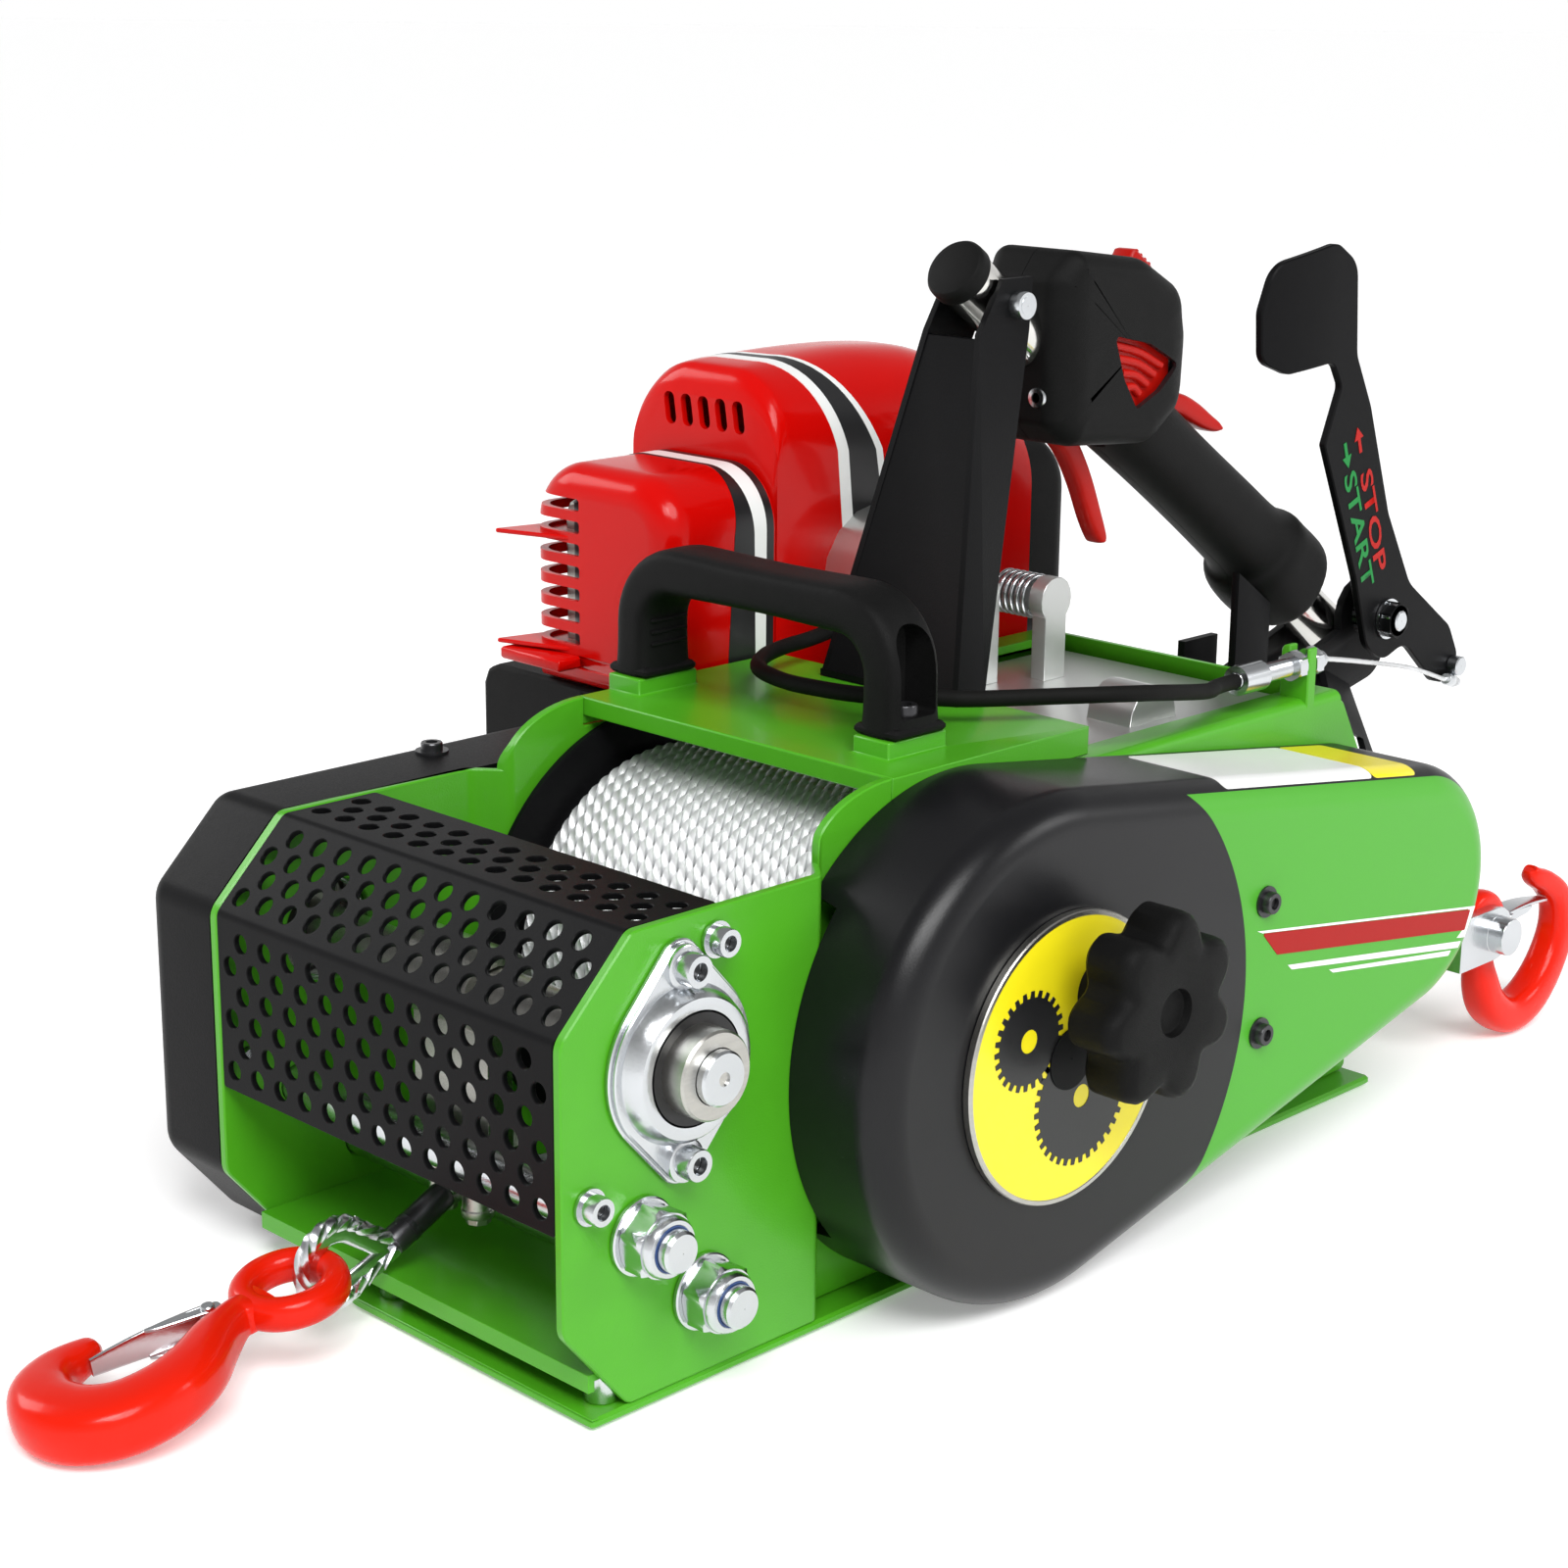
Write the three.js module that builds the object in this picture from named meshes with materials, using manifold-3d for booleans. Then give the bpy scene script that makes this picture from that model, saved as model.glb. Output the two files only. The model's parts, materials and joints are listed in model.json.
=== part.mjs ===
// Portable engine winch: a wire rope drum in a folded steel frame, driven by a small two-stroke engine.
// Millimetres, +Z up. +X runs from the rope outlet to the anchor hook, +Y from the belt cover to the engine.
// The pieces are laid out from the front corner of the base, and the last group moves the origin to
// the centre of the base's underside.

import * as THREE from 'three';
import { mergeVertices } from 'three/addons/utils/BufferGeometryUtils.js';
import Module from 'manifold-3d';

const wasm = await Module();
wasm.setup();

// Counts
const roundSides = 16;
const smallSides = 8;
const drumSides = 24;
const hexSides = 6;
const cornerSteps = 2;
const cableSides = 8;
const quarterTurn = Math.PI / 2;

// Clearances shared by all pieces
const seatGap = 0.3;
const runningGap = 0.5;
const cutOverrun = 2;
const weldDistance = 0.0005;

// Base tray and floor plate
const baseLength = 480;
const frameWidth = 204;
const baseSheet = 3;
const baseLipHeight = 5;
const baseLipWidth = 4;
const floorTop = 20;
const floorSheet = 3;
const floorFront = 5;
const floorLength = 90;
const floorLip = 7;
const spacerRadius = 6;
const spacerSetback = 9;
const spacerInset = 11;
const spacerFarOffset = 118;

// Drum and the heights that follow from it
const drumX = 197;
const drumZ = 102;
const drumFlangeRadius = 95;
const topPlateRoom = 8;
const topPlateHeight = drumZ + drumFlangeRadius + topPlateRoom;
const plateDrop = 24;
const plateTop = topPlateHeight - plateDrop;
const rearFlangeDrop = 15;
const rearFlangeTop = topPlateHeight - rearFlangeDrop;

// Side plates
const plateSheet = 4;
const joggleDepth = 13;
const joggleAt = 119;
const plateFrontTopX = 20;
const plateFrontX = -13;
const plateChamferDrop = 33;
const plateToeTop = 41;
const plateToeX = 17;
const plateRearX = 478;
const arcRiseLength = 42;
const arcRiseSteps = 4;
const rearFlangeWidth = 18;
const rearFlangeFront = 283;
const rearFlangeRear = 458;
const rearShoulderDrop = 38;
const rearShoulderHeight = rearFlangeTop - rearShoulderDrop;
const shaftBossRadius = 26;
const shaftBossHeight = 3;

// Top plate and the bosses of the carry handle
const topPlateFront = 163;
const topPlateLength = 116;
const topPlateFlange = 12;
const topPlateLip = 8;
const bossLength = 33;
const bossWidth = 19;
const bossHeight = 7;
const bossSetback = 17;
const bossInset = 18;

// Rear plate, cable tab and anchor tongue
const rearPlateSheet = 3;
const tabCentreX = 433;
const tabSheet = 6;
const tabWidth = 15;
const tabRise = 8;
const tabHeight = topPlateHeight + tabRise - rearFlangeTop;
const tongueReach = 88;
const tongueLow = 45;
const tongueHigh = 75;

// Drum shaft and the rope
const drumFlangeSheet = 4;
const drumFlangeInset = 19;
const drumWall = 8;
const ropeDiameter = 6;
const ropePitch = 6.5;
const drumInside = frameWidth - (drumFlangeInset + drumFlangeSheet) * 2;
const ropeLoops = Math.floor((drumInside - ropeDiameter) / ropePitch);
const ropeOuterRadius = 80;
const loopSteps = 14;
const ropeSides = 5;
const drumShaftRadius = 14;

// Belt cover on the near side
const coverBigRadius = 101;
const coverSmallRadius = 56;
const coverDepth = 46;
const coverEdge = 14;
const coverWall = 3;

// Chain drive in the belt cover
const driveX = 440;
const driveZ = 112;
const chainThickness = 5;
const chainWidth = 8;
const chainPlane = 16;
const chainClearance = 0.4;
const sprocketSheet = 6;
const toothDepth = 5;
const toothShares = [0, 0.35, 0.65];
const drumTeeth = 21;
const driveTeeth = 7;
const drumSprocketRadius = 75;
const driveSprocketRadius = 26;
const driveShaftRadius = 10;
const driveShaftInside = 40;

// Cover and chain on the far side
const farCoverDepth = 46;
const farCoverRear = 330;
const farCoverEdge = 12;
const feedTeeth = 12;
const drumFarTeeth = 8;
const feedSprocketRadius = 30;
const drumFarSprocketRadius = 21;
const farChainPlane = 16;

// Feed shaft and its flange bearings
const feedX = 40;
const feedZ = 129;
const feedShaftRadius = 10;
const feedShaftStub = 24;
const bearingLength = 90;
const bearingWidth = 67;
const bearingBoltSpacing = 71.5;
const bearingFlange = 4;
const bearingHumpRadius = 27;
const bearingHumpHeight = 11;
const bearingInsertRadius = 20;
const bearingInsertRise = 4;
const bearingCollarRadius = 14.5;
const bearingCollarRise = 6;
const bearingSideAngle = 0.62;
const bearingBoltHead = 8;
const bearingBoltHeight = 7;

// Cross bolts
const crossRodRadius = 8;
const upperRodX = 22.9;
const upperRodZ = 68.7;
const lowerRodX = 52.7;
const lowerRodZ = 37.9;
const rodNutRadius = 13.9;
const rodNutHeight = 14;
const rodWasherRadius = 16;
const rodWasherSheet = 3;
const rodTipLength = 5;

// Level wind carriage and its rollers
const ropeExitOffset = 16;
const ropeExitY = frameWidth / 2 + ropeExitOffset;
const rollerX = 37.8;
const rollerRadius = 6.5;
const rollerGap = 1;
const rollerTop = 58;
const rollerLength = 21;
const rollerPinRadius = 2.6;
const rollerPinHead = 5;
const rollerPinHeadHeight = 2.4;
const carriageBossRadius = 17;
const carriageBossLength = 44;
const carriageBeamHeight = 8;
const carriageBeamRear = 56;
const carriageWeb = 12;

// Rope end, ferrule and thimble
const ferruleRadius = 5.5;
const ferruleTopX = 30.4;
const ferruleTopZ = 45.7;
const ferruleLowX = 4;
const ferruleLowZ = 32.6;
const thimbleX = -22;
const thimbleZ = 33;
const thimbleRadius = 14;
const thimbleWire = 4.5;
const thimbleSteps = 14;
const thimbleTipShare = 0.98;

// Hooks
const hookLength = 134;
const hookPitch = 0.172;
const hookEyeRadius = 17;
const hookEyeWire = 5;
const hookSides = 8;
const latchSheet = 2;
const latchWidth = 13;
const anchorHookLength = 100;
const anchorPivotX = 557;
const anchorPivotZ = 60;
const anchorPlaneY = -4;
const anchorEyeRadius = 14;
const anchorEyeHalf = 5;
const anchorBoltRadius = 6;
const anchorCheek = 6;
const anchorCheekRadius = 13;
const anchorBoltHead = 9;
const anchorBoltHeight = 8;
const anchorBlock = 16;

// Perforated guard
const guardSheet = 2.5;
const guardLow = 77;
const guardRearX = 64;
const guardHole = 4.2;
const guardAlong = 23;
const guardAcross = 13;
const guardMargin = 8.9;
const rowShiftShare = 0.5;
const guardTab = 14;

// Carry handle
const handleWidth = 28;
const handleRise = 56;
const handleBar = 20;
const handleCorner = 34;
const barRoundShare = 0.5;
const handleFootInset = 63;
const handleFootSpan = frameWidth - handleFootInset;
const pocketWall = 4;
const pocketDepth = 12;
const pocketHeight = 26;

// Front stand, its top set by the front end of the handle tube
const tubeFrontZ = 377.6;
const standSheet = 3;
const standFootFront = 262;
const standFootDepth = 17;
const standFootWidth = 78;
const standBaseHeight = 3;
const standTopFront = 297;
const standTopDepth = 31;
const standEarHalf = 9.5;
const standWebDrop = 27.6;
const standWebTopHeight = tubeFrontZ - standWebDrop;
const standCheekDrop = 3.6;
const standCheekTopHeight = tubeFrontZ - standCheekDrop;
const standStraightDrop = 25.6;
const standStraightHeight = tubeFrontZ - standStraightDrop;

// Handle tube
const tubeOffset = 6;
const tubeCentreY = frameWidth / 2 + tubeOffset;
const tubeRadius = 12.5;
const tubeWall = 2;
const tubeFrontX = 298.5;
const tubeSlope = 0.601;
const tubeLength = 356;
const capLength = 15;
const capWall = 1.2;
const standBoltAlong = 26;
const standBoltRadius = 4;
const standBoltHead = 7;
const standBoltHeadHeight = 6;

// Grip housing
const gripGap = 0.3;
const gripRadius = 20;
const gripSetBack = 60;
const gripEndAlong = tubeLength - gripSetBack;
const gripLift = 5;
const boxHalfWidth = 26;
const boxEdge = 8;
const boxFrontX = 346;
const boxCrown = 6.4;
const boxTopZ = tubeFrontZ + boxCrown;
const boxTopRearX = 398;
const boxTopRearDrop = 8;
const boxTopRearZ = boxTopZ - boxTopRearDrop;
const boxSlopeX = 430;
const boxSlopeDrop = 22;
const boxSlopeZ = boxTopZ - boxSlopeDrop;
const boxNoseX = 452;
const boxNoseDrop = 36.6;
const boxNoseZ = tubeFrontZ - boxNoseDrop;
const boxHeelX = 434;
const boxHeelDrop = 71.6;
const boxHeelZ = tubeFrontZ - boxHeelDrop;
const boxLowX = 388;
const boxLowDrop = 79.6;
const boxLowZ = tubeFrontZ - boxLowDrop;
const boxFrontLowDrop = 67.6;
const boxFrontLowZ = tubeFrontZ - boxFrontLowDrop;

// Trigger, lock, stop switch and button
const triggerPivotX = 360;
const triggerPivotDrop = 68.6;
const triggerPivotZ = tubeFrontZ - triggerPivotDrop;
const triggerWidth = 10;
const triggerReach = 58;
const triggerThickness = 9;
const triggerPinRadius = 3;
const triggerSlotGap = 0.6;
const slotShare = 0.62;
const lockLength = 41;
const lockThickness = 6;
const lockCrest = 10;
const lockDrop = 4.5;
const lockWidth = 12;
const lockAlong = 155;
const switchX = 397;
const switchDrop = 45.6;
const switchZ = tubeFrontZ - switchDrop;
const switchLength = 32;
const switchHeight = 16;
const switchDepth = 5;
const switchProud = 1.2;
const switchTravel = 3;
const buttonX = 412;
const buttonRadius = 7;
const buttonProud = 6;
const buttonDepth = 7;

// Rear bracket
const bracketSheet = 4;
const bracketPostFront = 484;
const bracketPostDepth = 26;
const bracketFootHeight = 45;
const bracketHeadSetBack = 12.9;
const bracketHeadLift = 11.4;
const bracketHeadAlong = tubeLength - bracketHeadSetBack;
const bracketHeadRun = bracketHeadAlong * Math.cos(tubeSlope) + bracketHeadLift * Math.sin(tubeSlope);
const bracketHeadDrop = bracketHeadAlong * Math.sin(tubeSlope) - bracketHeadLift * Math.cos(tubeSlope);
const bracketHeadX = tubeFrontX + bracketHeadRun;
const bracketHeadZ = tubeFrontZ - bracketHeadDrop;
const bracketHeadRadius = 17;
const bracketBarDepth = 24;
const legTopWidth = 22;
const legFootWidth = 40;
const legSlotWidth = 14;
const legSlotShares = [0.45, 0.9];
const legOffset = 7;

// Clutch lever
const leverSetOut = 31;
const leverY = tubeCentreY - leverSetOut;
const leverSheet = 4;
const leverHubRadius = 19;
const leverBoltRadius = 5;
const leverBoltHead = 9;
const leverBoltHeight = 7;
const leverCamRun = 52;
const leverCamDrop = 25;
const leverCamX = bracketHeadX + leverCamRun;
const leverCamZ = bracketHeadZ - leverCamDrop;
const leverCamRadius = 14;
const leverNeckSetBack = 43;
const leverNeckRise = 123;
const leverNeckX = bracketHeadX - leverNeckSetBack;
const leverNeckZ = bracketHeadZ + leverNeckRise;
const leverNeckRadius = 11;
const leverRootRadius = 14;
const paddleWidth = 66;
const paddleHeight = 56;
const clampRun = 62;
const clampDrop = 40;
const clampX = bracketHeadX + clampRun;
const clampZ = bracketHeadZ - clampDrop;
const clampRadius = 5;
const clampLength = 12;

// Clutch cable
const barrelReach = 48.3;
const barrelFrontX = tabCentreX - barrelReach;
const barrelZ = topPlateHeight;
const barrelY = 19;
const barrelRadius = 4;
const barrelNutRadius = 7;
const barrelNutLength = 6;
const barrelRearLength = 12;
const routeReach = 171.7;
const routeFarInset = 36;
const routeRise = 14;
const sheathRadius = 3.5;
const wireRadius = 1.2;
const sheathSteps = 20;
const wireSteps = 12;

// Gearbox
const gearboxFront = 300;
const gearboxRear = 456;
const gearboxLow = 42;
const gearboxTop = 184;
const gearboxInset = 34;
const gearboxEdge = 8;
const bellX = 345;
const bellZ = 230;
const bellRadius = 34;
const bellLength = 38;
const neckWidth = 60;
const neckDepth = 26;
const lugX = 369;
const lugRadius = 16;
const lugY = 50;
const lugLength = 24;

// Tension spring and its plunger
const springX = 399;
const springZ = 221;
const springRadius = 9.3;
const springWire = 2.4;
const springPitch = 3.6;
const springCurls = 6;
const springSteps = 8;
const springSides = 5;
const plungerRadius = 7.2;
const plungerHead = 10.5;
const plungerLength = 55;
const plungerHeadLength = 8;

// Engine
const engineBaseLow = 182;
const engineBaseHigh = 186;
const engineSetIn = 10.5;
const engineWidth = 93.5;
const engineNear = frameWidth - engineSetIn;
const engineFar = engineNear + engineWidth;
const mufflerCoverFront = 217.5;
const mufflerCoverLength = 63;
const mufflerCoverTop = 287;
const coverSheet = 3;
const coverArch = 26;
const mufflerSlots = 8;
const mufflerSlotHeight = 5.5;
const mufflerSlotPitch = 10;
const mufflerSlotLow = 197;
const mufflerSlotWidth = 36;
const finReach = 13;
const finHeight = 4;
const finSlots = [0, 5];
const shroudMidFront = 281.5;
const shroudMidTop = 326.5;
const shroudRearFront = 332;
const shroudRear = 454;
const shroudTop = 330.5;
const shroudEndTop = 301;
const shroudArch = 42;
const shroudMidArchShare = 0.8;
const shroudDomeShare = 0.55;
const shroudSlots = 5;
const shroudSlotWidth = 6;
const shroudSlotPitch = 11;
const shroudSlotHeight = 12;
const blockFront = 306;
const blockRear = 436;
const blockTop = 276;
const blockInset = 11;
const mufflerInset = 12;
const mufflerDepth = 42;
const mufflerHeight = 76;
const exhaustRadius = 11;
const exhaustZ = 232;
const tankOverhang = 43;
const tankFar = engineFar + tankOverhang;
const tankLow = 118;
const tankInset = 7;
const tankEdge = 10;
const tankFront = 226;
const tankRear = 446;
const filterRear = 490;
const filterLow = 178;
const filterTop = 280;
const filterSetIn = 4.5;
const filterNear = engineNear + filterSetIn;
const filterEdge = 8;
const starterRadius = 43;
const starterDepth = 34;
const starterZ = 236;

// Selector disc and star knob
const discRadius = 57;
const discSheet = 3;
const discSpindle = 12;
const knobX = 212;
const knobZ = 126;
const knobRadius = 37.5;
const knobLobeDepth = 5;
const knobLobes = 7;
const knobLobeSteps = 4;
const knobThickness = 24;
const knobStemRadius = 12;
const knobStemLength = 13;
const knobBoltRadius = 5;
const knobPocket = 9;

// Colours and surfaces
function finish(color, roughness, metalness) {
  return new THREE.MeshStandardMaterial({ color, roughness, metalness });
}
const green = finish('#3f9a2c', 0.4, 0.2);
const black = finish('#1b1b1d', 0.5, 0.1);
const blackPlastic = finish('#202022', 0.7, 0);
const zinc = finish('#c9ccce', 0.3, 0.9);
const steel = finish('#8e9092', 0.35, 0.9);
const rope = finish('#b9bdc0', 0.4, 0.8);
const red = finish('#d3200f', 0.25, 0.1);
const yellow = finish('#f2dc12', 0.4, 0);
const cast = finish('#b4b6b4', 0.6, 0.6);

// Turns a closed three.js geometry into a solid that can be joined and cut
function solid(geometry) {
  geometry.deleteAttribute('normal');
  geometry.deleteAttribute('uv');
  const merged = mergeVertices(geometry, weldDistance);
  const place = merged.attributes.position.array;
  const source = merged.index.array;
  const kept = [];
  let volume = 0;
  const [a, b, c] = [new THREE.Vector3(), new THREE.Vector3(), new THREE.Vector3()];
  for (let i = 0; i < source.length; i += 3) {
    const [p, q, r] = [source[i], source[i + 1], source[i + 2]];
    if (p === q || q === r || r === p) continue;
    kept.push(p, q, r);
    a.fromArray(place, p * 3);
    b.fromArray(place, q * 3);
    c.fromArray(place, r * 3);
    volume += a.dot(b.cross(c));
  }
  if (volume < 0) {
    for (let i = 0; i < kept.length; i += 3) [kept[i], kept[i + 1]] = [kept[i + 1], kept[i]];
  }
  const vertProperties = new Float32Array(place);
  const triVerts = new Uint32Array(kept);
  return new wasm.Manifold(new wasm.Mesh({ numProp: 3, vertProperties, triVerts }));
}

// Turns a solid back into a three.js geometry
function surface(body) {
  const { vertProperties, triVerts } = body.getMesh();
  const geometry = new THREE.BufferGeometry();
  geometry.setAttribute('position', new THREE.BufferAttribute(vertProperties, 3));
  geometry.setIndex(new THREE.BufferAttribute(triVerts, 1));
  geometry.computeVertexNormals();
  return geometry;
}

function join(...bodies) {
  return bodies.reduce((sum, body) => sum.add(body));
}

function cut(body, ...tools) {
  return tools.reduce((left, tool) => left.subtract(tool), body);
}

const machine = new THREE.Group();

function addMesh(name, body, material, parent = machine) {
  const mesh = new THREE.Mesh(surface(body), material);
  mesh.name = name;
  parent.add(mesh);
  return mesh;
}

// Outlines are lists of [u, v] pairs, and a placer puts them in space at a depth
const alongX = (u, v, depth) => new THREE.Vector3(depth, u, v);
const alongY = (u, v, depth) => new THREE.Vector3(u, depth, v);
const alongZ = (u, v, depth) => new THREE.Vector3(u, v, depth);

function outlineShape(points) {
  return new THREE.Shape(points.map(([u, v]) => new THREE.Vector2(u, v)));
}

// A flat plate of any outline between two depths along the placer's axis
function slab(points, low, high, place) {
  const depth = Math.abs(high - low);
  const geometry = new THREE.ExtrudeGeometry(outlineShape(points), { depth, bevelEnabled: false });
  const basis = new THREE.Matrix4().makeBasis(place(1, 0, 0), place(0, 1, 0), place(0, 0, 1));
  geometry.translate(0, 0, Math.min(low, high));
  geometry.applyMatrix4(basis);
  return solid(geometry);
}

function box(x0, x1, y0, y1, z0, z1) {
  const geometry = new THREE.BoxGeometry(x1 - x0, y1 - y0, z1 - z0);
  geometry.translate((x0 + x1) / 2, (y0 + y1) / 2, (z0 + z1) / 2);
  return solid(geometry);
}

// A cylinder or cone between two points
function rod(from, to, radius, sides = smallSides, endRadius = radius) {
  const axis = to.clone().sub(from);
  const geometry = new THREE.CylinderGeometry(endRadius, radius, axis.length(), sides);
  const turn = new THREE.Quaternion().setFromUnitVectors(new THREE.Vector3(0, 1, 0), axis.normalize());
  geometry.applyQuaternion(turn);
  geometry.translate((from.x + to.x) / 2, (from.y + to.y) / 2, (from.z + to.z) / 2);
  return solid(geometry);
}

function rodY(x, z, y0, y1, radius, sides = smallSides) {
  return rod(new THREE.Vector3(x, y0, z), new THREE.Vector3(x, y1, z), radius, sides);
}

function rodZ(x, y, z0, z1, radius, sides = smallSides) {
  return rod(new THREE.Vector3(x, y, z0), new THREE.Vector3(x, y, z1), radius, sides);
}

function rodX(y, z, x0, x1, radius, sides = smallSides) {
  return rod(new THREE.Vector3(x0, y, z), new THREE.Vector3(x1, y, z), radius, sides);
}

// A solid through rings of equal point counts, closed by flat ends or joined end to end
function loft(rings, looped = false) {
  const count = rings[0].length;
  const points = rings.flat();
  const faces = [];
  const spans = looped ? rings.length : rings.length - 1;
  for (let i = 0; i < spans; i += 1) {
    const next = (i + 1) % rings.length;
    for (let j = 0; j < count; j += 1) {
      const k = (j + 1) % count;
      faces.push(i * count + j, next * count + j, next * count + k);
      faces.push(i * count + j, next * count + k, i * count + k);
    }
  }
  if (!looped) {
    const last = (rings.length - 1) * count;
    for (let j = 1; j < count - 1; j += 1) {
      faces.push(0, j, j + 1);
      faces.push(last, last + j + 1, last + j);
    }
  }
  const geometry = new THREE.BufferGeometry().setFromPoints(points);
  geometry.setIndex(faces);
  return solid(geometry);
}

function circle(u, v, radius, sides = roundSides, from = 0, sweep = Math.PI * 2) {
  const closed = sweep >= Math.PI * 2;
  const steps = closed ? sides : sides + 1;
  return Array.from({ length: steps }, (unused, i) => {
    const angle = from + (sweep * i) / sides;
    return [u + radius * Math.cos(angle), v + radius * Math.sin(angle)];
  });
}

// The outline of a belt or cover round two circles
function beltOutline(u1, v1, r1, u2, v2, r2, steps = smallSides) {
  const heading = Math.atan2(v2 - v1, u2 - u1);
  const spread = Math.acos((r1 - r2) / Math.hypot(u2 - u1, v2 - v1));
  const big = circle(u1, v1, r1, steps * 2, heading + spread, (Math.PI - spread) * 2);
  const small = circle(u2, v2, r2, steps, heading - spread, spread * 2);
  return [...big, ...small];
}

function roundedRect(u0, u1, v0, v1, radius, steps = cornerSteps) {
  const r = Math.min(radius, (u1 - u0) / 2, (v1 - v0) / 2);
  return [
    ...circle(u1 - r, v1 - r, r, steps, 0, quarterTurn),
    ...circle(u0 + r, v1 - r, r, steps, quarterTurn, quarterTurn),
    ...circle(u0 + r, v0 + r, r, steps, quarterTurn * 2, quarterTurn),
    ...circle(u1 - r, v0 + r, r, steps, quarterTurn * 3, quarterTurn),
  ];
}

// Moves each side of a convex outline inwards by the same distance
function inset(points, distance) {
  const count = points.length;
  const area = points.reduce((sum, [u, v], i) => {
    const [s, t] = points[(i + 1) % count];
    return sum + u * t - s * v;
  }, 0);
  const way = Math.sign(area) * distance;
  return points.map((point, i) => {
    const before = points[(i + count - 1) % count];
    const after = points[(i + 1) % count];
    const first = new THREE.Vector2(point[0] - before[0], point[1] - before[1]).normalize();
    const second = new THREE.Vector2(after[0] - point[0], after[1] - point[1]).normalize();
    const bend = 1 + first.dot(second);
    const u = point[0] - (way * (first.y + second.y)) / bend;
    const v = point[1] + (way * (first.x + second.x)) / bend;
    return [u, v];
  });
}

// A pressed cover: straight walls from the back, then a rounded edge up to the face
function pressed(outline, back, face, edge, place, steps = cornerSteps) {
  const way = Math.sign(face - back);
  const rings = [outline(0).map(([u, v]) => place(u, v, back))];
  for (let i = 0; i <= steps; i += 1) {
    const turn = (i / steps) * quarterTurn;
    const depth = face - way * edge * (1 - Math.sin(turn));
    rings.push(outline(edge * (1 - Math.cos(turn))).map(([u, v]) => place(u, v, depth)));
  }
  return loft(rings);
}

// A bar along a path: each ring is a section of unit size scaled by its half width and half height
function sweep(path, halfWidths, halfHeights, up, section, looped = false) {
  const count = path.length;
  const rings = path.map((point, i) => {
    const before = path[looped ? (i + count - 1) % count : Math.max(i - 1, 0)];
    const after = path[looped ? (i + 1) % count : Math.min(i + 1, count - 1)];
    const along = after.clone().sub(before).normalize();
    const side = along.clone().cross(up).normalize();
    const lift = side.clone().cross(along);
    const w = Array.isArray(halfWidths) ? halfWidths[i] : halfWidths;
    const h = Array.isArray(halfHeights) ? halfHeights[i] : halfHeights;
    return section.map(([u, v]) => point.clone().addScaledVector(side, u * w).addScaledVector(lift, v * h));
  });
  return loft(rings, looped);
}

// A closed profile of [radius, y] pairs turned round an axis that runs along Y
function turnedY(x, z, profile, sides = roundSides) {
  const points = [...profile, profile[0]].map(([r, y]) => new THREE.Vector2(r, y));
  const geometry = new THREE.LatheGeometry(points, sides);
  geometry.translate(x, 0, z);
  return solid(geometry);
}

// A toothed wheel between two y planes
function sprocket(x, z, radius, teeth, y0, y1) {
  const points = [];
  for (let i = 0; i < teeth; i += 1) {
    const step = (Math.PI * 2) / teeth;
    for (const share of toothShares) {
      const reach = share === 0 ? radius - toothDepth : radius;
      const angle = (i + share) * step;
      points.push([x + reach * Math.cos(angle), z + reach * Math.sin(angle)]);
    }
  }
  return slab(points, y0, y1, alongY);
}

// Base tray: a flat sheet with low lips that the side plates stand on
const trayRear = joggleAt + plateSheet / 2;
const trayPart = (x0, x1, inset0) => {
  const far = frameWidth - inset0;
  const sheet = box(x0, x1, inset0, far, 0, baseSheet);
  const near = box(x0, x1, inset0, inset0 + baseLipWidth, 0, baseLipHeight);
  return join(sheet, near, box(x0, x1, far - baseLipWidth, far, 0, baseLipHeight));
};
addMesh('base_tray', join(trayPart(0, trayRear, 0), trayPart(joggleAt, baseLength, joggleDepth)), green);

// Floor plate with a lip folded down at its front and two spacers under it
const floorLow = floorTop - floorSheet;
const floorNear = plateSheet + seatGap;
const floorFar = frameWidth - floorNear;
const floorSheetBody = box(floorFront, floorFront + floorLength, floorNear, floorFar, floorLow, floorTop);
const lipFront = floorFront - floorSheet;
const floorLipBody = box(lipFront, floorFront, floorNear, floorFar, floorTop - floorLip, floorTop);
const spacerX = floorFront + spacerSetback;
const spacers = [spacerInset, spacerInset + spacerFarOffset].map((y) => {
  return rodZ(spacerX, y, baseSheet + seatGap, floorLow + floorSheet / 2, spacerRadius);
});
const lipOnFloor = box(lipFront, floorFront + floorSheet, floorNear, floorFar, floorLow, floorTop);
addMesh('floor_plate', join(floorSheetBody, floorLipBody, lipOnFloor, ...spacers), green);

// Side plates: the front part stands outboard, the rear part is joggled inwards
const plateLow = baseLipHeight + seatGap;
const joggleRear = joggleAt + plateSheet / 2;
const joggleFront = joggleAt - plateSheet / 2;
const plateFrontOutline = [
  [joggleRear, plateLow],
  [joggleRear, plateTop],
  [plateFrontTopX, plateTop],
  [plateFrontX, plateTop - plateChamferDrop],
  [plateFrontX, plateToeTop],
  [plateToeX, plateLow],
];
const topPlateUnder = topPlateHeight - topPlateFlange - seatGap;
const arcRise = topPlateHeight - plateTop;
const arcPoints = Array.from({ length: arcRiseSteps + 1 }, (unused, i) => {
  const turn = (i / arcRiseSteps) * quarterTurn;
  return [joggleRear + arcRiseLength * (1 - Math.cos(turn)), plateTop + arcRise * Math.sin(turn)];
});
const arcRearX = topPlateFront - seatGap;
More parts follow.
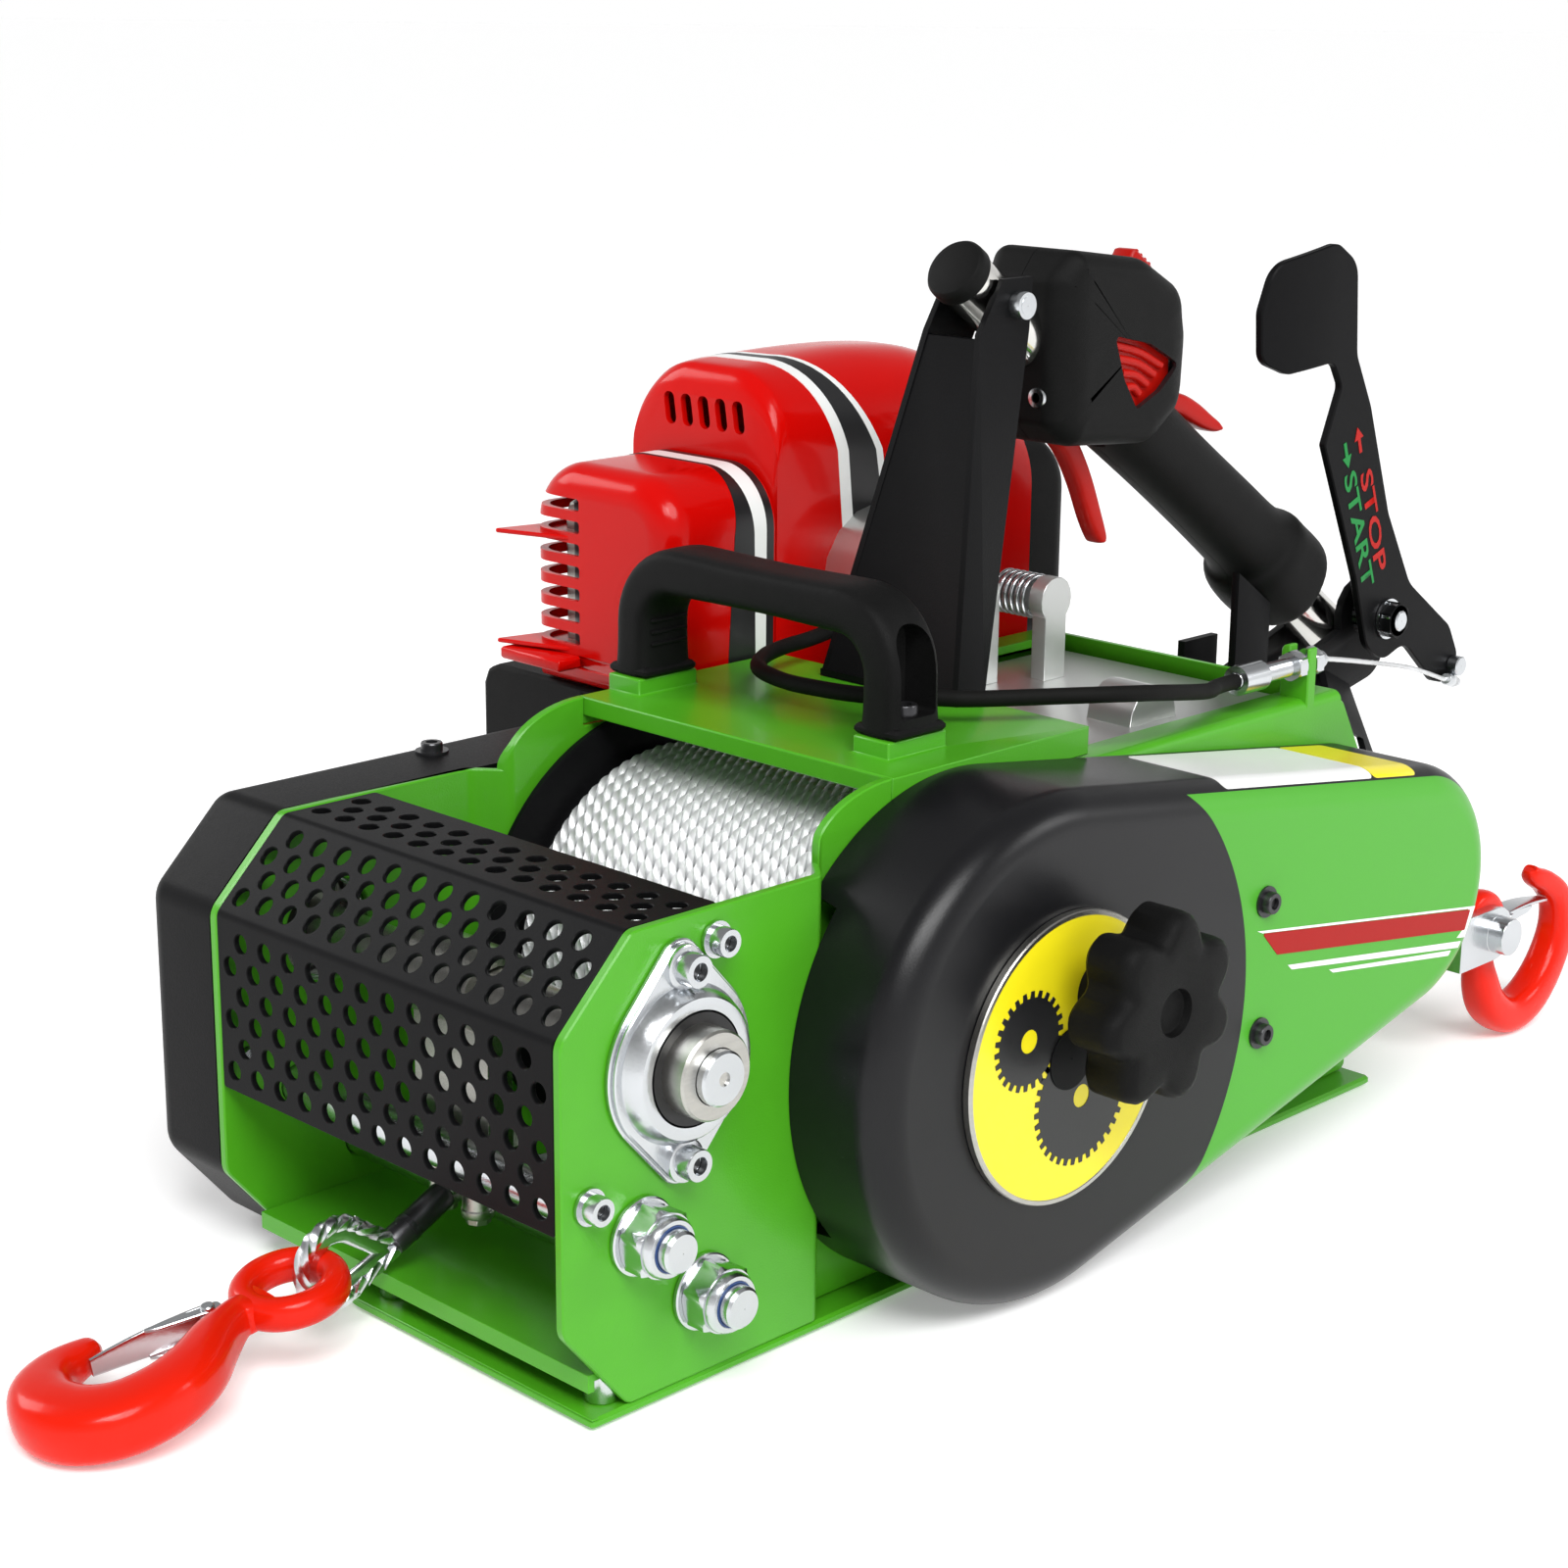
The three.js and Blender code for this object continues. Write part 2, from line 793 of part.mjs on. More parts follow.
const plateRearOutline = [
  [joggleFront, plateLow],
  [joggleFront, plateTop],
  ...arcPoints.slice(0, -1),
  [arcRearX, topPlateHeight],
  [arcRearX, topPlateUnder],
  [topPlateFront + topPlateLength, topPlateUnder],
  [rearFlangeFront, rearFlangeTop],
  [rearFlangeRear, rearFlangeTop],
  [plateRearX, rearShoulderHeight],
  [plateRearX, plateLow],
];
const innerPlateFace = joggleDepth + plateSheet;
const rodPlaces = [[upperRodX, upperRodZ], [lowerRodX, lowerRodZ]];
const halfBoltSpacing = bearingBoltSpacing / 2;

function sidePlate(mirror) {
  const y = (near) => (mirror ? frameWidth - near : near);
  const front = slab(plateFrontOutline, y(0), y(plateSheet), alongY);
  const rear = slab(plateRearOutline, y(joggleDepth), y(innerPlateFace), alongY);
  const webLow = Math.min(y(0), y(innerPlateFace));
  const webHigh = Math.max(y(0), y(innerPlateFace));
  const web = box(joggleFront, joggleRear, webLow, webHigh, plateLow, plateTop);
  const flangeLow = Math.min(y(joggleDepth), y(joggleDepth + rearFlangeWidth));
  const flangeHigh = Math.max(y(joggleDepth), y(joggleDepth + rearFlangeWidth));
  const flangeUnder = rearFlangeTop - plateSheet;
  const flange = box(rearFlangeFront, rearFlangeRear, flangeLow, flangeHigh, flangeUnder, rearFlangeTop);
  const bossOuter = joggleDepth - shaftBossHeight;
  const boss = rodY(drumX, drumZ, y(bossOuter), y(innerPlateFace), shaftBossRadius, roundSides);
  const past = plateSheet + cutOverrun;
  const rodHoles = rodPlaces.map(([x, z]) => {
    return rodY(x, z, y(-cutOverrun), y(past), crossRodRadius + seatGap);
  });
  const shaftHole = rodY(feedX, feedZ, y(-cutOverrun), y(past), feedShaftRadius + runningGap, roundSides);
  const drumFrom = y(bossOuter - cutOverrun);
  const drumTo = y(innerPlateFace + cutOverrun);
  const drumHole = rodY(drumX, drumZ, drumFrom, drumTo, drumShaftRadius + seatGap, roundSides);
  const shaftFrom = y(joggleDepth - cutOverrun);
  const shaftTo = y(innerPlateFace + cutOverrun);
  const driveHole = rodY(driveX, driveZ, shaftFrom, shaftTo, driveShaftRadius + seatGap, roundSides);
  const drives = mirror ? [] : [driveHole];
  return cut(join(front, rear, web, flange, boss), ...rodHoles, shaftHole, drumHole, ...drives);
}

// The near plate also carries the cable tab and the tongue of the anchor hook
const tabNear = joggleDepth;
const tabFar = tabNear + tabWidth;
const tabFront = tabCentreX - tabSheet / 2;
const tabRear = tabCentreX + tabSheet / 2;
const tabTop = rearFlangeTop + tabHeight;
const tabBody = box(tabFront, tabRear, tabNear, tabFar, rearFlangeTop - plateSheet / 2, tabTop);
const barrelCentreY = barrelY;
const slotHalf = barrelRadius + seatGap;
const tabSlotTop = tabTop + cutOverrun;
const slotNear = barrelCentreY - slotHalf;
const slotFar = barrelCentreY + slotHalf;
const slotFront = tabFront - cutOverrun;
const slotRear = tabRear + cutOverrun;
const tabSlot = box(slotFront, slotRear, slotNear, slotFar, barrelZ, tabSlotTop);
const tabBore = rodX(barrelCentreY, barrelZ, slotFront, slotRear, slotHalf);
const tongueRear = plateRearX + tongueReach;
const tongueFront = plateRearX - plateSheet;
const tongueRound = (tongueHigh - tongueLow) / 2;
const tongueMid = (tongueHigh + tongueLow) / 2;
const tongueOutline = [
  [tongueFront, tongueLow],
  ...circle(tongueRear - tongueRound, tongueMid, tongueRound, smallSides, -quarterTurn, Math.PI),
  [tongueFront, tongueHigh],
];
const tongue = slab(tongueOutline, joggleDepth, innerPlateFace, alongY);
const nearPlate = cut(join(sidePlate(false), tabBody, tongue), tabSlot, tabBore);
addMesh('right_side_plate', nearPlate, green);
addMesh('left_side_plate', sidePlate(true), green);

// Rear plate between the side plates, leaning forward above the shoulder
const rearInnerX = plateRearX - rearPlateSheet;
const leanRun = plateRearX - rearFlangeRear;
const rearOutline = [
  [rearInnerX, plateLow],
  [plateRearX, plateLow],
  [plateRearX, rearShoulderHeight],
  [plateRearX - leanRun, rearFlangeTop],
  [rearInnerX - leanRun, rearFlangeTop],
  [rearInnerX, rearShoulderHeight],
];
const rearNear = innerPlateFace + seatGap;
const rearFar = frameWidth - rearNear;
const rearSheet = slab(rearOutline, rearNear, rearFar, alongY);
const flangeRoomNear = joggleDepth + rearFlangeWidth + seatGap;
const flangeRoomLow = rearFlangeTop - plateSheet - seatGap;
const flangeRoom = (near, far) => {
  const front = rearInnerX - leanRun - cutOverrun;
  return box(front, rearFlangeRear + seatGap, near, far, flangeRoomLow, rearFlangeTop + cutOverrun);
};
const roomFar = frameWidth - flangeRoomNear;
const rearPlate = cut(rearSheet, flangeRoom(0, flangeRoomNear), flangeRoom(roomFar, frameWidth));
addMesh('rear_plate', rearPlate, green);

// Top plate with side flanges, a front lip and the two bosses of the carry handle
const topRear = topPlateFront + topPlateLength;
const topNear = joggleDepth;
const topFar = frameWidth - joggleDepth;
const topUnder = topPlateHeight - baseSheet;
const flangeLowZ = topPlateHeight - topPlateFlange;
const topSheet = box(topPlateFront, topRear, topNear, topFar, topUnder, topPlateHeight);
const nearFlange = box(topPlateFront, topRear, topNear, topNear + baseSheet, flangeLowZ, topPlateHeight);
const farFlange = box(topPlateFront, topRear, topFar - baseSheet, topFar, flangeLowZ, topPlateHeight);
const lipRear = topPlateFront + baseSheet;
const frontLip = box(topPlateFront, lipRear, topNear, topFar, topPlateHeight - topPlateLip, topPlateHeight);
const bossX0 = topPlateFront + bossSetback;
const bossX1 = bossX0 + bossLength;
const bossTop = topPlateHeight + bossHeight;
const bossNearY = topNear + bossInset;
const bossFarY = bossNearY + handleFootSpan;
const bosses = [bossNearY, bossFarY].map((y) => {
  return box(bossX0, bossX1, y, y + bossWidth, topUnder, bossTop);
});
addMesh('top_plate', join(topSheet, nearFlange, farFlange, frontLip, ...bosses), green);

// Belt cover: a shell round two circles, open towards the side plate
const coverBack = joggleDepth - seatGap;
const coverFace = -coverDepth;
const coverOutline = (less) => {
  return beltOutline(drumX, drumZ, coverBigRadius - less, driveX, driveZ, coverSmallRadius - less);
};
const coverOuter = pressed(coverOutline, coverBack, coverFace, coverEdge, alongY);
const coverInnerOutline = (less) => coverOutline(coverWall + less);
const coverInnerEdge = coverEdge - coverWall;
const coverInnerBack = coverBack + cutOverrun;
const coverInnerFace = coverFace + coverWall;
const coverInner = pressed(coverInnerOutline, coverInnerBack, coverInnerFace, coverInnerEdge, alongY);
const frontPlateRoom = box(0, joggleRear + seatGap, -seatGap, frameWidth, 0, topPlateHeight);
const spindleRoom = discSpindle + seatGap;
const [spindleFrom, spindleTo] = [coverFace - cutOverrun, coverInnerFace + cutOverrun];
const spindleBore = rodY(drumX, drumZ, spindleFrom, spindleTo, spindleRoom, roundSides);
addMesh('belt_cover', cut(coverOuter, coverInner, frontPlateRoom, spindleBore), black);

// Drive chain: a closed band round the two sprockets, its flats clear of their tips
const chainFacetShare = Math.cos(Math.PI / (smallSides * 2));
function chain(x1, z1, r1, x2, z2, r2, y0, y1) {
  const inner = (r1 + chainClearance) / chainFacetShare;
  const innerEnd = (r2 + chainClearance) / chainFacetShare;
  const outer = inner + chainThickness;
  const outerEnd = innerEnd + chainThickness;
  const band = slab(beltOutline(x1, z1, outer, x2, z2, outerEnd), y0, y1, alongY);
  const hole = beltOutline(x1, z1, inner, x2, z2, innerEnd);
  return cut(band, slab(hole, y0 - cutOverrun, y1 + cutOverrun, alongY));
}
const chainY0 = -chainPlane - chainWidth / 2;
const chainY1 = chainY0 + chainWidth;
const chainRadii = [drumSprocketRadius, driveSprocketRadius];
const driveChain = chain(drumX, drumZ, chainRadii[0], driveX, driveZ, chainRadii[1], chainY0, chainY1);
addMesh('drive_chain', driveChain, steel);

// Cover and chain of the feed shaft on the far side
const farOutline = [
  [farCoverRear, plateLow],
  [farCoverRear, plateTop],
  [plateFrontTopX, plateTop],
  [plateFrontX, plateTop - plateChamferDrop],
  [plateFrontX, plateToeTop],
  [plateToeX, plateLow],
];
const farBack = frameWidth - joggleDepth + seatGap;
const farFace = frameWidth + farCoverDepth;
const farShape = (less) => inset(farOutline, less);
const farOuter = pressed(farShape, farBack, farFace, farCoverEdge, alongY);
const farInnerShape = (less) => inset(farOutline, coverWall + less);
const farInnerEdge = farCoverEdge - coverWall;
const farInner = pressed(farInnerShape, farBack - cutOverrun, farFace - coverWall, farInnerEdge, alongY);
const farPlateFace = frameWidth + seatGap;
const farPlateRoom = box(plateFrontX - cutOverrun, joggleRear + seatGap, 0, farPlateFace, 0, topPlateHeight);
addMesh('far_cover', cut(farOuter, farInner, farPlateRoom), black);
const farChainY0 = frameWidth + farChainPlane - chainWidth / 2;
const farChainY1 = farChainY0 + chainWidth;
const feedRadii = [feedSprocketRadius, drumFarSprocketRadius];
const feedChain = chain(feedX, feedZ, feedRadii[0], drumX, drumZ, feedRadii[1], farChainY0, farChainY1);
addMesh('feed_chain', feedChain, steel);

// Drum: two flanges on a hollow core, open at the bore
const flangeNear = drumFlangeInset;
const flangeFar = frameWidth - drumFlangeInset;
const windRadius = ropeOuterRadius - ropeDiameter / 2;
const coreRadius = windRadius * Math.cos(Math.PI / loopSteps) - ropeDiameter / 2 - seatGap;
const drumBore = drumShaftRadius + seatGap;
const coreNear = flangeNear + drumFlangeSheet;
const coreFar = flangeFar - drumFlangeSheet;
const hollow = coreRadius - drumWall;
const drumProfile = [
  [drumBore, flangeNear],
  [drumFlangeRadius, flangeNear],
  [drumFlangeRadius, coreNear],
  [coreRadius, coreNear],
  [coreRadius, coreFar],
  [drumFlangeRadius, coreFar],
  [drumFlangeRadius, flangeFar],
  [drumBore, flangeFar],
  [drumBore, coreFar],
  [hollow, coreFar],
  [hollow, coreNear],
  [drumBore, coreNear],
];
addMesh('drum', turnedY(drumX, drumZ, drumProfile, drumSides), black);

// Rope: one unbroken tube wound on the drum, its ends running straight for one rope diameter
const windLength = ropePitch * ropeLoops;
const windStart = (coreNear + coreFar - windLength) / 2;
const windSteps = ropeLoops * loopSteps;
const windCentres = [];
for (let i = 0; i <= windSteps; i += 1) {
  const angle = (i / loopSteps) * Math.PI * 2;
  const y = windStart + (ropePitch * i) / loopSteps;
  const [x, z] = [drumX + windRadius * Math.cos(angle), drumZ + windRadius * Math.sin(angle)];
  windCentres.push(new THREE.Vector3(x, y, z));
}
const firstRun = windCentres[0].clone().sub(windCentres[1]).setLength(ropeDiameter);
const lastRun = windCentres[windSteps].clone().sub(windCentres[windSteps - 1]).setLength(ropeDiameter);
windCentres.unshift(windCentres[0].clone().add(firstRun));
windCentres.push(windCentres[windCentres.length - 1].clone().add(lastRun));
const windAxis = new THREE.Vector3(0, 1, 0);
const ropeSection = circle(0, 0, 1, ropeSides, Math.PI / ropeSides);
const winding = sweep(windCentres, ropeDiameter / 2, ropeDiameter / 2, windAxis, ropeSection);
addMesh('rope_winding', winding, rope);
let leastGap = Infinity;
for (let i = 0; i < loopSteps; i += 1) {
  const here = windCentres[i + 1];
  const next = windCentres[i + 1 + loopSteps];
  leastGap = Math.min(leastGap, here.distanceTo(next) - ropeDiameter);
}
console.log(`least gap between rope loops ${leastGap.toFixed(2)} mm`);

// Drum shaft with a sprocket in each cover
const hubLength = sprocketSheet + toothDepth;
const wheelY0 = -chainPlane - sprocketSheet / 2;
const wheelY1 = wheelY0 + sprocketSheet;
const farWheelY0 = frameWidth + farChainPlane - sprocketSheet / 2;
const farWheelY1 = farWheelY0 + sprocketSheet;
const shaftNearEnd = wheelY0 - hubLength / 2;
const shaftFarEnd = farWheelY1 + hubLength / 2;
const drumShaft = rodY(drumX, drumZ, shaftNearEnd, shaftFarEnd, drumShaftRadius, roundSides);
const bigWheel = sprocket(drumX, drumZ, drumSprocketRadius, drumTeeth, wheelY0, wheelY1);
const farWheel = sprocket(drumX, drumZ, drumFarSprocketRadius, drumFarTeeth, farWheelY0, farWheelY1);
addMesh('drum_shaft', join(drumShaft, bigWheel, farWheel), steel);

// Output shaft of the gearbox with its sprocket
const driveInnerEnd = innerPlateFace + driveShaftInside;
const driveShaft = rodY(driveX, driveZ, shaftNearEnd, driveInnerEnd, driveShaftRadius, roundSides);
const smallWheel = sprocket(driveX, driveZ, driveSprocketRadius, driveTeeth, wheelY0, wheelY1);
addMesh('drive_sprocket', join(driveShaft, smallWheel), steel);

// Feed shaft with its sprocket in the far cover
const feedFarEnd = farWheelY1 + hubLength / 2;
const feedShaft = rodY(feedX, feedZ, -feedShaftStub, feedFarEnd, feedShaftRadius, roundSides);
const feedWheel = sprocket(feedX, feedZ, feedSprocketRadius, feedTeeth, farWheelY0, farWheelY1);
addMesh('feed_shaft', join(feedShaft, feedWheel), steel);

// Flange bearings of the feed shaft: an oval flange, a domed housing, the insert and two bolts
function bearing(face, way) {
  const y = (out) => face + way * out;
  const ear = bearingLength / 2 - halfBoltSpacing;
  const halfWidth = bearingWidth / 2;
  const earSteps = cornerSteps * 2;
  const upper = circle(feedX, feedZ + halfBoltSpacing, ear, earSteps, 0, Math.PI);
  const lower = circle(feedX, feedZ - halfBoltSpacing, ear, earSteps, Math.PI, Math.PI);
  const turn = bearingSideAngle;
  const left = circle(feedX, feedZ, halfWidth, earSteps, Math.PI - turn, turn * 2);
  const right = circle(feedX, feedZ, halfWidth, earSteps, -turn, turn * 2);
  const outline = [...upper, ...left, ...lower, ...right];
  const flange = slab(outline, y(0), y(bearingFlange), alongY);
  const humpFrom = new THREE.Vector3(feedX, y(0), feedZ);
  const humpTo = new THREE.Vector3(feedX, y(bearingHumpHeight), feedZ);
  const hump = rod(humpFrom, humpTo, bearingHumpRadius, roundSides, bearingInsertRadius + bearingInsertRise);
  const insertTop = bearingHumpHeight + bearingInsertRise;
  const insert = rodY(feedX, feedZ, y(0), y(insertTop), bearingInsertRadius, roundSides);
  const collar = rodY(feedX, feedZ, y(0), y(insertTop + bearingCollarRise), bearingCollarRadius, roundSides);
  const bolts = [-halfBoltSpacing, halfBoltSpacing].map((offset) => {
    const headTop = y(bearingFlange + bearingBoltHeight);
    return rodY(feedX, feedZ + offset, y(0), headTop, bearingBoltHead, smallSides);
  });
  const boreTo = y(insertTop + bearingCollarRise + cutOverrun);
  const bore = rodY(feedX, feedZ, y(-cutOverrun), boreTo, feedShaftRadius + seatGap, roundSides);
  return cut(join(flange, hump, insert, collar, ...bolts), bore);
}
addMesh('bearing_housing_near', bearing(-seatGap, -1), zinc);
const farBearing = bearing(frameWidth + seatGap, 1);
const farWheelRoom = box(0, joggleAt, farWheelY0 - runningGap, farFace, 0, plateTop);
addMesh('bearing_housing_far', cut(farBearing, farWheelRoom), zinc);

// Cross bolts through both side plates, each with a washer and a nut outside each plate
function crossBolt(x, z) {
  const stack = seatGap + rodWasherSheet + rodNutHeight;
  const tip = stack + rodTipLength;
  const core = rodY(x, z, -tip, frameWidth + tip, crossRodRadius, smallSides);
  const ends = [[0, -1], [frameWidth, 1]].map(([face, way]) => {
    const washerIn = face + way * seatGap;
    const washerOut = washerIn + way * rodWasherSheet;
    const washer = rodY(x, z, washerIn, washerOut, rodWasherRadius, thimbleSteps);
    const nutIn = washerOut - (way * rodWasherSheet) / 2;
    const nut = rodY(x, z, nutIn, face + way * stack, rodNutRadius, hexSides);
    return join(washer, nut);
  });
  return join(core, ...ends);
}
addMesh('cross_bolt_upper', crossBolt(upperRodX, upperRodZ), zinc);
addMesh('cross_bolt_lower', crossBolt(lowerRodX, lowerRodZ), zinc);

// Level wind carriage: a boss on the feed shaft and a beam that carries the two roller pins
const bossY0 = ropeExitY - carriageBossLength / 2;
const bossY1 = ropeExitY + carriageBossLength / 2;
const beamLow = rollerTop + seatGap;
const beamHigh = beamLow + carriageBeamHeight;
const carriageBoss = rodY(feedX, feedZ, bossY0, bossY1, carriageBossRadius, roundSides);
const beamFront = upperRodX + crossRodRadius + runningGap;
const carriageBeam = box(beamFront, carriageBeamRear, bossY0, bossY1, beamLow, beamHigh);
const webFront = feedX - carriageWeb / 2;
const carriageRib = box(webFront, webFront + carriageWeb, bossY0, bossY1, beamHigh - cutOverrun, feedZ);
const shaftPassage = rodY(feedX, feedZ, 0, frameWidth, feedShaftRadius + runningGap, roundSides);
const halfRollerSpacing = rollerRadius + (ropeDiameter + rollerGap) / 2;
const rollerLow = rollerTop - rollerLength;
const rollerPins = [-halfRollerSpacing, halfRollerSpacing].map((offset) => {
  const y = ropeExitY + offset;
  const headTop = rollerLow - runningGap;
  const headLow = headTop - rollerPinHeadHeight;
  const pin = rodZ(rollerX, y, headLow, beamLow + carriageBeamHeight / 2, rollerPinRadius, smallSides);
  return join(pin, rodZ(rollerX, y, headLow, headTop, rollerPinHead, smallSides));
});
const carriage = cut(join(carriageBoss, carriageBeam, carriageRib, ...rollerPins), shaftPassage);
addMesh('guide_carriage', carriage, steel);
const rollerNames = [['roller_right', -halfRollerSpacing], ['roller_left', halfRollerSpacing]];
for (const [name, offset] of rollerNames) {
  const y = ropeExitY + offset;
  const body = rodZ(rollerX, y, rollerLow, rollerTop, rollerRadius, roundSides);
  const bore = rodZ(rollerX, y, rollerLow - cutOverrun, rollerTop + cutOverrun, rollerPinRadius + seatGap);
  addMesh(name, cut(body, bore), zinc);
}

// Rope from the drum over the lower cross bolt to the ferrule
// Shares of the drum's place along the base and of its height
const spanShares = [
  [0.9036, 0.2059],
  [0.6091, 0.3392],
  [0.3147, 0.4725],
  [0.264, 0.4931],
  [0.2284, 0.5],
  [0.1929, 0.4843],
  [0.1574, 0.452],
];
const spanPoints = spanShares.map(([u, v]) => [u * drumX, v * drumZ]);
const spanPath = new THREE.CatmullRomCurve3(spanPoints.map(([x, z]) => new THREE.Vector3(x, ropeExitY, z)));
const spanShape = outlineShape(circle(0, 0, ropeDiameter / 2, cableSides));
const spanSteps = 14;
const spanTube = new THREE.ExtrudeGeometry(spanShape, { steps: spanSteps, extrudePath: spanPath });
addMesh('rope_span', solid(spanTube), rope);

// Ferrule and thimble eye at the end of the rope
const upZ = new THREE.Vector3(0, 0, 1);
const upY = new THREE.Vector3(0, 1, 0);
const ferruleTop = new THREE.Vector3(ferruleTopX, ropeExitY, ferruleTopZ);
const ferruleLow = new THREE.Vector3(ferruleLowX, ropeExitY, ferruleLowZ);
const ferrule = rod(ferruleTop, ferruleLow, ferruleRadius, smallSides);
const tipReach = ferruleLowX - thimbleX;
const tangentAngle = Math.acos(thimbleRadius / tipReach);
const thimbleArc = circle(0, 0, thimbleRadius, thimbleSteps, tangentAngle, (Math.PI - tangentAngle) * 2);
const tipPoints = [-1, 1].map((way) => [tipReach * thimbleTipShare, (way * thimbleWire) / 3]);
const thimblePoints = [tipPoints[1], ...thimbleArc, tipPoints[0]];
const thimblePath = thimblePoints.map(([u, v]) => new THREE.Vector3(thimbleX + u, ropeExitY, thimbleZ + v));
const thimbleSection = circle(0, 0, 1, hookSides);
const thimble = sweep(thimblePath, thimbleWire, thimbleWire, upY, thimbleSection, true);
addMesh('rope_eye', join(ferrule, thimble), rope);

// Hooks: a bar along shares of the hook's length, with its half width and half height as shares too
const ropeHookShares = [
  [0.28, 0, 0.036, 0.036],
  [0.35, -0.005, 0.05, 0.055],
  [0.44, -0.05, 0.065, 0.07],
  [0.55, -0.12, 0.08, 0.08],
  [0.67, -0.155, 0.09, 0.085],
  [0.79, -0.14, 0.1, 0.085],
  [0.875, -0.07, 0.105, 0.085],
  [0.9, 0.03, 0.1, 0.083],
  [0.865, 0.125, 0.085, 0.075],
  [0.785, 0.185, 0.065, 0.06],
  [0.69, 0.2, 0.045, 0.045],
  [0.65, 0.198, 0.03, 0.032],
];
const anchorHookShares = [
  [0, -0.06, 0.07, 0.048],
  [0.03, -0.15, 0.08, 0.05],
  [0.06, -0.27, 0.085, 0.075],
  [0.14, -0.41, 0.09, 0.085],
  [0.3, -0.505, 0.09, 0.09],
  [0.49, -0.475, 0.095, 0.09],
  [0.65, -0.345, 0.09, 0.085],
  [0.74, -0.17, 0.085, 0.08],
  [0.71, 0, 0.075, 0.07],
  [0.6, 0.1, 0.06, 0.06],
  [0.49, 0.155, 0.048, 0.05],
  [0.45, 0.19, 0.035, 0.036],
];

function hookBar(shares, length) {
  const path = shares.map(([u, v]) => new THREE.Vector3(u * length, v * length, 0));
  const widths = shares.map((row) => row[2] * length);
  const heights = shares.map((row) => row[3] * length);
  return sweep(path, widths, heights, upZ, circle(0, 0, 1, hookSides));
}

// A latch from its pivot to the tip of the hook, both as shares of the hook's length
function latchPlate(pivot, end, length, width) {
  const from = new THREE.Vector3(pivot[0] * length, pivot[1] * length, 0);
  const to = new THREE.Vector3(end[0] * length, end[1] * length, 0);
  return sweep([from, to], latchSheet / 2, width / 2, upZ, roundedRect(-1, 1, -1, 1, 1, 1));
}

// The eye of the rope hook hangs in the thimble, so the hook turns about the thimble's centre
const ropeHookFrame = new THREE.Group();
ropeHookFrame.position.set(thimbleX, ropeExitY, thimbleZ);
ropeHookFrame.rotation.set(0, Math.PI - hookPitch, 0);
machine.add(ropeHookFrame);
const eyeOffset = thimbleRadius - thimbleWire - runningGap - hookEyeWire;
const eyeCentre = eyeOffset + hookEyeRadius;
const eyePath = circle(eyeCentre, 0, hookEyeRadius, thimbleSteps).map(([u, v]) => new THREE.Vector3(u, v, 0));
const hookEye = sweep(eyePath, hookEyeWire, hookEyeWire, upZ, circle(0, 0, 1, hookSides), true);
const ropePivotShares = [0.385, 0.062];
const ropeLatchShares = [0.71, 0.135];
const latchLugHalf = latchSheet * 2;
const lugU = ropePivotShares[0] * hookLength;
const lugV = ropePivotShares[1] * hookLength - seatGap;
const [lugFrom, lugTo] = [lugU - latchLugHalf, lugU + latchLugHalf];
const ropeLug = box(lugFrom, lugTo, 0, lugV - latchSheet, -latchLugHalf, latchLugHalf);
const hookBody = join(hookBar(ropeHookShares, hookLength), hookEye, ropeLug);
addMesh('rope_hook', hookBody, red, ropeHookFrame);
const ropeLatch = latchPlate(ropePivotShares, ropeLatchShares, hookLength, latchWidth);
addMesh('hook_latch', ropeLatch, zinc, ropeHookFrame);

// Anchor hook on the bolt of a clevis that seats against the tongue
const anchorFrame = new THREE.Group();
anchorFrame.position.set(anchorPivotX, anchorPlaneY, anchorPivotZ);
anchorFrame.rotation.set(quarterTurn, 0, 0);
machine.add(anchorFrame);
const anchorEye = rodZ(0, 0, -anchorEyeHalf, anchorEyeHalf, anchorEyeRadius, roundSides);
const anchorBore = rodZ(0, 0, -anchorEyeHalf * 2, anchorEyeHalf * 2, anchorBoltRadius + seatGap, roundSides);
const anchorPivotShares = [0.2, 0.045];
const anchorLatchShares = [0.585, 0.02];
const anchorLugU = anchorPivotShares[0] * anchorHookLength - seatGap;
const anchorLugV = anchorPivotShares[1] * anchorHookLength;
const anchorLug = box(0, anchorLugU, 0, anchorLugV, -latchLugHalf, latchLugHalf);
const anchorBar = join(hookBar(anchorHookShares, anchorHookLength), anchorEye, anchorLug);
addMesh('anchor_hook', cut(anchorBar, anchorBore), red, anchorFrame);
const anchorLatch = latchPlate(anchorPivotShares, anchorLatchShares, anchorHookLength, latchWidth);
addMesh('anchor_latch', anchorLatch, zinc, anchorFrame);

const cheekIn = anchorEyeHalf + seatGap;
const cheekFarEnd = joggleDepth - seatGap;
const cheekNearFace = anchorPlaneY - cheekIn;
const cheekFarFace = anchorPlaneY + cheekIn;
const cheekNearEnd = cheekNearFace - anchorCheek;
const blockX1 = anchorPivotX - anchorEyeRadius - runningGap;
const blockX0 = blockX1 - anchorBlock;
const cheekLow = anchorPivotZ - anchorCheekRadius;
const cheekHigh = anchorPivotZ + anchorCheekRadius;
const cheeks = [[cheekNearEnd, cheekNearFace], [cheekFarFace, cheekFarEnd]].map(([y0, y1]) => {
  const plate = box(blockX0, anchorPivotX, y0, y1, cheekLow, cheekHigh);
  return join(plate, rodY(anchorPivotX, anchorPivotZ, y0, y1, anchorCheekRadius, roundSides));
});
const clevisBlock = box(blockX0, blockX1, cheekNearEnd, cheekFarEnd, cheekLow, cheekHigh);
const anchorPin = rodY(anchorPivotX, anchorPivotZ, cheekNearEnd, cheekFarEnd, anchorBoltRadius, roundSides);
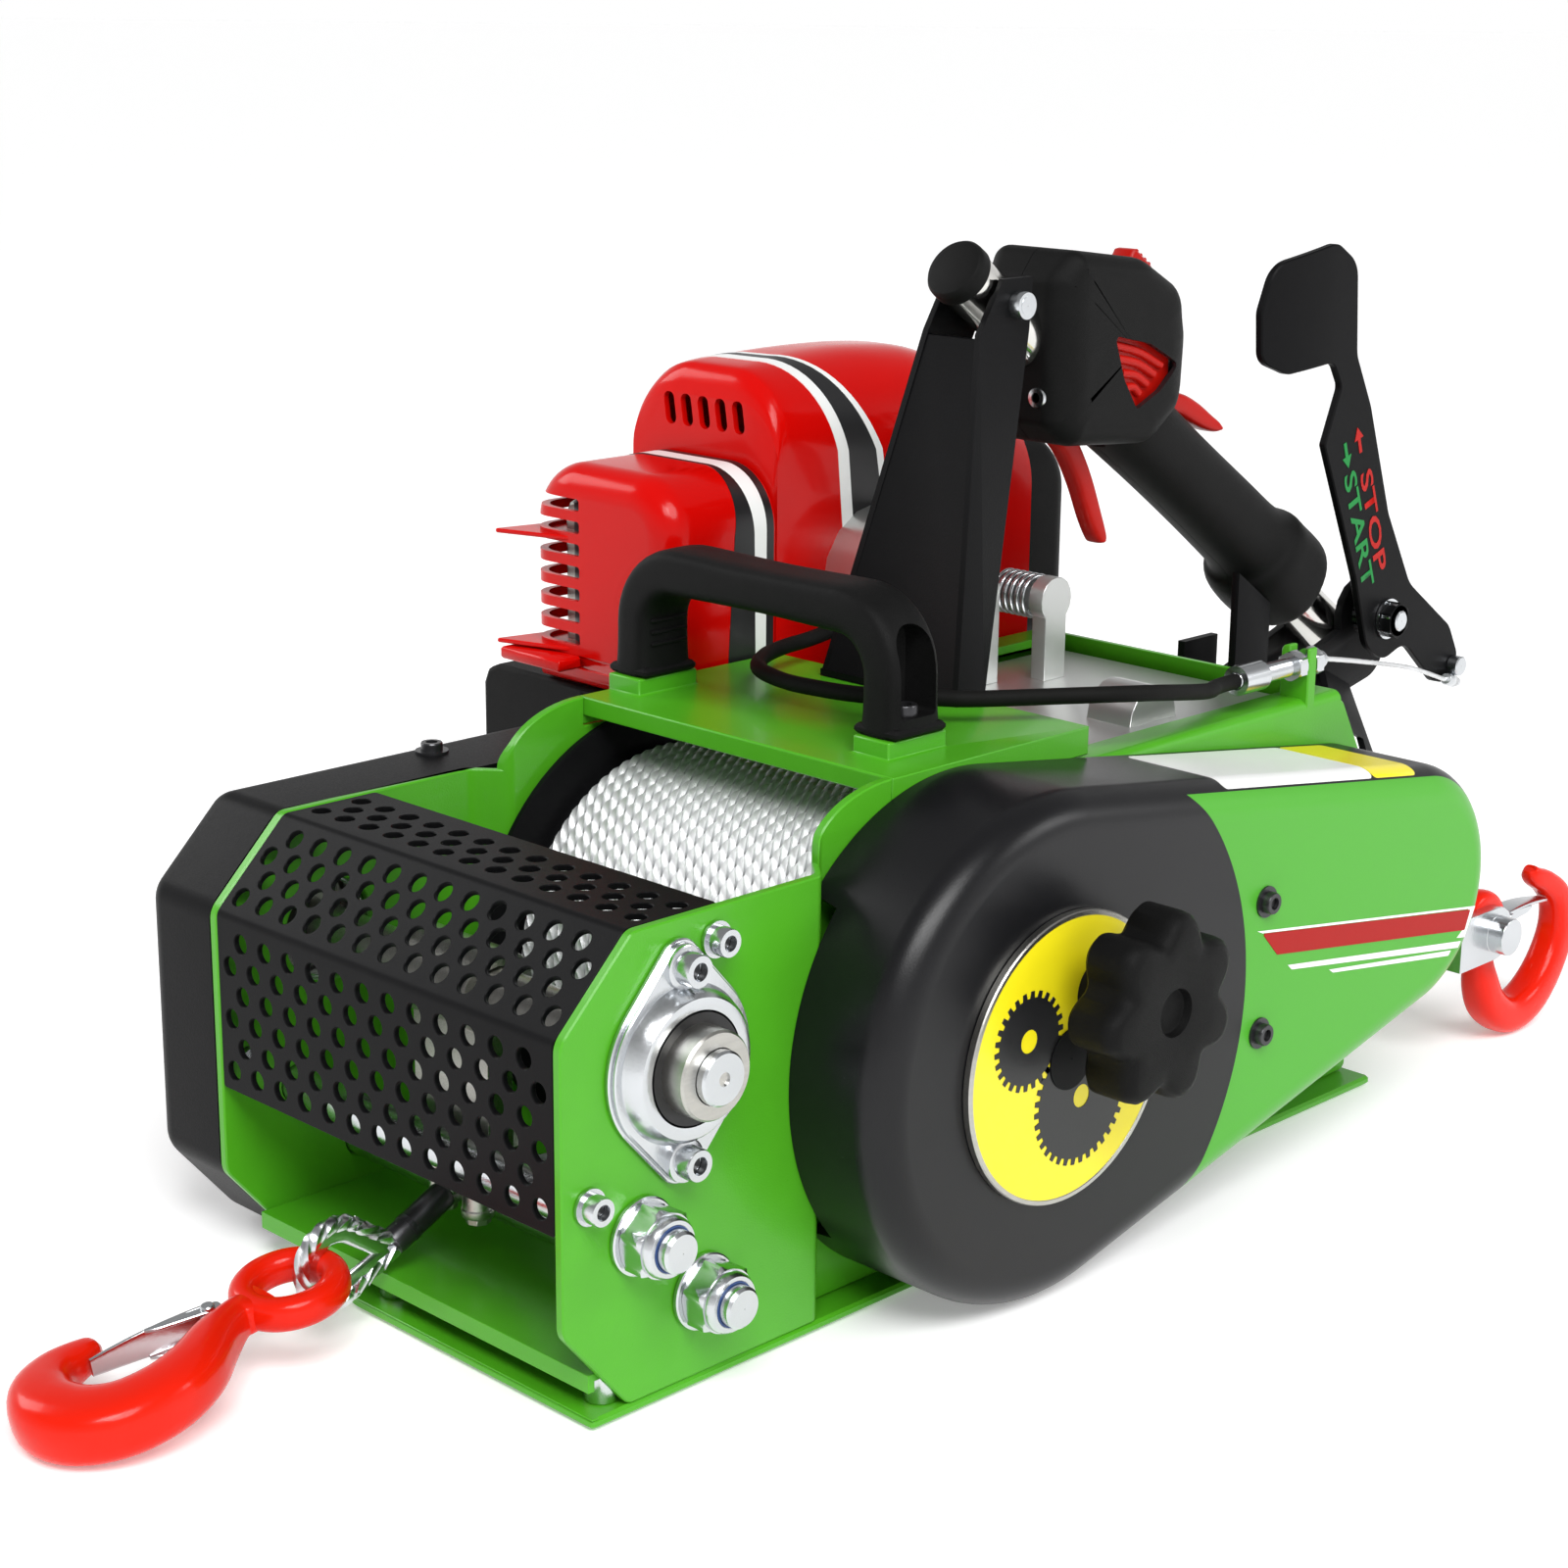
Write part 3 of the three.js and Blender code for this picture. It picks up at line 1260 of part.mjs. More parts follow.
const anchorHeadEnd = cheekNearEnd - anchorBoltHeight;
const anchorHead = rodY(anchorPivotX, anchorPivotZ, anchorHeadEnd, cheekNearEnd, anchorBoltHead, roundSides);
addMesh('anchor_clevis', join(...cheeks, clevisBlock, anchorPin, anchorHead), zinc);

// Perforated guard: three panels over the rope outlet, with hexagonal holes and end tabs
const guardNear = plateSheet + seatGap;
const guardFar = frameWidth - guardNear;
const guardTop = plateTop - seatGap;
const guardLine = [
  [plateFrontX + seatGap, guardLow],
  [plateFrontX + seatGap, plateTop - plateChamferDrop],
  [plateFrontTopX, guardTop],
  [guardRearX, guardTop],
];
const guardInner = inset([...guardLine, [guardRearX, guardLow]], guardSheet).slice(0, guardLine.length);
guardInner[0][1] = guardLow;
guardInner[guardLine.length - 1][0] = guardRearX;
const guardOutline = [...guardLine, ...guardInner.reverse()];
const guardSkin = slab(guardOutline, guardNear, guardFar, alongY);
const guardHoles = [];
for (let panel = 0; panel < guardLine.length - 1; panel += 1) {
  const from = guardLine[panel];
  const to = guardLine[panel + 1];
  const span = Math.hypot(to[0] - from[0], to[1] - from[1]);
  const [ux, uz] = [(to[0] - from[0]) / span, (to[1] - from[1]) / span];
  const rows = Math.ceil((span - guardMargin * 2) / guardAcross);
  const columns = Math.floor((guardFar - guardNear - guardMargin * 2) / guardAlong);
  const firstRow = (span - (rows - 1) * guardAcross) / 2;
  const firstColumn = (guardNear + guardFar - (columns - rowShiftShare) * guardAlong) / 2;
  for (let row = 0; row < rows; row += 1) {
    for (let column = 0; column < columns; column += 1) {
      const along = firstRow + row * guardAcross;
      const y = firstColumn + (column + (row % 2) * rowShiftShare) * guardAlong;
      const [x, z] = [from[0] + ux * along, from[1] + uz * along];
      const reach = guardSheet + cutOverrun;
      const outer = new THREE.Vector3(x - uz * reach, y, z + ux * reach);
      const inner = new THREE.Vector3(x + uz * reach, y, z - ux * reach);
      guardHoles.push(rod(outer, inner, guardHole, hexSides));
    }
  }
}
const guardEnds = [[guardNear, guardNear + guardSheet], [guardFar - guardSheet, guardFar]];
const guardTabs = guardEnds.flatMap(([y0, y1]) => {
  const upper = box(guardRearX - guardTab, guardRearX, y0, y1, guardTop - guardTab, guardTop);
  const lower = box(guardLine[0][0], guardLine[0][0] + guardTab, y0, y1, guardLow, guardLow + guardTab);
  return [upper, lower];
});
addMesh('rope_guard', join(cut(guardSkin, ...guardHoles), ...guardTabs), black);

// Carry handle: an arch of a rounded bar with an open screw pocket in its near leg
const handleX = bossX0 + bossLength / 2;
const nearLegY = bossNearY + bossWidth / 2;
const farLegY = bossFarY + bossWidth / 2;
const handleTop = bossTop + handleRise;
const barZ = handleTop - handleBar / 2;
const bendRadius = handleCorner - handleBar / 2;
const handleLow = bossTop + seatGap;
const bendZ = barZ - bendRadius;
const nearBend = circle(nearLegY + bendRadius, bendZ, bendRadius, cornerSteps * 2, Math.PI, -quarterTurn);
const farBend = circle(farLegY - bendRadius, bendZ, bendRadius, cornerSteps * 2, quarterTurn, -quarterTurn);
const handleOutline = [[nearLegY, handleLow], ...nearBend, ...farBend, [farLegY, handleLow]];
const handlePath = handleOutline.map(([y, z]) => new THREE.Vector3(handleX, y, z));
const upX = new THREE.Vector3(1, 0, 0);
const barSection = roundedRect(-1, 1, -1, 1, barRoundShare);
const handleArch = sweep(handlePath, handleBar / 2, handleWidth / 2, upX, barSection);
const pocketHalf = handleWidth / 2 - pocketWall;
const legNearFace = nearLegY - handleBar / 2;
const pocketLow = handleLow + pocketWall * 2;
const pocketFrom = legNearFace - cutOverrun;
const pocketTo = legNearFace + pocketDepth;
const pocketX0 = handleX - pocketHalf;
const pocketX1 = handleX + pocketHalf;
const pocket = box(pocketX0, pocketX1, pocketFrom, pocketTo, pocketLow, pocketLow + pocketHeight);
addMesh('carry_handle', cut(handleArch, pocket), blackPlastic);

// Handle tube and its direction
const tubeAlong = new THREE.Vector3(Math.cos(tubeSlope), 0, -Math.sin(tubeSlope));
const tubeNormal = new THREE.Vector3(Math.sin(tubeSlope), 0, Math.cos(tubeSlope));
const tubeFront = new THREE.Vector3(tubeFrontX, tubeCentreY, tubeFrontZ);
function onTube(along, lift = 0) {
  return tubeFront.clone().addScaledVector(tubeAlong, along).addScaledVector(tubeNormal, lift);
}
const standBoltPlace = onTube(standBoltAlong);
const tubeBody = rod(onTube(0), onTube(tubeLength), tubeRadius, roundSides);
const [boreFrom, boreTo] = [onTube(-cutOverrun), onTube(tubeLength + cutOverrun)];
const tubeBoreBody = rod(boreFrom, boreTo, tubeRadius - tubeWall, smallSides);
const standCheekInner = tubeRadius + seatGap;
const standCheekOuter = standCheekInner + standSheet;
const boltHole = (radius) => {
  const from = tubeCentreY - standCheekOuter - cutOverrun;
  const to = tubeCentreY + standCheekOuter + cutOverrun;
  return rodY(standBoltPlace.x, standBoltPlace.z, from, to, radius, smallSides);
};
const boltClear = standBoltRadius + seatGap;
addMesh('handle_tube', cut(tubeBody, tubeBoreBody, boltHole(boltClear)), steel);

// Cap over the front end of the tube
const capRadius = tubeRadius + capWall;
const capBody = rod(onTube(-capWall * 2), onTube(capLength), capRadius, roundSides);
const capBore = rod(onTube(-seatGap), onTube(capLength + cutOverrun), tubeRadius + seatGap, roundSides);
addMesh('tube_cap', cut(capBody, capBore), blackPlastic);

// Front stand: a foot, a tapered web and two cheeks that hold the tube
const footNear = tubeCentreY - standFootWidth / 2;
const footFar = tubeCentreY + standFootWidth / 2;
const footLow = topPlateHeight + seatGap;
const footHigh = footLow + standBaseHeight;
const footRear = standFootFront + standFootDepth;
const topNearY = tubeCentreY - standCheekOuter;
const topFarY = tubeCentreY + standCheekOuter;
const quad = (x0, x1, y0, y1, z) => [[x0, y0], [x1, y0], [x1, y1], [x0, y1]].map(([x, y]) => alongZ(x, y, z));
const standFoot = box(standFootFront, footRear, footNear, footFar, footLow, footHigh);
const webLowRing = quad(standFootFront, standFootFront + standSheet, footNear, footFar, footLow);
const webHighRing = quad(standTopFront, standTopFront + standSheet, topNearY, topFarY, standWebTopHeight);
const standWeb = loft([webLowRing, webHighRing]);
const standCheeks = [[footNear, topNearY, 1], [footFar, topFarY, -1]].map(([low, high, way]) => {
  const lowRing = quad(standFootFront, footRear, low, low + way * standSheet, footLow);
  const highX = standTopFront + standTopDepth;
  const [earX0, earX1] = [standBoltPlace.x - standEarHalf, standBoltPlace.x + standEarHalf];
  const topRing = quad(earX0, earX1, high, high + way * standSheet, standCheekTopHeight);
  const bendRing = quad(standTopFront, highX, high, high + way * standSheet, standStraightHeight);
  return loft([lowRing, bendRing, topRing]);
});
const capClear = capRadius + seatGap;
const capRoomBody = rod(onTube(-capLength), onTube(capLength + seatGap), capClear, roundSides);
const stand = cut(join(standFoot, standWeb, ...standCheeks), boltHole(boltClear), capRoomBody);
addMesh('front_stand', stand, black);

// Bolt through the stand's cheeks and the tube
const boltFaceNear = tubeCentreY - standCheekOuter - seatGap;
const boltFaceFar = tubeCentreY + standCheekOuter + seatGap;
const [boltX, boltZ] = [standBoltPlace.x, standBoltPlace.z];
const boltCore = rodY(boltX, boltZ, boltFaceNear, boltFaceFar, standBoltRadius, smallSides);
const [headNearEnd, headFarEnd] = [boltFaceNear - standBoltHeadHeight, boltFaceFar + standBoltHeadHeight];
const headNear = rodY(boltX, boltZ, headNearEnd, boltFaceNear, standBoltHead, hexSides);
const headFar = rodY(boltX, boltZ, boltFaceFar, headFarEnd, standBoltHead, hexSides);
addMesh('stand_bolt', join(boltCore, headNear, headFar), zinc);

// Grip housing in two halves round the tube: a box for the throttle and a slanted grip
const boxOutline = [
  [boxFrontX, boxFrontLowZ],
  [boxFrontX, boxTopZ - boxEdge],
  [boxFrontX + boxEdge, boxTopZ],
  [boxTopRearX, boxTopRearZ],
  [boxSlopeX, boxSlopeZ],
  [boxNoseX, boxNoseZ],
  [boxHeelX, boxHeelZ],
  [boxLowX, boxLowZ],
  [boxFrontX + boxEdge, boxFrontLowZ - boxEdge],
];
const boxShape = (less) => inset(boxOutline, less);
const boxNear = pressed(boxShape, tubeCentreY, tubeCentreY - boxHalfWidth, boxEdge, alongY);
const boxFar = pressed(boxShape, tubeCentreY, tubeCentreY + boxHalfWidth, boxEdge, alongY);
const gripCollarShare = 1.14;
const gripShares = [
  [0.3, 1.05],
  [0.45, 0.98],
  [0.6, 0.95],
  [0.8, 0.95],
  [0.94, 1],
  [0.96, gripCollarShare],
  [1, gripCollarShare],
];
const gripPath = gripShares.map(([share]) => onTube(gripEndAlong * share, gripLift));
const gripRadii = gripShares.map(([, share]) => gripRadius * share);
const gripBar = sweep(gripPath, gripRadii, gripRadii, upY, circle(0, 0, 1, smallSides + cornerSteps));
const gripBore = rod(onTube(0), onTube(tubeLength), tubeRadius + gripGap, roundSides);
const slotHalfWidth = triggerWidth / 2 + triggerSlotGap;
const slotLow = boxLowZ - boxEdge;
const slotX0 = triggerPivotX - triggerThickness;
const slotX1 = triggerPivotX + triggerReach * slotShare;
const slotY0 = tubeCentreY - slotHalfWidth;
const slotY1 = tubeCentreY + slotHalfWidth;
const triggerSlot = box(slotX0, slotX1, slotY0, slotY1, slotLow, triggerPivotZ + triggerThickness);
const pinReach = triggerWidth;
const pinY0 = tubeCentreY - pinReach;
const pinY1 = tubeCentreY + pinReach;
const pinHoleRadius = triggerPinRadius + seatGap;
const pinHoleY0 = pinY0 - seatGap;
const pinHoleY1 = pinY1 + seatGap;
const triggerPinHole = rodY(triggerPivotX, triggerPivotZ, pinHoleY0, pinHoleY1, pinHoleRadius, smallSides);
const buttonTop = boxTopRearZ - buttonProud;
const buttonLow = buttonTop - buttonDepth - buttonProud;
const buttonRoom = buttonRadius + runningGap;
const buttonHole = rodZ(buttonX, tubeCentreY, buttonLow, boxTopRearZ + cutOverrun, buttonRoom, roundSides);
const lockHalf = lockWidth / 2 + runningGap;
const lockLift = gripLift + gripRadius - lockThickness;
const lockRing = (along, half, low, high) => {
  const corners = [[half, low], [half, high], [-half, high], [-half, low]];
  return corners.map(([side, lift]) => {
    const point = onTube(along, lift);
    point.y += side;
    return point;
  });
};
const lockFrom = lockAlong;
const lockTo = lockAlong + lockLength;
const lockSlotHigh = lockLift + lockThickness * 6;
const lockFloor = lockLift - lockDrop - runningGap;
const lockSlotFrom = lockRing(lockFrom - runningGap, lockHalf, lockFloor, lockSlotHigh);
const lockSlotTo = lockRing(lockTo + runningGap, lockHalf, lockFloor, lockSlotHigh);
const lockSlot = loft([lockSlotFrom, lockSlotTo]);
const switchFace = tubeCentreY - boxHalfWidth;
const switchX0 = switchX - switchLength / 2;
const switchX1 = switchX + switchLength / 2;
const switchZ0 = switchZ - switchHeight / 2;
const switchZ1 = switchZ + switchHeight / 2;
const pocketX2 = switchX0 - switchTravel - runningGap;
const pocketX3 = switchX1 + switchTravel + runningGap;
const switchFloor = switchFace + switchDepth + runningGap;
const pocketZ0 = switchZ0 - runningGap;
const pocketZ1 = switchZ1 + runningGap;
const switchPocket = box(pocketX2, pocketX3, switchFace - cutOverrun, switchFloor, pocketZ0, pocketZ1);
const housingCuts = [gripBore, triggerSlot, triggerPinHole, buttonHole, lockSlot];
const housing = cut(join(boxNear, boxFar, gripBar), ...housingCuts);
const roomSize = baseLength * 2;
const halfRoom = (y0, y1) => box(0, roomSize, y0, y1, 0, roomSize);
const nearHalf = halfRoom(0, tubeCentreY - gripGap / 2);
const farHalf = halfRoom(tubeCentreY + gripGap / 2, frameWidth * 2);
addMesh('grip_shell_near', cut(housing.intersect(nearHalf), switchPocket), blackPlastic);
addMesh('grip_shell_far', housing.intersect(farHalf), blackPlastic);

// Throttle trigger on its pin, curved down from the housing
const triggerShares = [
  [0, 0, 0.5],
  [0.22, -0.2, 0.48],
  [0.4, -0.47, 0.46],
  [0.55, -0.78, 0.42],
  [0.67, -0.98, 0.3],
];
const triggerPath = triggerShares.map(([u, v]) => {
  return new THREE.Vector3(triggerPivotX + u * triggerReach, tubeCentreY, triggerPivotZ + v * triggerReach);
});
const triggerHalf = triggerShares.map((row) => row[2] * triggerThickness);
const triggerBar = sweep(triggerPath, triggerHalf, triggerWidth / 2, upY, barSection);
const triggerPin = rodY(triggerPivotX, triggerPivotZ, pinY0, pinY1, triggerPinRadius, smallSides);
addMesh('throttle_trigger', join(triggerBar, triggerPin), red);

// Throttle lock, stop switch and half throttle button
const lockHalfBody = lockWidth / 2;
const lockRise = lockLift + lockThickness;
const lockMiddle = (lockFrom + lockTo) / 2;
const lockRings = [
  lockRing(lockFrom, lockHalfBody, lockLift, lockRise),
  lockRing(lockMiddle, lockHalfBody, lockLift, lockRise + lockCrest / 2),
  lockRing(lockTo, lockHalfBody, lockLift, lockRise + lockCrest),
];
addMesh('throttle_lock', loft(lockRings), red);
const switchBack = switchFace + switchDepth;
const switchBody = box(switchX0, switchX1, switchFace - switchProud, switchBack, switchZ0, switchZ1);
addMesh('stop_switch', switchBody, red);
const buttonBase = buttonLow + runningGap + switchTravel;
const buttonFace = boxTopRearZ + buttonProud / 2;
const buttonBody = rodZ(buttonX, tubeCentreY, buttonBase, buttonFace, buttonRadius, roundSides);
addMesh('half_throttle_button', buttonBody, red);

// Rear bracket: two cheeks on a foot, an arm to the head that holds the tube, and a slotted brace leg
const cheekHalf = tubeRadius + seatGap;
const nearCheekIn = tubeCentreY - cheekHalf;
const nearCheekOut = nearCheekIn - bracketSheet;
const farCheekIn = tubeCentreY + cheekHalf;
const farCheekOut = farCheekIn + bracketSheet;
const footX0 = plateRearX + seatGap;
const footX1 = footX0 + bracketSheet;
const bracketFootHigh = rearShoulderHeight - bracketSheet;
const bracketFootLow = bracketFootHigh - bracketFootHeight;
const postRear = bracketPostFront + bracketPostDepth;
const underGrip = (x) => {
  const axisZ = onTube((x - tubeFrontX) / Math.cos(tubeSlope)).z;
  return axisZ + (gripLift - gripRadius * gripCollarShare - runningGap * 2) / Math.cos(tubeSlope);
};
const tubeEnd = onTube(tubeLength);
const headX = tubeEnd.x;
const headZ = tubeEnd.z;
const postOutline = [
  [footX0, bracketFootLow],
  [footX0, bracketFootHigh],
  [bracketPostFront, bracketFootHigh + bracketPostDepth],
  [bracketPostFront, underGrip(bracketPostFront)],
  [postRear, underGrip(postRear)],
  [postRear, bracketFootLow + bracketPostDepth],
];
const armX = postRear - bracketBarDepth / 2;
const barHalf = bracketBarDepth / 2;
const armOutline = beltOutline(armX, rearShoulderHeight, barHalf, headX, headZ, bracketHeadRadius);
const hubRadius = leverHubRadius - runningGap;
const headOutline = beltOutline(headX, headZ, bracketHeadRadius, bracketHeadX, bracketHeadZ, hubRadius);
const bracketCheeks = [[nearCheekOut, nearCheekIn], [farCheekIn, farCheekOut]].map(([y0, y1]) => {
  const parts = [postOutline, armOutline].map((outline) => slab(outline, y0, y1, alongY));
  return join(...parts);
});
const nearHead = slab(headOutline, nearCheekOut, nearCheekIn, alongY);
const bracketFoot = box(footX0, footX1, nearCheekOut, farCheekOut, bracketFootLow, bracketFootHigh);
const bridgeZ = rearShoulderHeight + bracketSheet;
const [spanY0, spanY1] = [nearCheekIn - cutOverrun, farCheekIn + cutOverrun];
const bridge = box(bracketPostFront, postRear, spanY0, spanY1, rearShoulderHeight, bridgeZ);
const stopX0 = headX + tubeRadius * Math.sin(tubeSlope) + seatGap;
const stopX1 = headX + bracketHeadRadius - bracketSheet / 2;
const headStop = box(stopX0, stopX1, spanY0, spanY1, headZ - bracketSheet, headZ + bracketSheet);
const sleeveEnd = leverY + leverSheet + seatGap;
const sleeve = rodY(bracketHeadX, bracketHeadZ, sleeveEnd, nearCheekOut, leverBoltHead, roundSides);
const leverBoltEnd = leverY - seatGap;
const leverBolt = rodY(bracketHeadX, bracketHeadZ, leverBoltEnd, nearCheekOut, leverBoltRadius, roundSides);
const leverBoltTip = leverBoltEnd - leverBoltHeight;
const leverBoltCap = rodY(bracketHeadX, bracketHeadZ, leverBoltTip, leverBoltEnd, leverBoltHead, hexSides);
const legFootY = innerPlateFace + legOffset;
const legLow = bracketFootHigh - legTopWidth;
function legRing(share, width, thickness) {
  const mix = (from, to) => from + (to - from) * share;
  const x = mix(headX - legTopWidth - bracketSheet, footX1 + legFootWidth / 2);
  const y = mix(nearCheekOut, legFootY);
  const z = mix(headZ - legTopWidth / 2, legLow);
  const half = mix(legTopWidth, width) / 2;
  const fall = half / 2;
  return [
    new THREE.Vector3(x - half, y - thickness, z + fall),
    new THREE.Vector3(x + half, y - thickness, z - fall),
    new THREE.Vector3(x + half, y + thickness, z - fall),
    new THREE.Vector3(x - half, y + thickness, z + fall),
  ];
}
const halfSheet = bracketSheet / 2;
const leg = loft([legRing(0, legFootWidth, halfSheet), legRing(1, legFootWidth, halfSheet)]);
const legSlot = loft(legSlotShares.map((share) => legRing(share, legSlotWidth, bracketSheet * 2)));
const legFootY0 = rearNear + seatGap;
const legFootX = footX1 + bracketSheet;
const legFootHigh = legLow + legTopWidth;
const legFoot = box(footX0, legFootX, legFootY0, legFootY + bracketSheet, bracketFootLow, legFootHigh);
const bracketParts = [...bracketCheeks, nearHead, bracketFoot, bridge, headStop, cut(leg, legSlot), legFoot];
addMesh('rear_bracket', join(...bracketParts, sleeve, leverBolt, leverBoltCap), black);

// Clutch lever: a cam plate, an arm and a broad paddle
const leverY1 = leverY + leverSheet;
function leverBar(fromRadius, x, z, radius) {
  return beltOutline(bracketHeadX, bracketHeadZ, fromRadius, x, z, radius);
}
const camOutline = leverBar(leverHubRadius, leverCamX, leverCamZ, leverCamRadius);
const armTop = leverBar(leverRootRadius, leverNeckX, leverNeckZ, leverNeckRadius);
const paddleShares = [
  [0.16, 0.1],
  [0.16, 0.75],
  [0.05, 1],
  [-0.5, 1.06],
  [-0.95, 0.88],
  [-1.07, 0.6],
  [-1.02, 0.02],
  [-0.85, -0.08],
  [-0.38, 0.02],
  [0.05, -0.05],
];
const paddleOutline = paddleShares.map(([u, v]) => {
  return [leverNeckX + u * paddleWidth, leverNeckZ + v * paddleHeight];
});
const leverOutlines = [camOutline, armTop, paddleOutline];
const leverPlates = leverOutlines.map((outline) => slab(outline, leverY, leverY1, alongY));
const [leverFrom, leverTo] = [leverY - cutOverrun, leverY1 + cutOverrun];
const leverRoom = leverBoltRadius + seatGap;
const leverBore = rodY(bracketHeadX, bracketHeadZ, leverFrom, leverTo, leverRoom, roundSides);
const clampY0 = leverY - clampLength / 2;
const clampBody = rodY(clampX, clampZ, clampY0, clampY0 + clampLength, clampRadius, smallSides);
const clampArm = beltOutline(leverCamX, leverCamZ, leverCamRadius / 2, clampX, clampZ, clampRadius);
const clampPlate = slab(clampArm, leverY, leverY1, alongY);
addMesh('clutch_lever', cut(join(...leverPlates, clampBody, clampPlate), leverBore), black);

// Cable adjuster through the tab, held by two nuts
const barrelRear = tabRear + barrelRearLength;
const nutFront = tabFront - seatGap;
const nutRear = tabRear + seatGap;
const barrelCore = rodX(barrelY, barrelZ, barrelFrontX, barrelRear, barrelRadius, smallSides);
const nutA = rodX(barrelY, barrelZ, nutFront - barrelNutLength, nutFront, barrelNutRadius, hexSides);
const nutB = rodX(barrelY, barrelZ, nutRear, nutRear + barrelNutLength, barrelNutRadius, hexSides);
const sleeveNutEnd = barrelFrontX + barrelNutLength * 3;
const sleeveNutRadius = barrelNutRadius - runningGap;
const sleeveNut = rodX(barrelY, barrelZ, barrelFrontX, sleeveNutEnd, sleeveNutRadius, hexSides);
addMesh('adjuster_barrel', join(barrelCore, nutA, nutB, sleeveNut), zinc);

// Clutch cable: the sheath over the top plate and the bare wire to the lever
function cable(points, radius, steps, sides) {
  const curve = new THREE.CatmullRomCurve3(points.map(([x, y, z]) => new THREE.Vector3(x, y, z)));
  const shape = outlineShape(circle(0, 0, radius, sides));
  return solid(new THREE.ExtrudeGeometry(shape, { steps, extrudePath: curve }));
}
// Shares of the route's reach forwards, its spread across and its rise, from the barrel on
const routeShares = [
  [0.045, 0, 0],
  [0.097, -0.013, 0.036],
  [0.185, -0.047, 0.143],
  [0.418, -0.067, 0.357],
  [0.581, 0, 0.5],
  [0.796, 0.174, 0.5],
  [0.86, 0.255, 0.5],
  [0.965, 0.416, 0.5],
  [1, 0.57, 0.5],
  [1, 0.691, 0.5],
  [0.953, 0.832, 0.5],
  [0.854, 0.926, 0.5],
  [0.744, 0.973, 0.5],
  [0.639, 0.993, 0.5],
  [0.54, 1, 0.643],
  [0.441, 1, 1],
];
const routeSpread = frameWidth - routeFarInset - barrelY;
const routePoints = routeShares.map(([back, across, up]) => {
  return [barrelFrontX - back * routeReach, barrelY + across * routeSpread, barrelZ + up * routeRise];
});
const sheathPoints = [[barrelFrontX - seatGap * 2, barrelY, barrelZ], ...routePoints];
addMesh('cable_sheath', cable(sheathPoints, sheathRadius, sheathSteps, cableSides), blackPlastic);
const wireEndX = clampX - clampRadius - seatGap * 2;
const wireStart = [barrelRear + seatGap, barrelY, barrelZ];
const wireEnd = [wireEndX, leverY - leverSheet / 2, clampZ];
const wireShares = [[0, 0, 0], [0.264, 0.25, 0.231], [0.672, 0.679, 0.615], [1, 1, 1]];
const wirePoints = wireShares.map((row) => {
  return row.map((share, axis) => wireStart[axis] + share * (wireEnd[axis] - wireStart[axis]));
});
addMesh('cable_wire', cable(wirePoints, wireRadius, wireSteps, cableSides), zinc);

// Gearbox housing between the plates, with the clutch bell and the plunger of the tension spring
const gearNear = gearboxInset;
const gearFar = frameWidth - gearboxInset;
const gearOutline = roundedRect(gearboxFront, gearboxRear, gearboxLow, gearboxTop, gearboxEdge);
const gearBody = slab(gearOutline, gearNear, gearFar, alongY);
const gearBossNear = innerPlateFace + seatGap;
const gearBoss = rodY(driveX, driveZ, gearBossNear, gearNear + cutOverrun, driveShaftRadius * 2, roundSides);
const outputBore = rodY(driveX, driveZ, 0, driveInnerEnd + seatGap, driveShaftRadius + seatGap, roundSides);
const neckX0 = bellX - neckWidth / 2;
const neck = box(neckX0, neckX0 + neckWidth, gearFar - neckDepth, gearFar, gearboxTop - gearboxEdge, bellZ);
const bellY1 = engineNear + blockInset - seatGap;
const bell = rodY(bellX, bellZ, bellY1 - bellLength, bellY1, bellRadius, roundSides);
const lug = rodY(lugX, gearboxTop, lugY, lugY + lugLength, lugRadius, roundSides);
const plungerY0 = engineNear - plungerLength;
const plunger = rodY(springX, springZ, plungerY0, bellY1, plungerRadius, smallSides);
const plungerCap = rodY(springX, springZ, plungerY0 - plungerHeadLength, plungerY0, plungerHead, roundSides);
const postX0 = springX - plungerRadius;
const postX1 = springX + plungerRadius;
const post = box(postX0, postX1, plungerY0 - plungerHeadLength, plungerY0, gearboxTop - gearboxEdge, springZ);
const gearbox = join(gearBody, gearBoss, neck, bell, lug, plunger, plungerCap, post);
addMesh('gearbox_housing', cut(gearbox, outputBore), cast);

// Tension spring: one unbroken wire round the plunger
const springStart = plungerY0 + springWire;
const springTurns = springCurls * springSteps;
const springCentres = [];
for (let i = 0; i <= springTurns; i += 1) {
  const angle = (i / springSteps) * Math.PI * 2;
  const x = springX + springRadius * Math.cos(angle);
  const z = springZ + springRadius * Math.sin(angle);
  springCentres.push(new THREE.Vector3(x, springStart + (springPitch * i) / springSteps, z));
}
const springLead = springCentres[0].clone().sub(springCentres[1]).setLength(springWire);
const springLast = springCentres[springTurns].clone();
const springTail = springLast.clone().sub(springCentres[springTurns - 1]).setLength(springWire);
springCentres.unshift(springCentres[0].clone().add(springLead));
springCentres.push(springLast.add(springTail));
const springSection = circle(0, 0, 1, springSides);
const wireHalf = springWire / 2;
addMesh('tension_spring', sweep(springCentres, wireHalf, wireHalf, windAxis, springSection), zinc);
const curlGap = springPitch - springWire;
console.log(`least gap between spring curls ${curlGap.toFixed(2)} mm`);

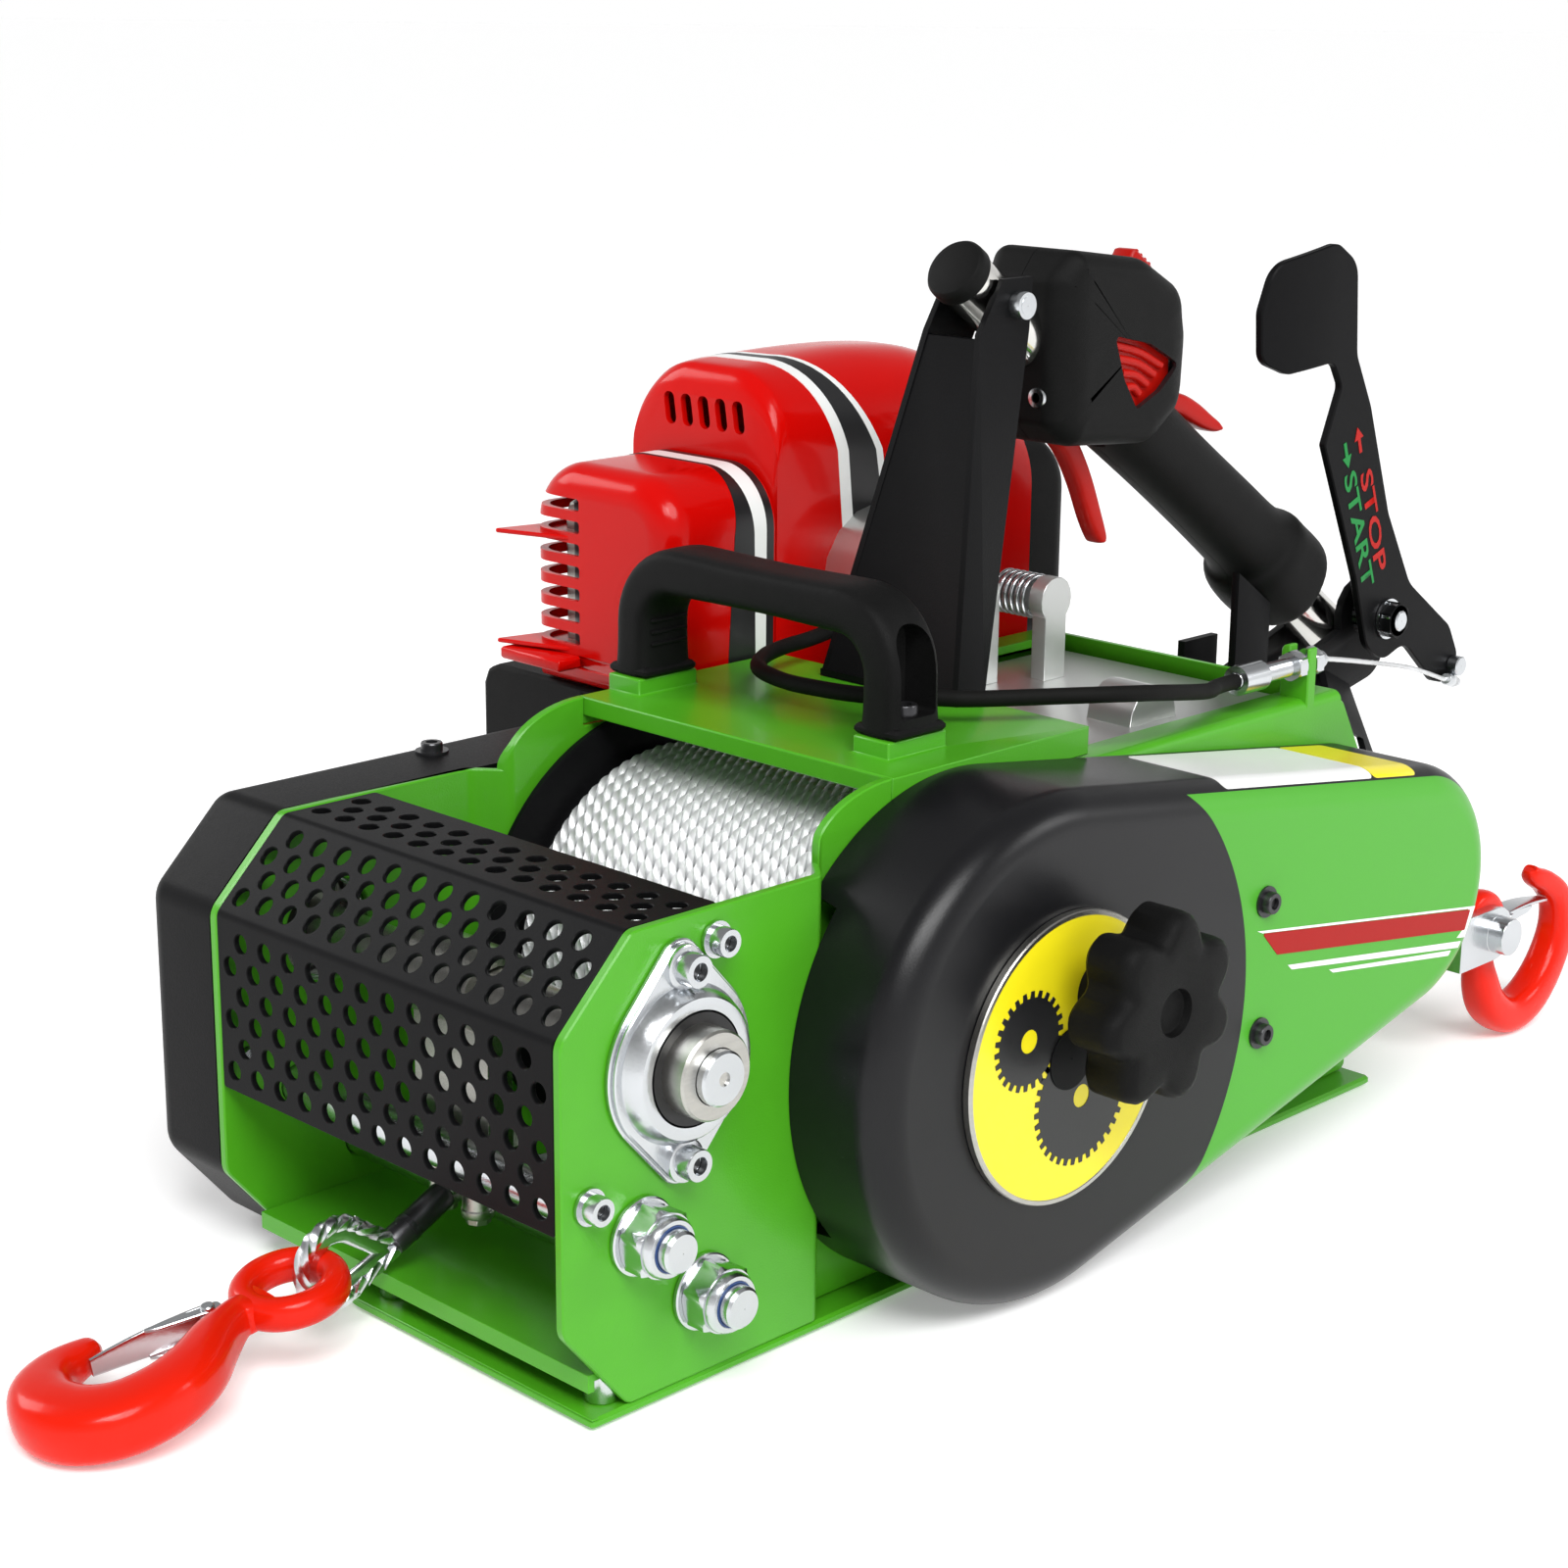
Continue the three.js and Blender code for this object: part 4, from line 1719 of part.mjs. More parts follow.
// Engine covers are arches: straight sides with rounded upper corners
function arch(y0, y1, z0, z1, radius) {
  const r = Math.min(radius, (y1 - y0) / 2, z1 - z0);
  return [
    [y1, z0],
    ...circle(y1 - r, z1 - r, r, cornerSteps * 2, 0, quarterTurn),
    ...circle(y0 + r, z1 - r, r, cornerSteps * 2, quarterTurn, quarterTurn),
    [y0, z0],
  ];
}
const engineFloor = engineBaseHigh + seatGap;
const mufflerRear = mufflerCoverFront + mufflerCoverLength;
const mufflerArch = (less) => {
  const [near, far] = [engineNear + less, engineFar - less];
  return arch(near, far, engineFloor + less, mufflerCoverTop - less, coverArch - less / 2);
};
const mufflerEdge = coverArch / 2;
const mufflerOuter = pressed(mufflerArch, mufflerRear, mufflerCoverFront, mufflerEdge, alongX);
const mufflerInnerArch = (less) => mufflerArch(coverSheet + less);
const mufflerInnerFront = mufflerCoverFront + coverSheet;
const mufflerInnerEdge = mufflerEdge - coverSheet;
const mufflerInnerRear = mufflerRear + cutOverrun;
const mufflerInner = pressed(mufflerInnerArch, mufflerInnerRear, mufflerInnerFront, mufflerInnerEdge, alongX);
const slotsNear = engineFar - mufflerSlotWidth;
const slotsFar = engineFar + cutOverrun;
const slotsFront = mufflerCoverFront - cutOverrun;
const slotsRear = mufflerCoverFront + coverArch;
const mufflerCuts = Array.from({ length: mufflerSlots }, (unused, i) => {
  const z = mufflerSlotLow + i * mufflerSlotPitch;
  return box(slotsFront, slotsRear, slotsNear, slotsFar, z, z + mufflerSlotHeight);
});
const fins = finSlots.map((i) => {
  const z = mufflerSlotLow + i * mufflerSlotPitch + mufflerSlotHeight;
  const root = engineFar - mufflerEdge;
  const outline = [
    [mufflerCoverFront + coverSheet, slotsNear],
    [mufflerCoverFront - finReach, root],
    [mufflerCoverFront + coverSheet * 3, engineFar - coverSheet / 2],
    [mufflerCoverFront + coverSheet * 3, root],
  ];
  return slab(outline, z, z + finHeight, alongZ);
});
addMesh('muffler_cover', join(cut(mufflerOuter, mufflerInner, ...mufflerCuts), ...fins), red);

// Shroud: a middle step with cooling slots and a larger rear dome
function shroudBody(less) {
  const ring = (x, top, radius) => {
    const outline = arch(engineNear + less, engineFar - less, engineFloor - less, top - less, radius - less);
    return outline.map(([y, z]) => alongX(y, z, x));
  };
  const middleRadius = shroudArch * shroudMidArchShare;
  const domeX = shroudRearFront + (shroudRear - shroudRearFront) * shroudDomeShare;
  const rings = [
    ring(shroudMidFront + less, shroudMidTop - shroudArch / 4, middleRadius),
    ring(shroudMidFront + coverSheet * 3 + less, shroudMidTop, middleRadius),
    ring(shroudRearFront, shroudTop, shroudArch),
    ring(domeX, shroudTop - coverSheet, shroudArch),
    ring(shroudRear - less, shroudEndTop, shroudArch),
  ];
  return loft(rings);
}
const [roomNear, roomDeep] = [engineNear - cutOverrun, engineNear + blockInset];
const bellRoom = rodY(bellX, bellZ, roomNear, roomDeep, bellRadius + runningGap, roundSides);
const plungerRoom = rodY(springX, springZ, roomNear, roomDeep, plungerHead + runningGap, roundSides);
const exhaustY = (engineNear + engineFar) / 2;
const exhaustRoomX = shroudMidFront + coverSheet * 4;
const exhaustFrom = shroudMidFront - cutOverrun;
const exhaustRoomRadius = exhaustRadius + runningGap;
const exhaustRoom = rodX(exhaustY, exhaustZ, exhaustFrom, exhaustRoomX, exhaustRoomRadius, roundSides);
const slotSpan = (shroudSlots - 1) * shroudSlotPitch;
const slotTop = shroudMidTop - shroudArch / 3;
const coolingSlots = Array.from({ length: shroudSlots }, (unused, i) => {
  const y = exhaustY - slotSpan / 2 + i * shroudSlotPitch;
  const [y0, y1] = [y - shroudSlotWidth / 2, y + shroudSlotWidth / 2];
  const x0 = shroudMidFront - cutOverrun;
  return box(x0, x0 + coverSheet * 5, y0, y1, slotTop - shroudSlotHeight, slotTop);
});
const shroudCuts = [shroudBody(coverSheet), bellRoom, plungerRoom, exhaustRoom, ...coolingSlots];
addMesh('engine_shroud', cut(shroudBody(0), ...shroudCuts), red);

// Engine block under the shroud, and the muffler with its exhaust stub
const blockNear = engineNear + blockInset;
const blockFar = engineFar - coverSheet - blockInset / 2;
const blockOutline = roundedRect(blockFront, blockRear, engineFloor, blockTop, gearboxEdge);
addMesh('engine_block', slab(blockOutline, blockNear, blockFar, alongY), cast);
const mufflerX0 = mufflerCoverFront + mufflerInset;
const mufflerX1 = mufflerX0 + mufflerDepth;
const mufflerY0 = engineNear + mufflerInset;
const mufflerY1 = engineFar - mufflerInset;
const mufflerZ0 = exhaustZ - mufflerHeight / 2;
const mufflerOutline = roundedRect(mufflerY0, mufflerY1, mufflerZ0, mufflerZ0 + mufflerHeight, gearboxEdge);
const mufflerBox = slab(mufflerOutline, mufflerX0, mufflerX1, alongX);
const [stubFrom, stubTo] = [mufflerX1 - cutOverrun, blockFront - seatGap];
const exhaustStub = rodX(exhaustY, exhaustZ, stubFrom, stubTo, exhaustRadius, roundSides);
addMesh('muffler', join(mufflerBox, exhaustStub), steel);

// Engine base with the fuel tank below it, behind the far cover
const engineBaseNear = frameWidth + cutOverrun;
const engineBase = box(tankFront, tankRear, engineBaseNear, engineFar, engineBaseLow, engineBaseHigh);
const tankNear = farFace + tankInset;
const tankOutline = roundedRect(tankNear, tankFar, tankLow, engineBaseHigh, tankEdge);
const tankBody = slab(tankOutline, tankFront, tankRear, alongX);
addMesh('fuel_tank', join(engineBase, tankBody), blackPlastic);

// Air filter cover behind the shroud, and the starter housing on the far side
const filterFront = shroudRear + seatGap;
const filterShape = (less) => {
  return roundedRect(filterNear + less, engineFar - less, filterLow + less, filterTop - less, filterEdge);
};
addMesh('air_filter_cover', pressed(filterShape, filterFront, filterRear, filterEdge, alongX), blackPlastic);
const starterNear = engineFar + seatGap;
const starterFar = starterNear + starterDepth;
const starterBody = rodY(bellX, starterZ, starterNear, starterFar, starterRadius, roundSides);
addMesh('starter_housing', starterBody, blackPlastic);

// Gear selector: a disc on a spindle through the belt cover, turned by a star knob that pulls out
const discNear = coverFace - seatGap;
const discOuter = discNear - discSheet;
const disc = rodY(drumX, drumZ, discOuter, discNear, discRadius, roundSides * 2);
const spindle = rodY(drumX, drumZ, discOuter + discSheet / 2, spindleTo, discSpindle, roundSides);
const [knobBoreFrom, knobBoreTo] = [discOuter - cutOverrun, discNear + cutOverrun];
const knobBore = rodY(knobX, knobZ, knobBoreFrom, knobBoreTo, knobBoltRadius + seatGap, roundSides);
addMesh('selector_disc', cut(join(disc, spindle), knobBore), yellow);
const stemNear = discOuter - seatGap;
const stemFar = stemNear - knobStemLength;
const knobFace = stemFar - knobThickness;
const knobSteps = knobLobes * knobLobeSteps;
const knobShape = (less) => Array.from({ length: knobSteps }, (unused, i) => {
  const angle = (i / knobSteps) * Math.PI * 2;
  const reach = knobRadius - less - (knobLobeDepth * (1 - Math.cos(angle * knobLobes))) / 2;
  return [knobX + reach * Math.cos(angle), knobZ + reach * Math.sin(angle)];
});
const knobHead = pressed(knobShape, stemFar, knobFace, knobThickness / 3, alongY);
const knobStem = rodY(knobX, knobZ, stemNear, stemFar - cutOverrun, knobStemRadius, roundSides);
const knobPin = rodY(knobX, knobZ, stemNear - cutOverrun, discNear, knobBoltRadius, smallSides);
const dimple = rodY(knobX, knobZ, knobFace - cutOverrun, knobFace + cutOverrun, knobPocket, roundSides);
addMesh('selector_knob', cut(join(knobHead, knobStem, knobPin), dimple), blackPlastic);

// The whole machine with its origin at the centre of the base's underside
const winch = new THREE.Group();
machine.position.set(-baseLength / 2, -frameWidth / 2, 0);
winch.add(machine);

export default winch;
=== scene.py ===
"""Looks of a portable engine winch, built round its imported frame.

Sizes are millimetres in the maker's layout, whose origin is the front corner of the base. X runs
from the rope outlet to the anchor hook, Y from the belt cover to the engine and Z up. Every
finished mesh is moved to the metres of the frame, with its object left at the origin.
"""

import json
import logging
import math
from dataclasses import dataclass, field
from enum import Enum
from typing import Callable, Optional, Sequence

import bmesh
import bpy
import numpy as np
from mathutils import Matrix, Vector
from mathutils.geometry import tessellate_polygon


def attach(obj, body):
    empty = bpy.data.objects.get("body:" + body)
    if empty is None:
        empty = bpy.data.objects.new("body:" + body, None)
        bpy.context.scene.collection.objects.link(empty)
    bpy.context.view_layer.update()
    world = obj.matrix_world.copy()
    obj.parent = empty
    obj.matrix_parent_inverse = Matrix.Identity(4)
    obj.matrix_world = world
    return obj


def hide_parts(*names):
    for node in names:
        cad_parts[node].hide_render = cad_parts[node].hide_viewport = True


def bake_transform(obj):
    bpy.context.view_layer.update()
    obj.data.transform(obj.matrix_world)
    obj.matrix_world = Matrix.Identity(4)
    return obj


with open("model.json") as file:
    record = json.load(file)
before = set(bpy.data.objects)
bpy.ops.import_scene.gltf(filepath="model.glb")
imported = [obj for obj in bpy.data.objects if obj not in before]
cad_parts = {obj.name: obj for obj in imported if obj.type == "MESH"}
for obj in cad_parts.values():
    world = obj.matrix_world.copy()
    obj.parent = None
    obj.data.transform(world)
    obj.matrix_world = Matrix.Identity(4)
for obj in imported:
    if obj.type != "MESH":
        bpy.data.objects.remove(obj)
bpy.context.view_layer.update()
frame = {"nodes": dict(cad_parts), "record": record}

LOG = logging.getLogger("winch")
Array = np.ndarray
ORIGIN = np.array([240.0, 102.0, 0.0])
TAU = 2 * math.pi
Pair = tuple[float, float]
Triple = tuple[float, float, float]
MIX_A, MIX_B, MIX_RESULT = 6, 7, 2
BUMP_DISTANCE = 0.0006
NO_LIMIT = 1000
BROAD_TO_FINE = 25
BODY_OF = {
    node: body
    for body, nodes in frame["record"]["behaviour"]["bodies"].items()
    for node in nodes
}


# ---------------------------------------------------------------- finishes


def fill(item: bpy.types.Node, values: dict[str | int, object]) -> None:
    """Sets each named input of a node, or links it where the value is a socket."""
    for key, value in values.items():
        if isinstance(value, bpy.types.NodeSocket):
            item.id_data.links.new(value, item.inputs[key])
        else:
            item.inputs[key].default_value = value


def node(tree: bpy.types.NodeTree, kind: str, values: dict[str | int, object] = {},
         **settings: str) -> bpy.types.Node:
    """Adds a shader node of a kind, with its settings and its inputs."""
    made = tree.nodes.new(f"ShaderNode{kind}")
    for name, setting in settings.items():
        setattr(made, name, setting)
    fill(made, values)
    return made


def placed(name: str, data: bpy.types.ID) -> bpy.types.Object:
    """Makes an object of some data and puts it in the scene, at the origin."""
    item = bpy.data.objects.new(name, data)
    bpy.context.scene.collection.objects.link(item)
    return item


@dataclass(frozen=True)
class Finish:
    """A procedural surface on Object coordinates: colour, gloss and a fine relief."""

    name: str
    slot: str
    colour: Triple
    roughness: float = 0.4
    metallic: float = 0.0
    coat: float = 0.0
    grain: float = 900.0
    relief: float = 0.05
    vary: float = 0.08
    stretch: Triple = (1.0, 1.0, 1.0)
    shine: float = 0.5

    def paint(self, tree: bpy.types.NodeTree, place: bpy.types.NodeSocket,
              colour: bpy.types.NodeSocket) -> bpy.types.NodeSocket:
        """Returns the colour that reaches the shader; a plain finish leaves it as it is."""
        return colour

    def material(self) -> bpy.types.Material:
        """Makes the material once.

        A broad noise mixes a darker and a lighter shade of the colour, and a fine noise moves the
        roughness and gives the bump.

        Returns:
            The material with this finish's name.
        """
        made = bpy.data.materials.get(self.name)
        if made is not None:
            return made
        made = bpy.data.materials.new(self.name)
        made.use_nodes = True
        tree = made.node_tree
        place = node(tree, "TexCoord").outputs["Object"]
        spot = node(tree, "Mapping", {"Vector": place, "Scale": self.stretch}).outputs["Vector"]
        broad, fine = (
            node(tree, "TexNoise", {"Vector": spot, "Scale": scale, "Detail": detail})
            .outputs["Fac"] for scale, detail in ((self.grain / BROAD_TO_FINE, 3.0),
                                                  (self.grain, 4.0)))
        dark, light = ((*[min(1.0, c * share) for c in self.colour], 1.0)
                       for share in (1 - self.vary, 1 + self.vary))
        shades = node(tree, "Mix", {}, data_type="RGBA")
        fill(shades, {"Factor": broad, MIX_A: dark, MIX_B: light})
        colour = self.paint(tree, place, shades.outputs[MIX_RESULT])
        gloss = node(tree, "MapRange", {"Value": fine, "To Min": self.roughness * 0.8,
                                        "To Max": min(1.0, self.roughness * 1.25)})
        bump = node(tree, "Bump", {"Height": fine, "Strength": self.relief,
                                   "Distance": BUMP_DISTANCE})
        fill(tree.nodes["Principled BSDF"], {
            "Base Color": colour, "Roughness": gloss.outputs["Result"],
            "Normal": bump.outputs["Normal"], "Specular IOR Level": self.shine,
            "Metallic": self.metallic, "Coat Weight": self.coat, "Coat Roughness": 0.05})
        return made


@dataclass(frozen=True)
class PanelFinish(Finish):
    """A finish with a second colour beyond a circle and outwards of a depth, as a printed foil."""

    second: Triple = (0.1, 0.4, 0.05)
    centre: Pair = (0.0, 0.0)
    radius: float = 0.1
    edge: float = 0.0

    def paint(self, tree: bpy.types.NodeTree, place: bpy.types.NodeSocket,
              colour: bpy.types.NodeSocket) -> bpy.types.NodeSocket:
        """Mixes in the foil's colour where the distance from the circle's centre is past its
        radius and Y lies before the edge.

        Args:
            tree: The material's nodes.
            place: Object coordinates.
            colour: The colour of the bare finish.

        Returns:
            The mixed colour.
        """
        split = node(tree, "SeparateXYZ", {0: place}).outputs
        flat = node(tree, "CombineXYZ", {"X": split["X"], "Z": split["Z"]}).outputs[0]
        hub = (self.centre[0], 0.0, self.centre[1])
        reach = node(tree, "VectorMath", {0: flat, 1: hub}, operation="DISTANCE")
        past = node(tree, "Math", {0: reach.outputs["Value"], 1: self.radius},
                    operation="GREATER_THAN")
        outer = node(tree, "Math", {0: split["Y"], 1: self.edge}, operation="LESS_THAN")
        both = node(tree, "Math", {0: past.outputs[0], 1: outer.outputs[0]},
                    operation="MULTIPLY")
        mix = node(tree, "Mix", data_type="RGBA")
        fill(mix, {"Factor": both.outputs[0], MIX_A: colour, MIX_B: (*self.second, 1.0)})
        return mix.outputs[MIX_RESULT]


class Look(Enum):
    """Every finish on the machine."""

    GREEN = Finish("green_powder_coat", "frame_green", (0.07, 0.36, 0.012), 0.3, coat=0.1,
                   grain=1400, relief=0.12, vary=0.06, shine=0.3)
    BLACK = Finish("black_satin_paint", "black_metal", (0.004, 0.004, 0.0045), 0.42, grain=1500,
                   relief=0.1, vary=0.2, shine=0.08)
    COVER = PanelFinish("black_cover_with_green_foil", "black_metal", (0.005, 0.005, 0.006), 0.3,
                        grain=1500, relief=0.08, vary=0.2, shine=0.3, second=(0.07, 0.36, 0.025),
                        centre=(-0.043, 0.102), radius=0.1148, edge=-0.1438)
    PLASTIC = Finish("black_textured_plastic", "black_plastic", (0.005, 0.005, 0.005), 0.5,
                     grain=2600, relief=0.3, vary=0.25, shine=0.1)
    RUBBER = Finish("black_soft_grip", "black_plastic", (0.006, 0.006, 0.0055), 0.6, grain=3200,
                    relief=0.3, vary=0.25, shine=0.1)
    # Dark steel for chains, sleeves and screws, and also painted shade: the block that darkens the
    # muffler cover's vent slots.
    DARK_AND_SHADE = Finish("dark_steel_and_painted_shade", "steel", (0.06, 0.06, 0.064), 0.3, metallic=0.8)
    ZINC = Finish("zinc_plate", "zinc", (0.62, 0.64, 0.66), 0.22, metallic=1.0, grain=700,
                  relief=0.06, vary=0.12)
    CHROME = Finish("plated_tube", "steel", (0.72, 0.71, 0.68), 0.12, metallic=1.0, grain=400,
                    relief=0.03, vary=0.06)
    STEEL = Finish("bare_steel", "steel", (0.5, 0.49, 0.46), 0.28, metallic=1.0, grain=1200,
                   relief=0.12, vary=0.15, stretch=(1.0, 12.0, 12.0))
    ROPE = Finish("galvanised_rope", "rope_steel", (0.8, 0.81, 0.82), 0.38, metallic=0.6,
                  grain=2600, relief=0.4, vary=0.12)
    HOOK = Finish("red_hook_paint", "hook_red", (0.7, 0.012, 0.002), 0.22, coat=0.12, grain=260,
                  relief=0.12, vary=0.1, shine=0.15)
    SHROUD = Finish("red_gloss_plastic", "red_plastic", (0.56, 0.002, 0.001), 0.18, coat=0.1,
                    grain=300, relief=0.015, vary=0.04, shine=0.12)
    SWITCH = Finish("red_switch_plastic", "red_plastic", (0.42, 0.006, 0.003), 0.3, grain=900,
                    relief=0.06, vary=0.06, shine=0.15)
    CAST = Finish("cast_aluminium", "cast_aluminium", (0.55, 0.56, 0.56), 0.45, metallic=0.85,
                  grain=800, relief=0.4, vary=0.15)
    YELLOW = Finish("yellow_disc_foil", "yellow_metal", (0.86, 0.74, 0.01), 0.3, coat=0.1,
                    relief=0.02, vary=0.03)
    WHITE = Finish("white_foil", "yellow_metal", (0.85, 0.86, 0.85), 0.3, relief=0.02, vary=0.03)
    # Black for printed marks, and also painted shade: black discs in screw sockets and in a shaft's
    # centre hole.
    INK_AND_SHADE = Finish("black_ink_and_painted_shade", "black_plastic", (0.01, 0.01, 0.011), 0.35, relief=0.02)
    DEEP_RED = Finish("dark_red_foil", "red_plastic", (0.36, 0.006, 0.004), 0.35, relief=0.02,
                      vary=0.03, shine=0.15)
    LEAF = Finish("green_foil", "frame_green", (0.004, 0.22, 0.04), 0.35, relief=0.02, vary=0.03,
                  shine=0.2)
    NYLON = Finish("blue_nylon_ring", "zinc", (0.02, 0.06, 0.2), 0.4, relief=0.05)


# ---------------------------------------------------------------- outlines and paths


def unit(vectors: Array) -> Array:
    """Scales each vector to length one."""
    return vectors / np.maximum(np.linalg.norm(vectors, axis=-1, keepdims=True), 1e-9)


def circle(u: float, v: float, radius: float, sides: int = 48, start: float = 0.0,
           turn: float = TAU) -> Array:
    """Points at equal angles on a circle, or on an arc of it with both ends kept."""
    closed = turn >= TAU - 1e-9
    angle = start + turn * np.arange(sides if closed else sides + 1) / sides
    return np.stack([u + radius * np.cos(angle), v + radius * np.sin(angle)], axis=1)


def rounded(corners: Sequence[Sequence[float]], steps: int = 6) -> Array:
    """Rounds a polygon's corners with exact arcs.

    Each corner (u, v, r) becomes a rational quadratic curve from one tangent point to the other,
    weighted with the sine of half the inside angle, which makes it a true circular arc.

    Args:
        corners: Rows of u, v and radius; a row with radius zero stays one point.
        steps: Points on each rounded corner.

    Returns:
        The outline's points.
    """
    table = np.asarray(corners, dtype=float)
    spot, radius = table[:, :2], table[:, 2:]
    back = unit(np.roll(spot, 1, axis=0) - spot)
    ahead = unit(np.roll(spot, -1, axis=0) - spot)
    half = np.arccos(np.clip((back * ahead).sum(1, keepdims=True), -1, 1)) / 2
    reach = radius / np.tan(half)
    weight = np.sin(half)[:, None]
    t = np.linspace(0, 1, steps)[None, :, None]
    first, last = (spot + back * reach)[:, None], (spot + ahead * reach)[:, None]
    bend = 2 * t * (1 - t) * weight
    top = (1 - t) ** 2 * first + bend * spot[:, None] + t**2 * last
    kept = (radius > 0) | (np.arange(steps)[None, :] == 0)
    return (top / ((1 - t) ** 2 + bend + t**2))[kept]


def rectangle(u0: float, u1: float, v0: float, v1: float, radius: float = 0.5,
              steps: int = 5) -> Array:
    """A rectangle with rounded corners."""
    return rounded([(u0, v0, radius), (u1, v0, radius), (u1, v1, radius), (u0, v1, radius)], steps)


def belt(u1: float, v1: float, r1: float, u2: float, v2: float, r2: float,
         sides: int = 96) -> Array:
    """The outline of a belt round two circles: an arc of each, met by the outer tangents."""
    heading = math.atan2(v2 - v1, u2 - u1)
    spread = math.acos((r1 - r2) / math.hypot(u2 - u1, v2 - v1))
    big = circle(u1, v1, r1, sides, heading + spread, (math.pi - spread) * 2)
    small = circle(u2, v2, r2, sides // 2, heading - spread, spread * 2)
    return np.vstack([big, small])


def turned(flat: Array, angle: float) -> Array:
    """Turns flat points about zero: each is multiplied by the matrix of sines and cosines."""
    c, s = math.cos(angle), math.sin(angle)
    return flat @ np.array([[c, s], [-s, c]])


def offset(loop: Array, distance: float) -> Array:
    """Moves every edge of an outline to its left by the same distance."""
    before = unit(loop - np.roll(loop, 1, axis=0))
    after = unit(np.roll(loop, -1, axis=0) - loop)
    bend = np.maximum(1 + (before * after).sum(1, keepdims=True), 0.35)
    total = before + after
    return loop + distance * np.stack([-total[:, 1], total[:, 0]], axis=1) / bend


def area(loop: Array) -> float:
    """Signed area of an outline, positive when it runs anticlockwise."""
    after = np.roll(loop, -1, axis=0)
    return float((loop[:, 0] * after[:, 1] - loop[:, 1] * after[:, 0]).sum() / 2)


def spline(points: Sequence[Sequence[float]], count: int) -> Array:
    """A smooth curve through rows of numbers: each span is a cubic with slopes from its
    neighbours.

    Args:
        points: Rows, such as positions with widths beside them.
        count: Rows wanted.

    Returns:
        The resampled rows.
    """
    rows = np.asarray(points, dtype=float)
    padded = np.vstack([2 * rows[0] - rows[1], rows, 2 * rows[-1] - rows[-2]])
    t = np.linspace(0, len(rows) - 1, count)
    i = np.minimum(t.astype(int), len(rows) - 2)
    t = (t - i)[:, None]
    a, b, c, d = (padded[i + k] for k in range(4))
    slope = t * (c - a) + t**2 * (2 * a - 5 * b + 4 * c - d) + t**3 * (3 * b - a - 3 * c + d)
    return b + slope / 2


@dataclass(frozen=True)
class Plane:
    """A drawing plane: flat (u, v) points and a depth become points of the layout."""

    u: Triple
    v: Triple
    n: Triple
    origin: Triple = (0.0, 0.0, 0.0)

    def at(self, flat: Array, depth: float | Array) -> Array:
        """Places flat points at a depth along the normal.

        Args:
            flat: Rows of u and v.
            depth: One depth, or one for each row.

        Returns:
            Rows of x, y and z.
        """
        flat = np.asarray(flat, dtype=float)
        deep = np.broadcast_to(np.asarray(depth, dtype=float), flat.shape[:1])
        return (np.array(self.origin) + flat[:, :1] * np.array(self.u)
                + flat[:, 1:] * np.array(self.v) + deep[:, None] * np.array(self.n))


SIDE = Plane((1, 0, 0), (0, 0, 1), (0, 1, 0))
FRONT = Plane((0, 1, 0), (0, 0, 1), (1, 0, 0))
TOP = Plane((1, 0, 0), (0, 1, 0), (0, 0, 1))


def basis(axis: Sequence[float]) -> tuple[Array, Array, Array]:
    """The unit axis and two directions square to it and to each other."""
    along = unit(np.array(axis, dtype=float))
    side = unit(np.cross(along, [0.31, 0.52, 0.83] if abs(along[2]) < 0.9 else [1.0, 0, 0]))
    return along, side, np.cross(along, side)


def square_to(path: Array, up: Sequence[float], closed: bool) -> tuple[Array, Array]:
    """At each point of a path, the directions sideways and upwards that are square to it: the
    cross products of its tangent with up, and of that with the tangent."""
    ahead = np.roll(path, -1, axis=0) if closed else np.vstack([path[1:], path[-1:]])
    back = np.roll(path, 1, axis=0) if closed else np.vstack([path[:1], path[:-1]])
    tangent = unit(ahead - back)
    side = unit(np.cross(tangent, np.array(up, dtype=float)))
    return side, np.cross(side, tangent)


# ---------------------------------------------------------------- making meshes


def settle(item: bpy.types.Object, look: "Look", body: str, *nodes: str) -> bpy.types.Object:
    """Lets a piece ride on its body and stand for its nodes."""
    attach(item, body)
    if nodes:
        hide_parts(*nodes)
    LOG.info("%s: %d faces", item.name, len(item.data.polygons))
    return item


def smooth(item: bpy.types.Object, angle: float = 32.0) -> None:
    """Shades a mesh smooth, with edges sharper than the angle in degrees kept crisp."""
    mesh = item.data
    mesh.polygons.foreach_set("use_smooth", np.ones(len(mesh.polygons), dtype=bool))
    mesh.set_sharp_from_angle(angle=math.radians(angle))


def combine(base: bpy.types.Object, tool: bpy.types.Object, operation: str,
            solver: str = "EXACT") -> None:
    """Joins or cuts two closed meshes and removes the tool.

    Args:
        base: The mesh that stays.
        tool: The mesh that is used up.
        operation: UNION, DIFFERENCE or INTERSECT.
        solver: EXACT, or MANIFOLD where a flat face is split into many long pieces.
    """
    change = base.modifiers.new("change", "BOOLEAN")
    change.operation = operation
    change.solver = solver
    change.object = tool
    view = bpy.context.evaluated_depsgraph_get()
    shaped = bpy.data.meshes.new_from_object(base.evaluated_get(view))
    base.modifiers.clear()
    base.data = shaped
    bpy.data.objects.remove(tool)


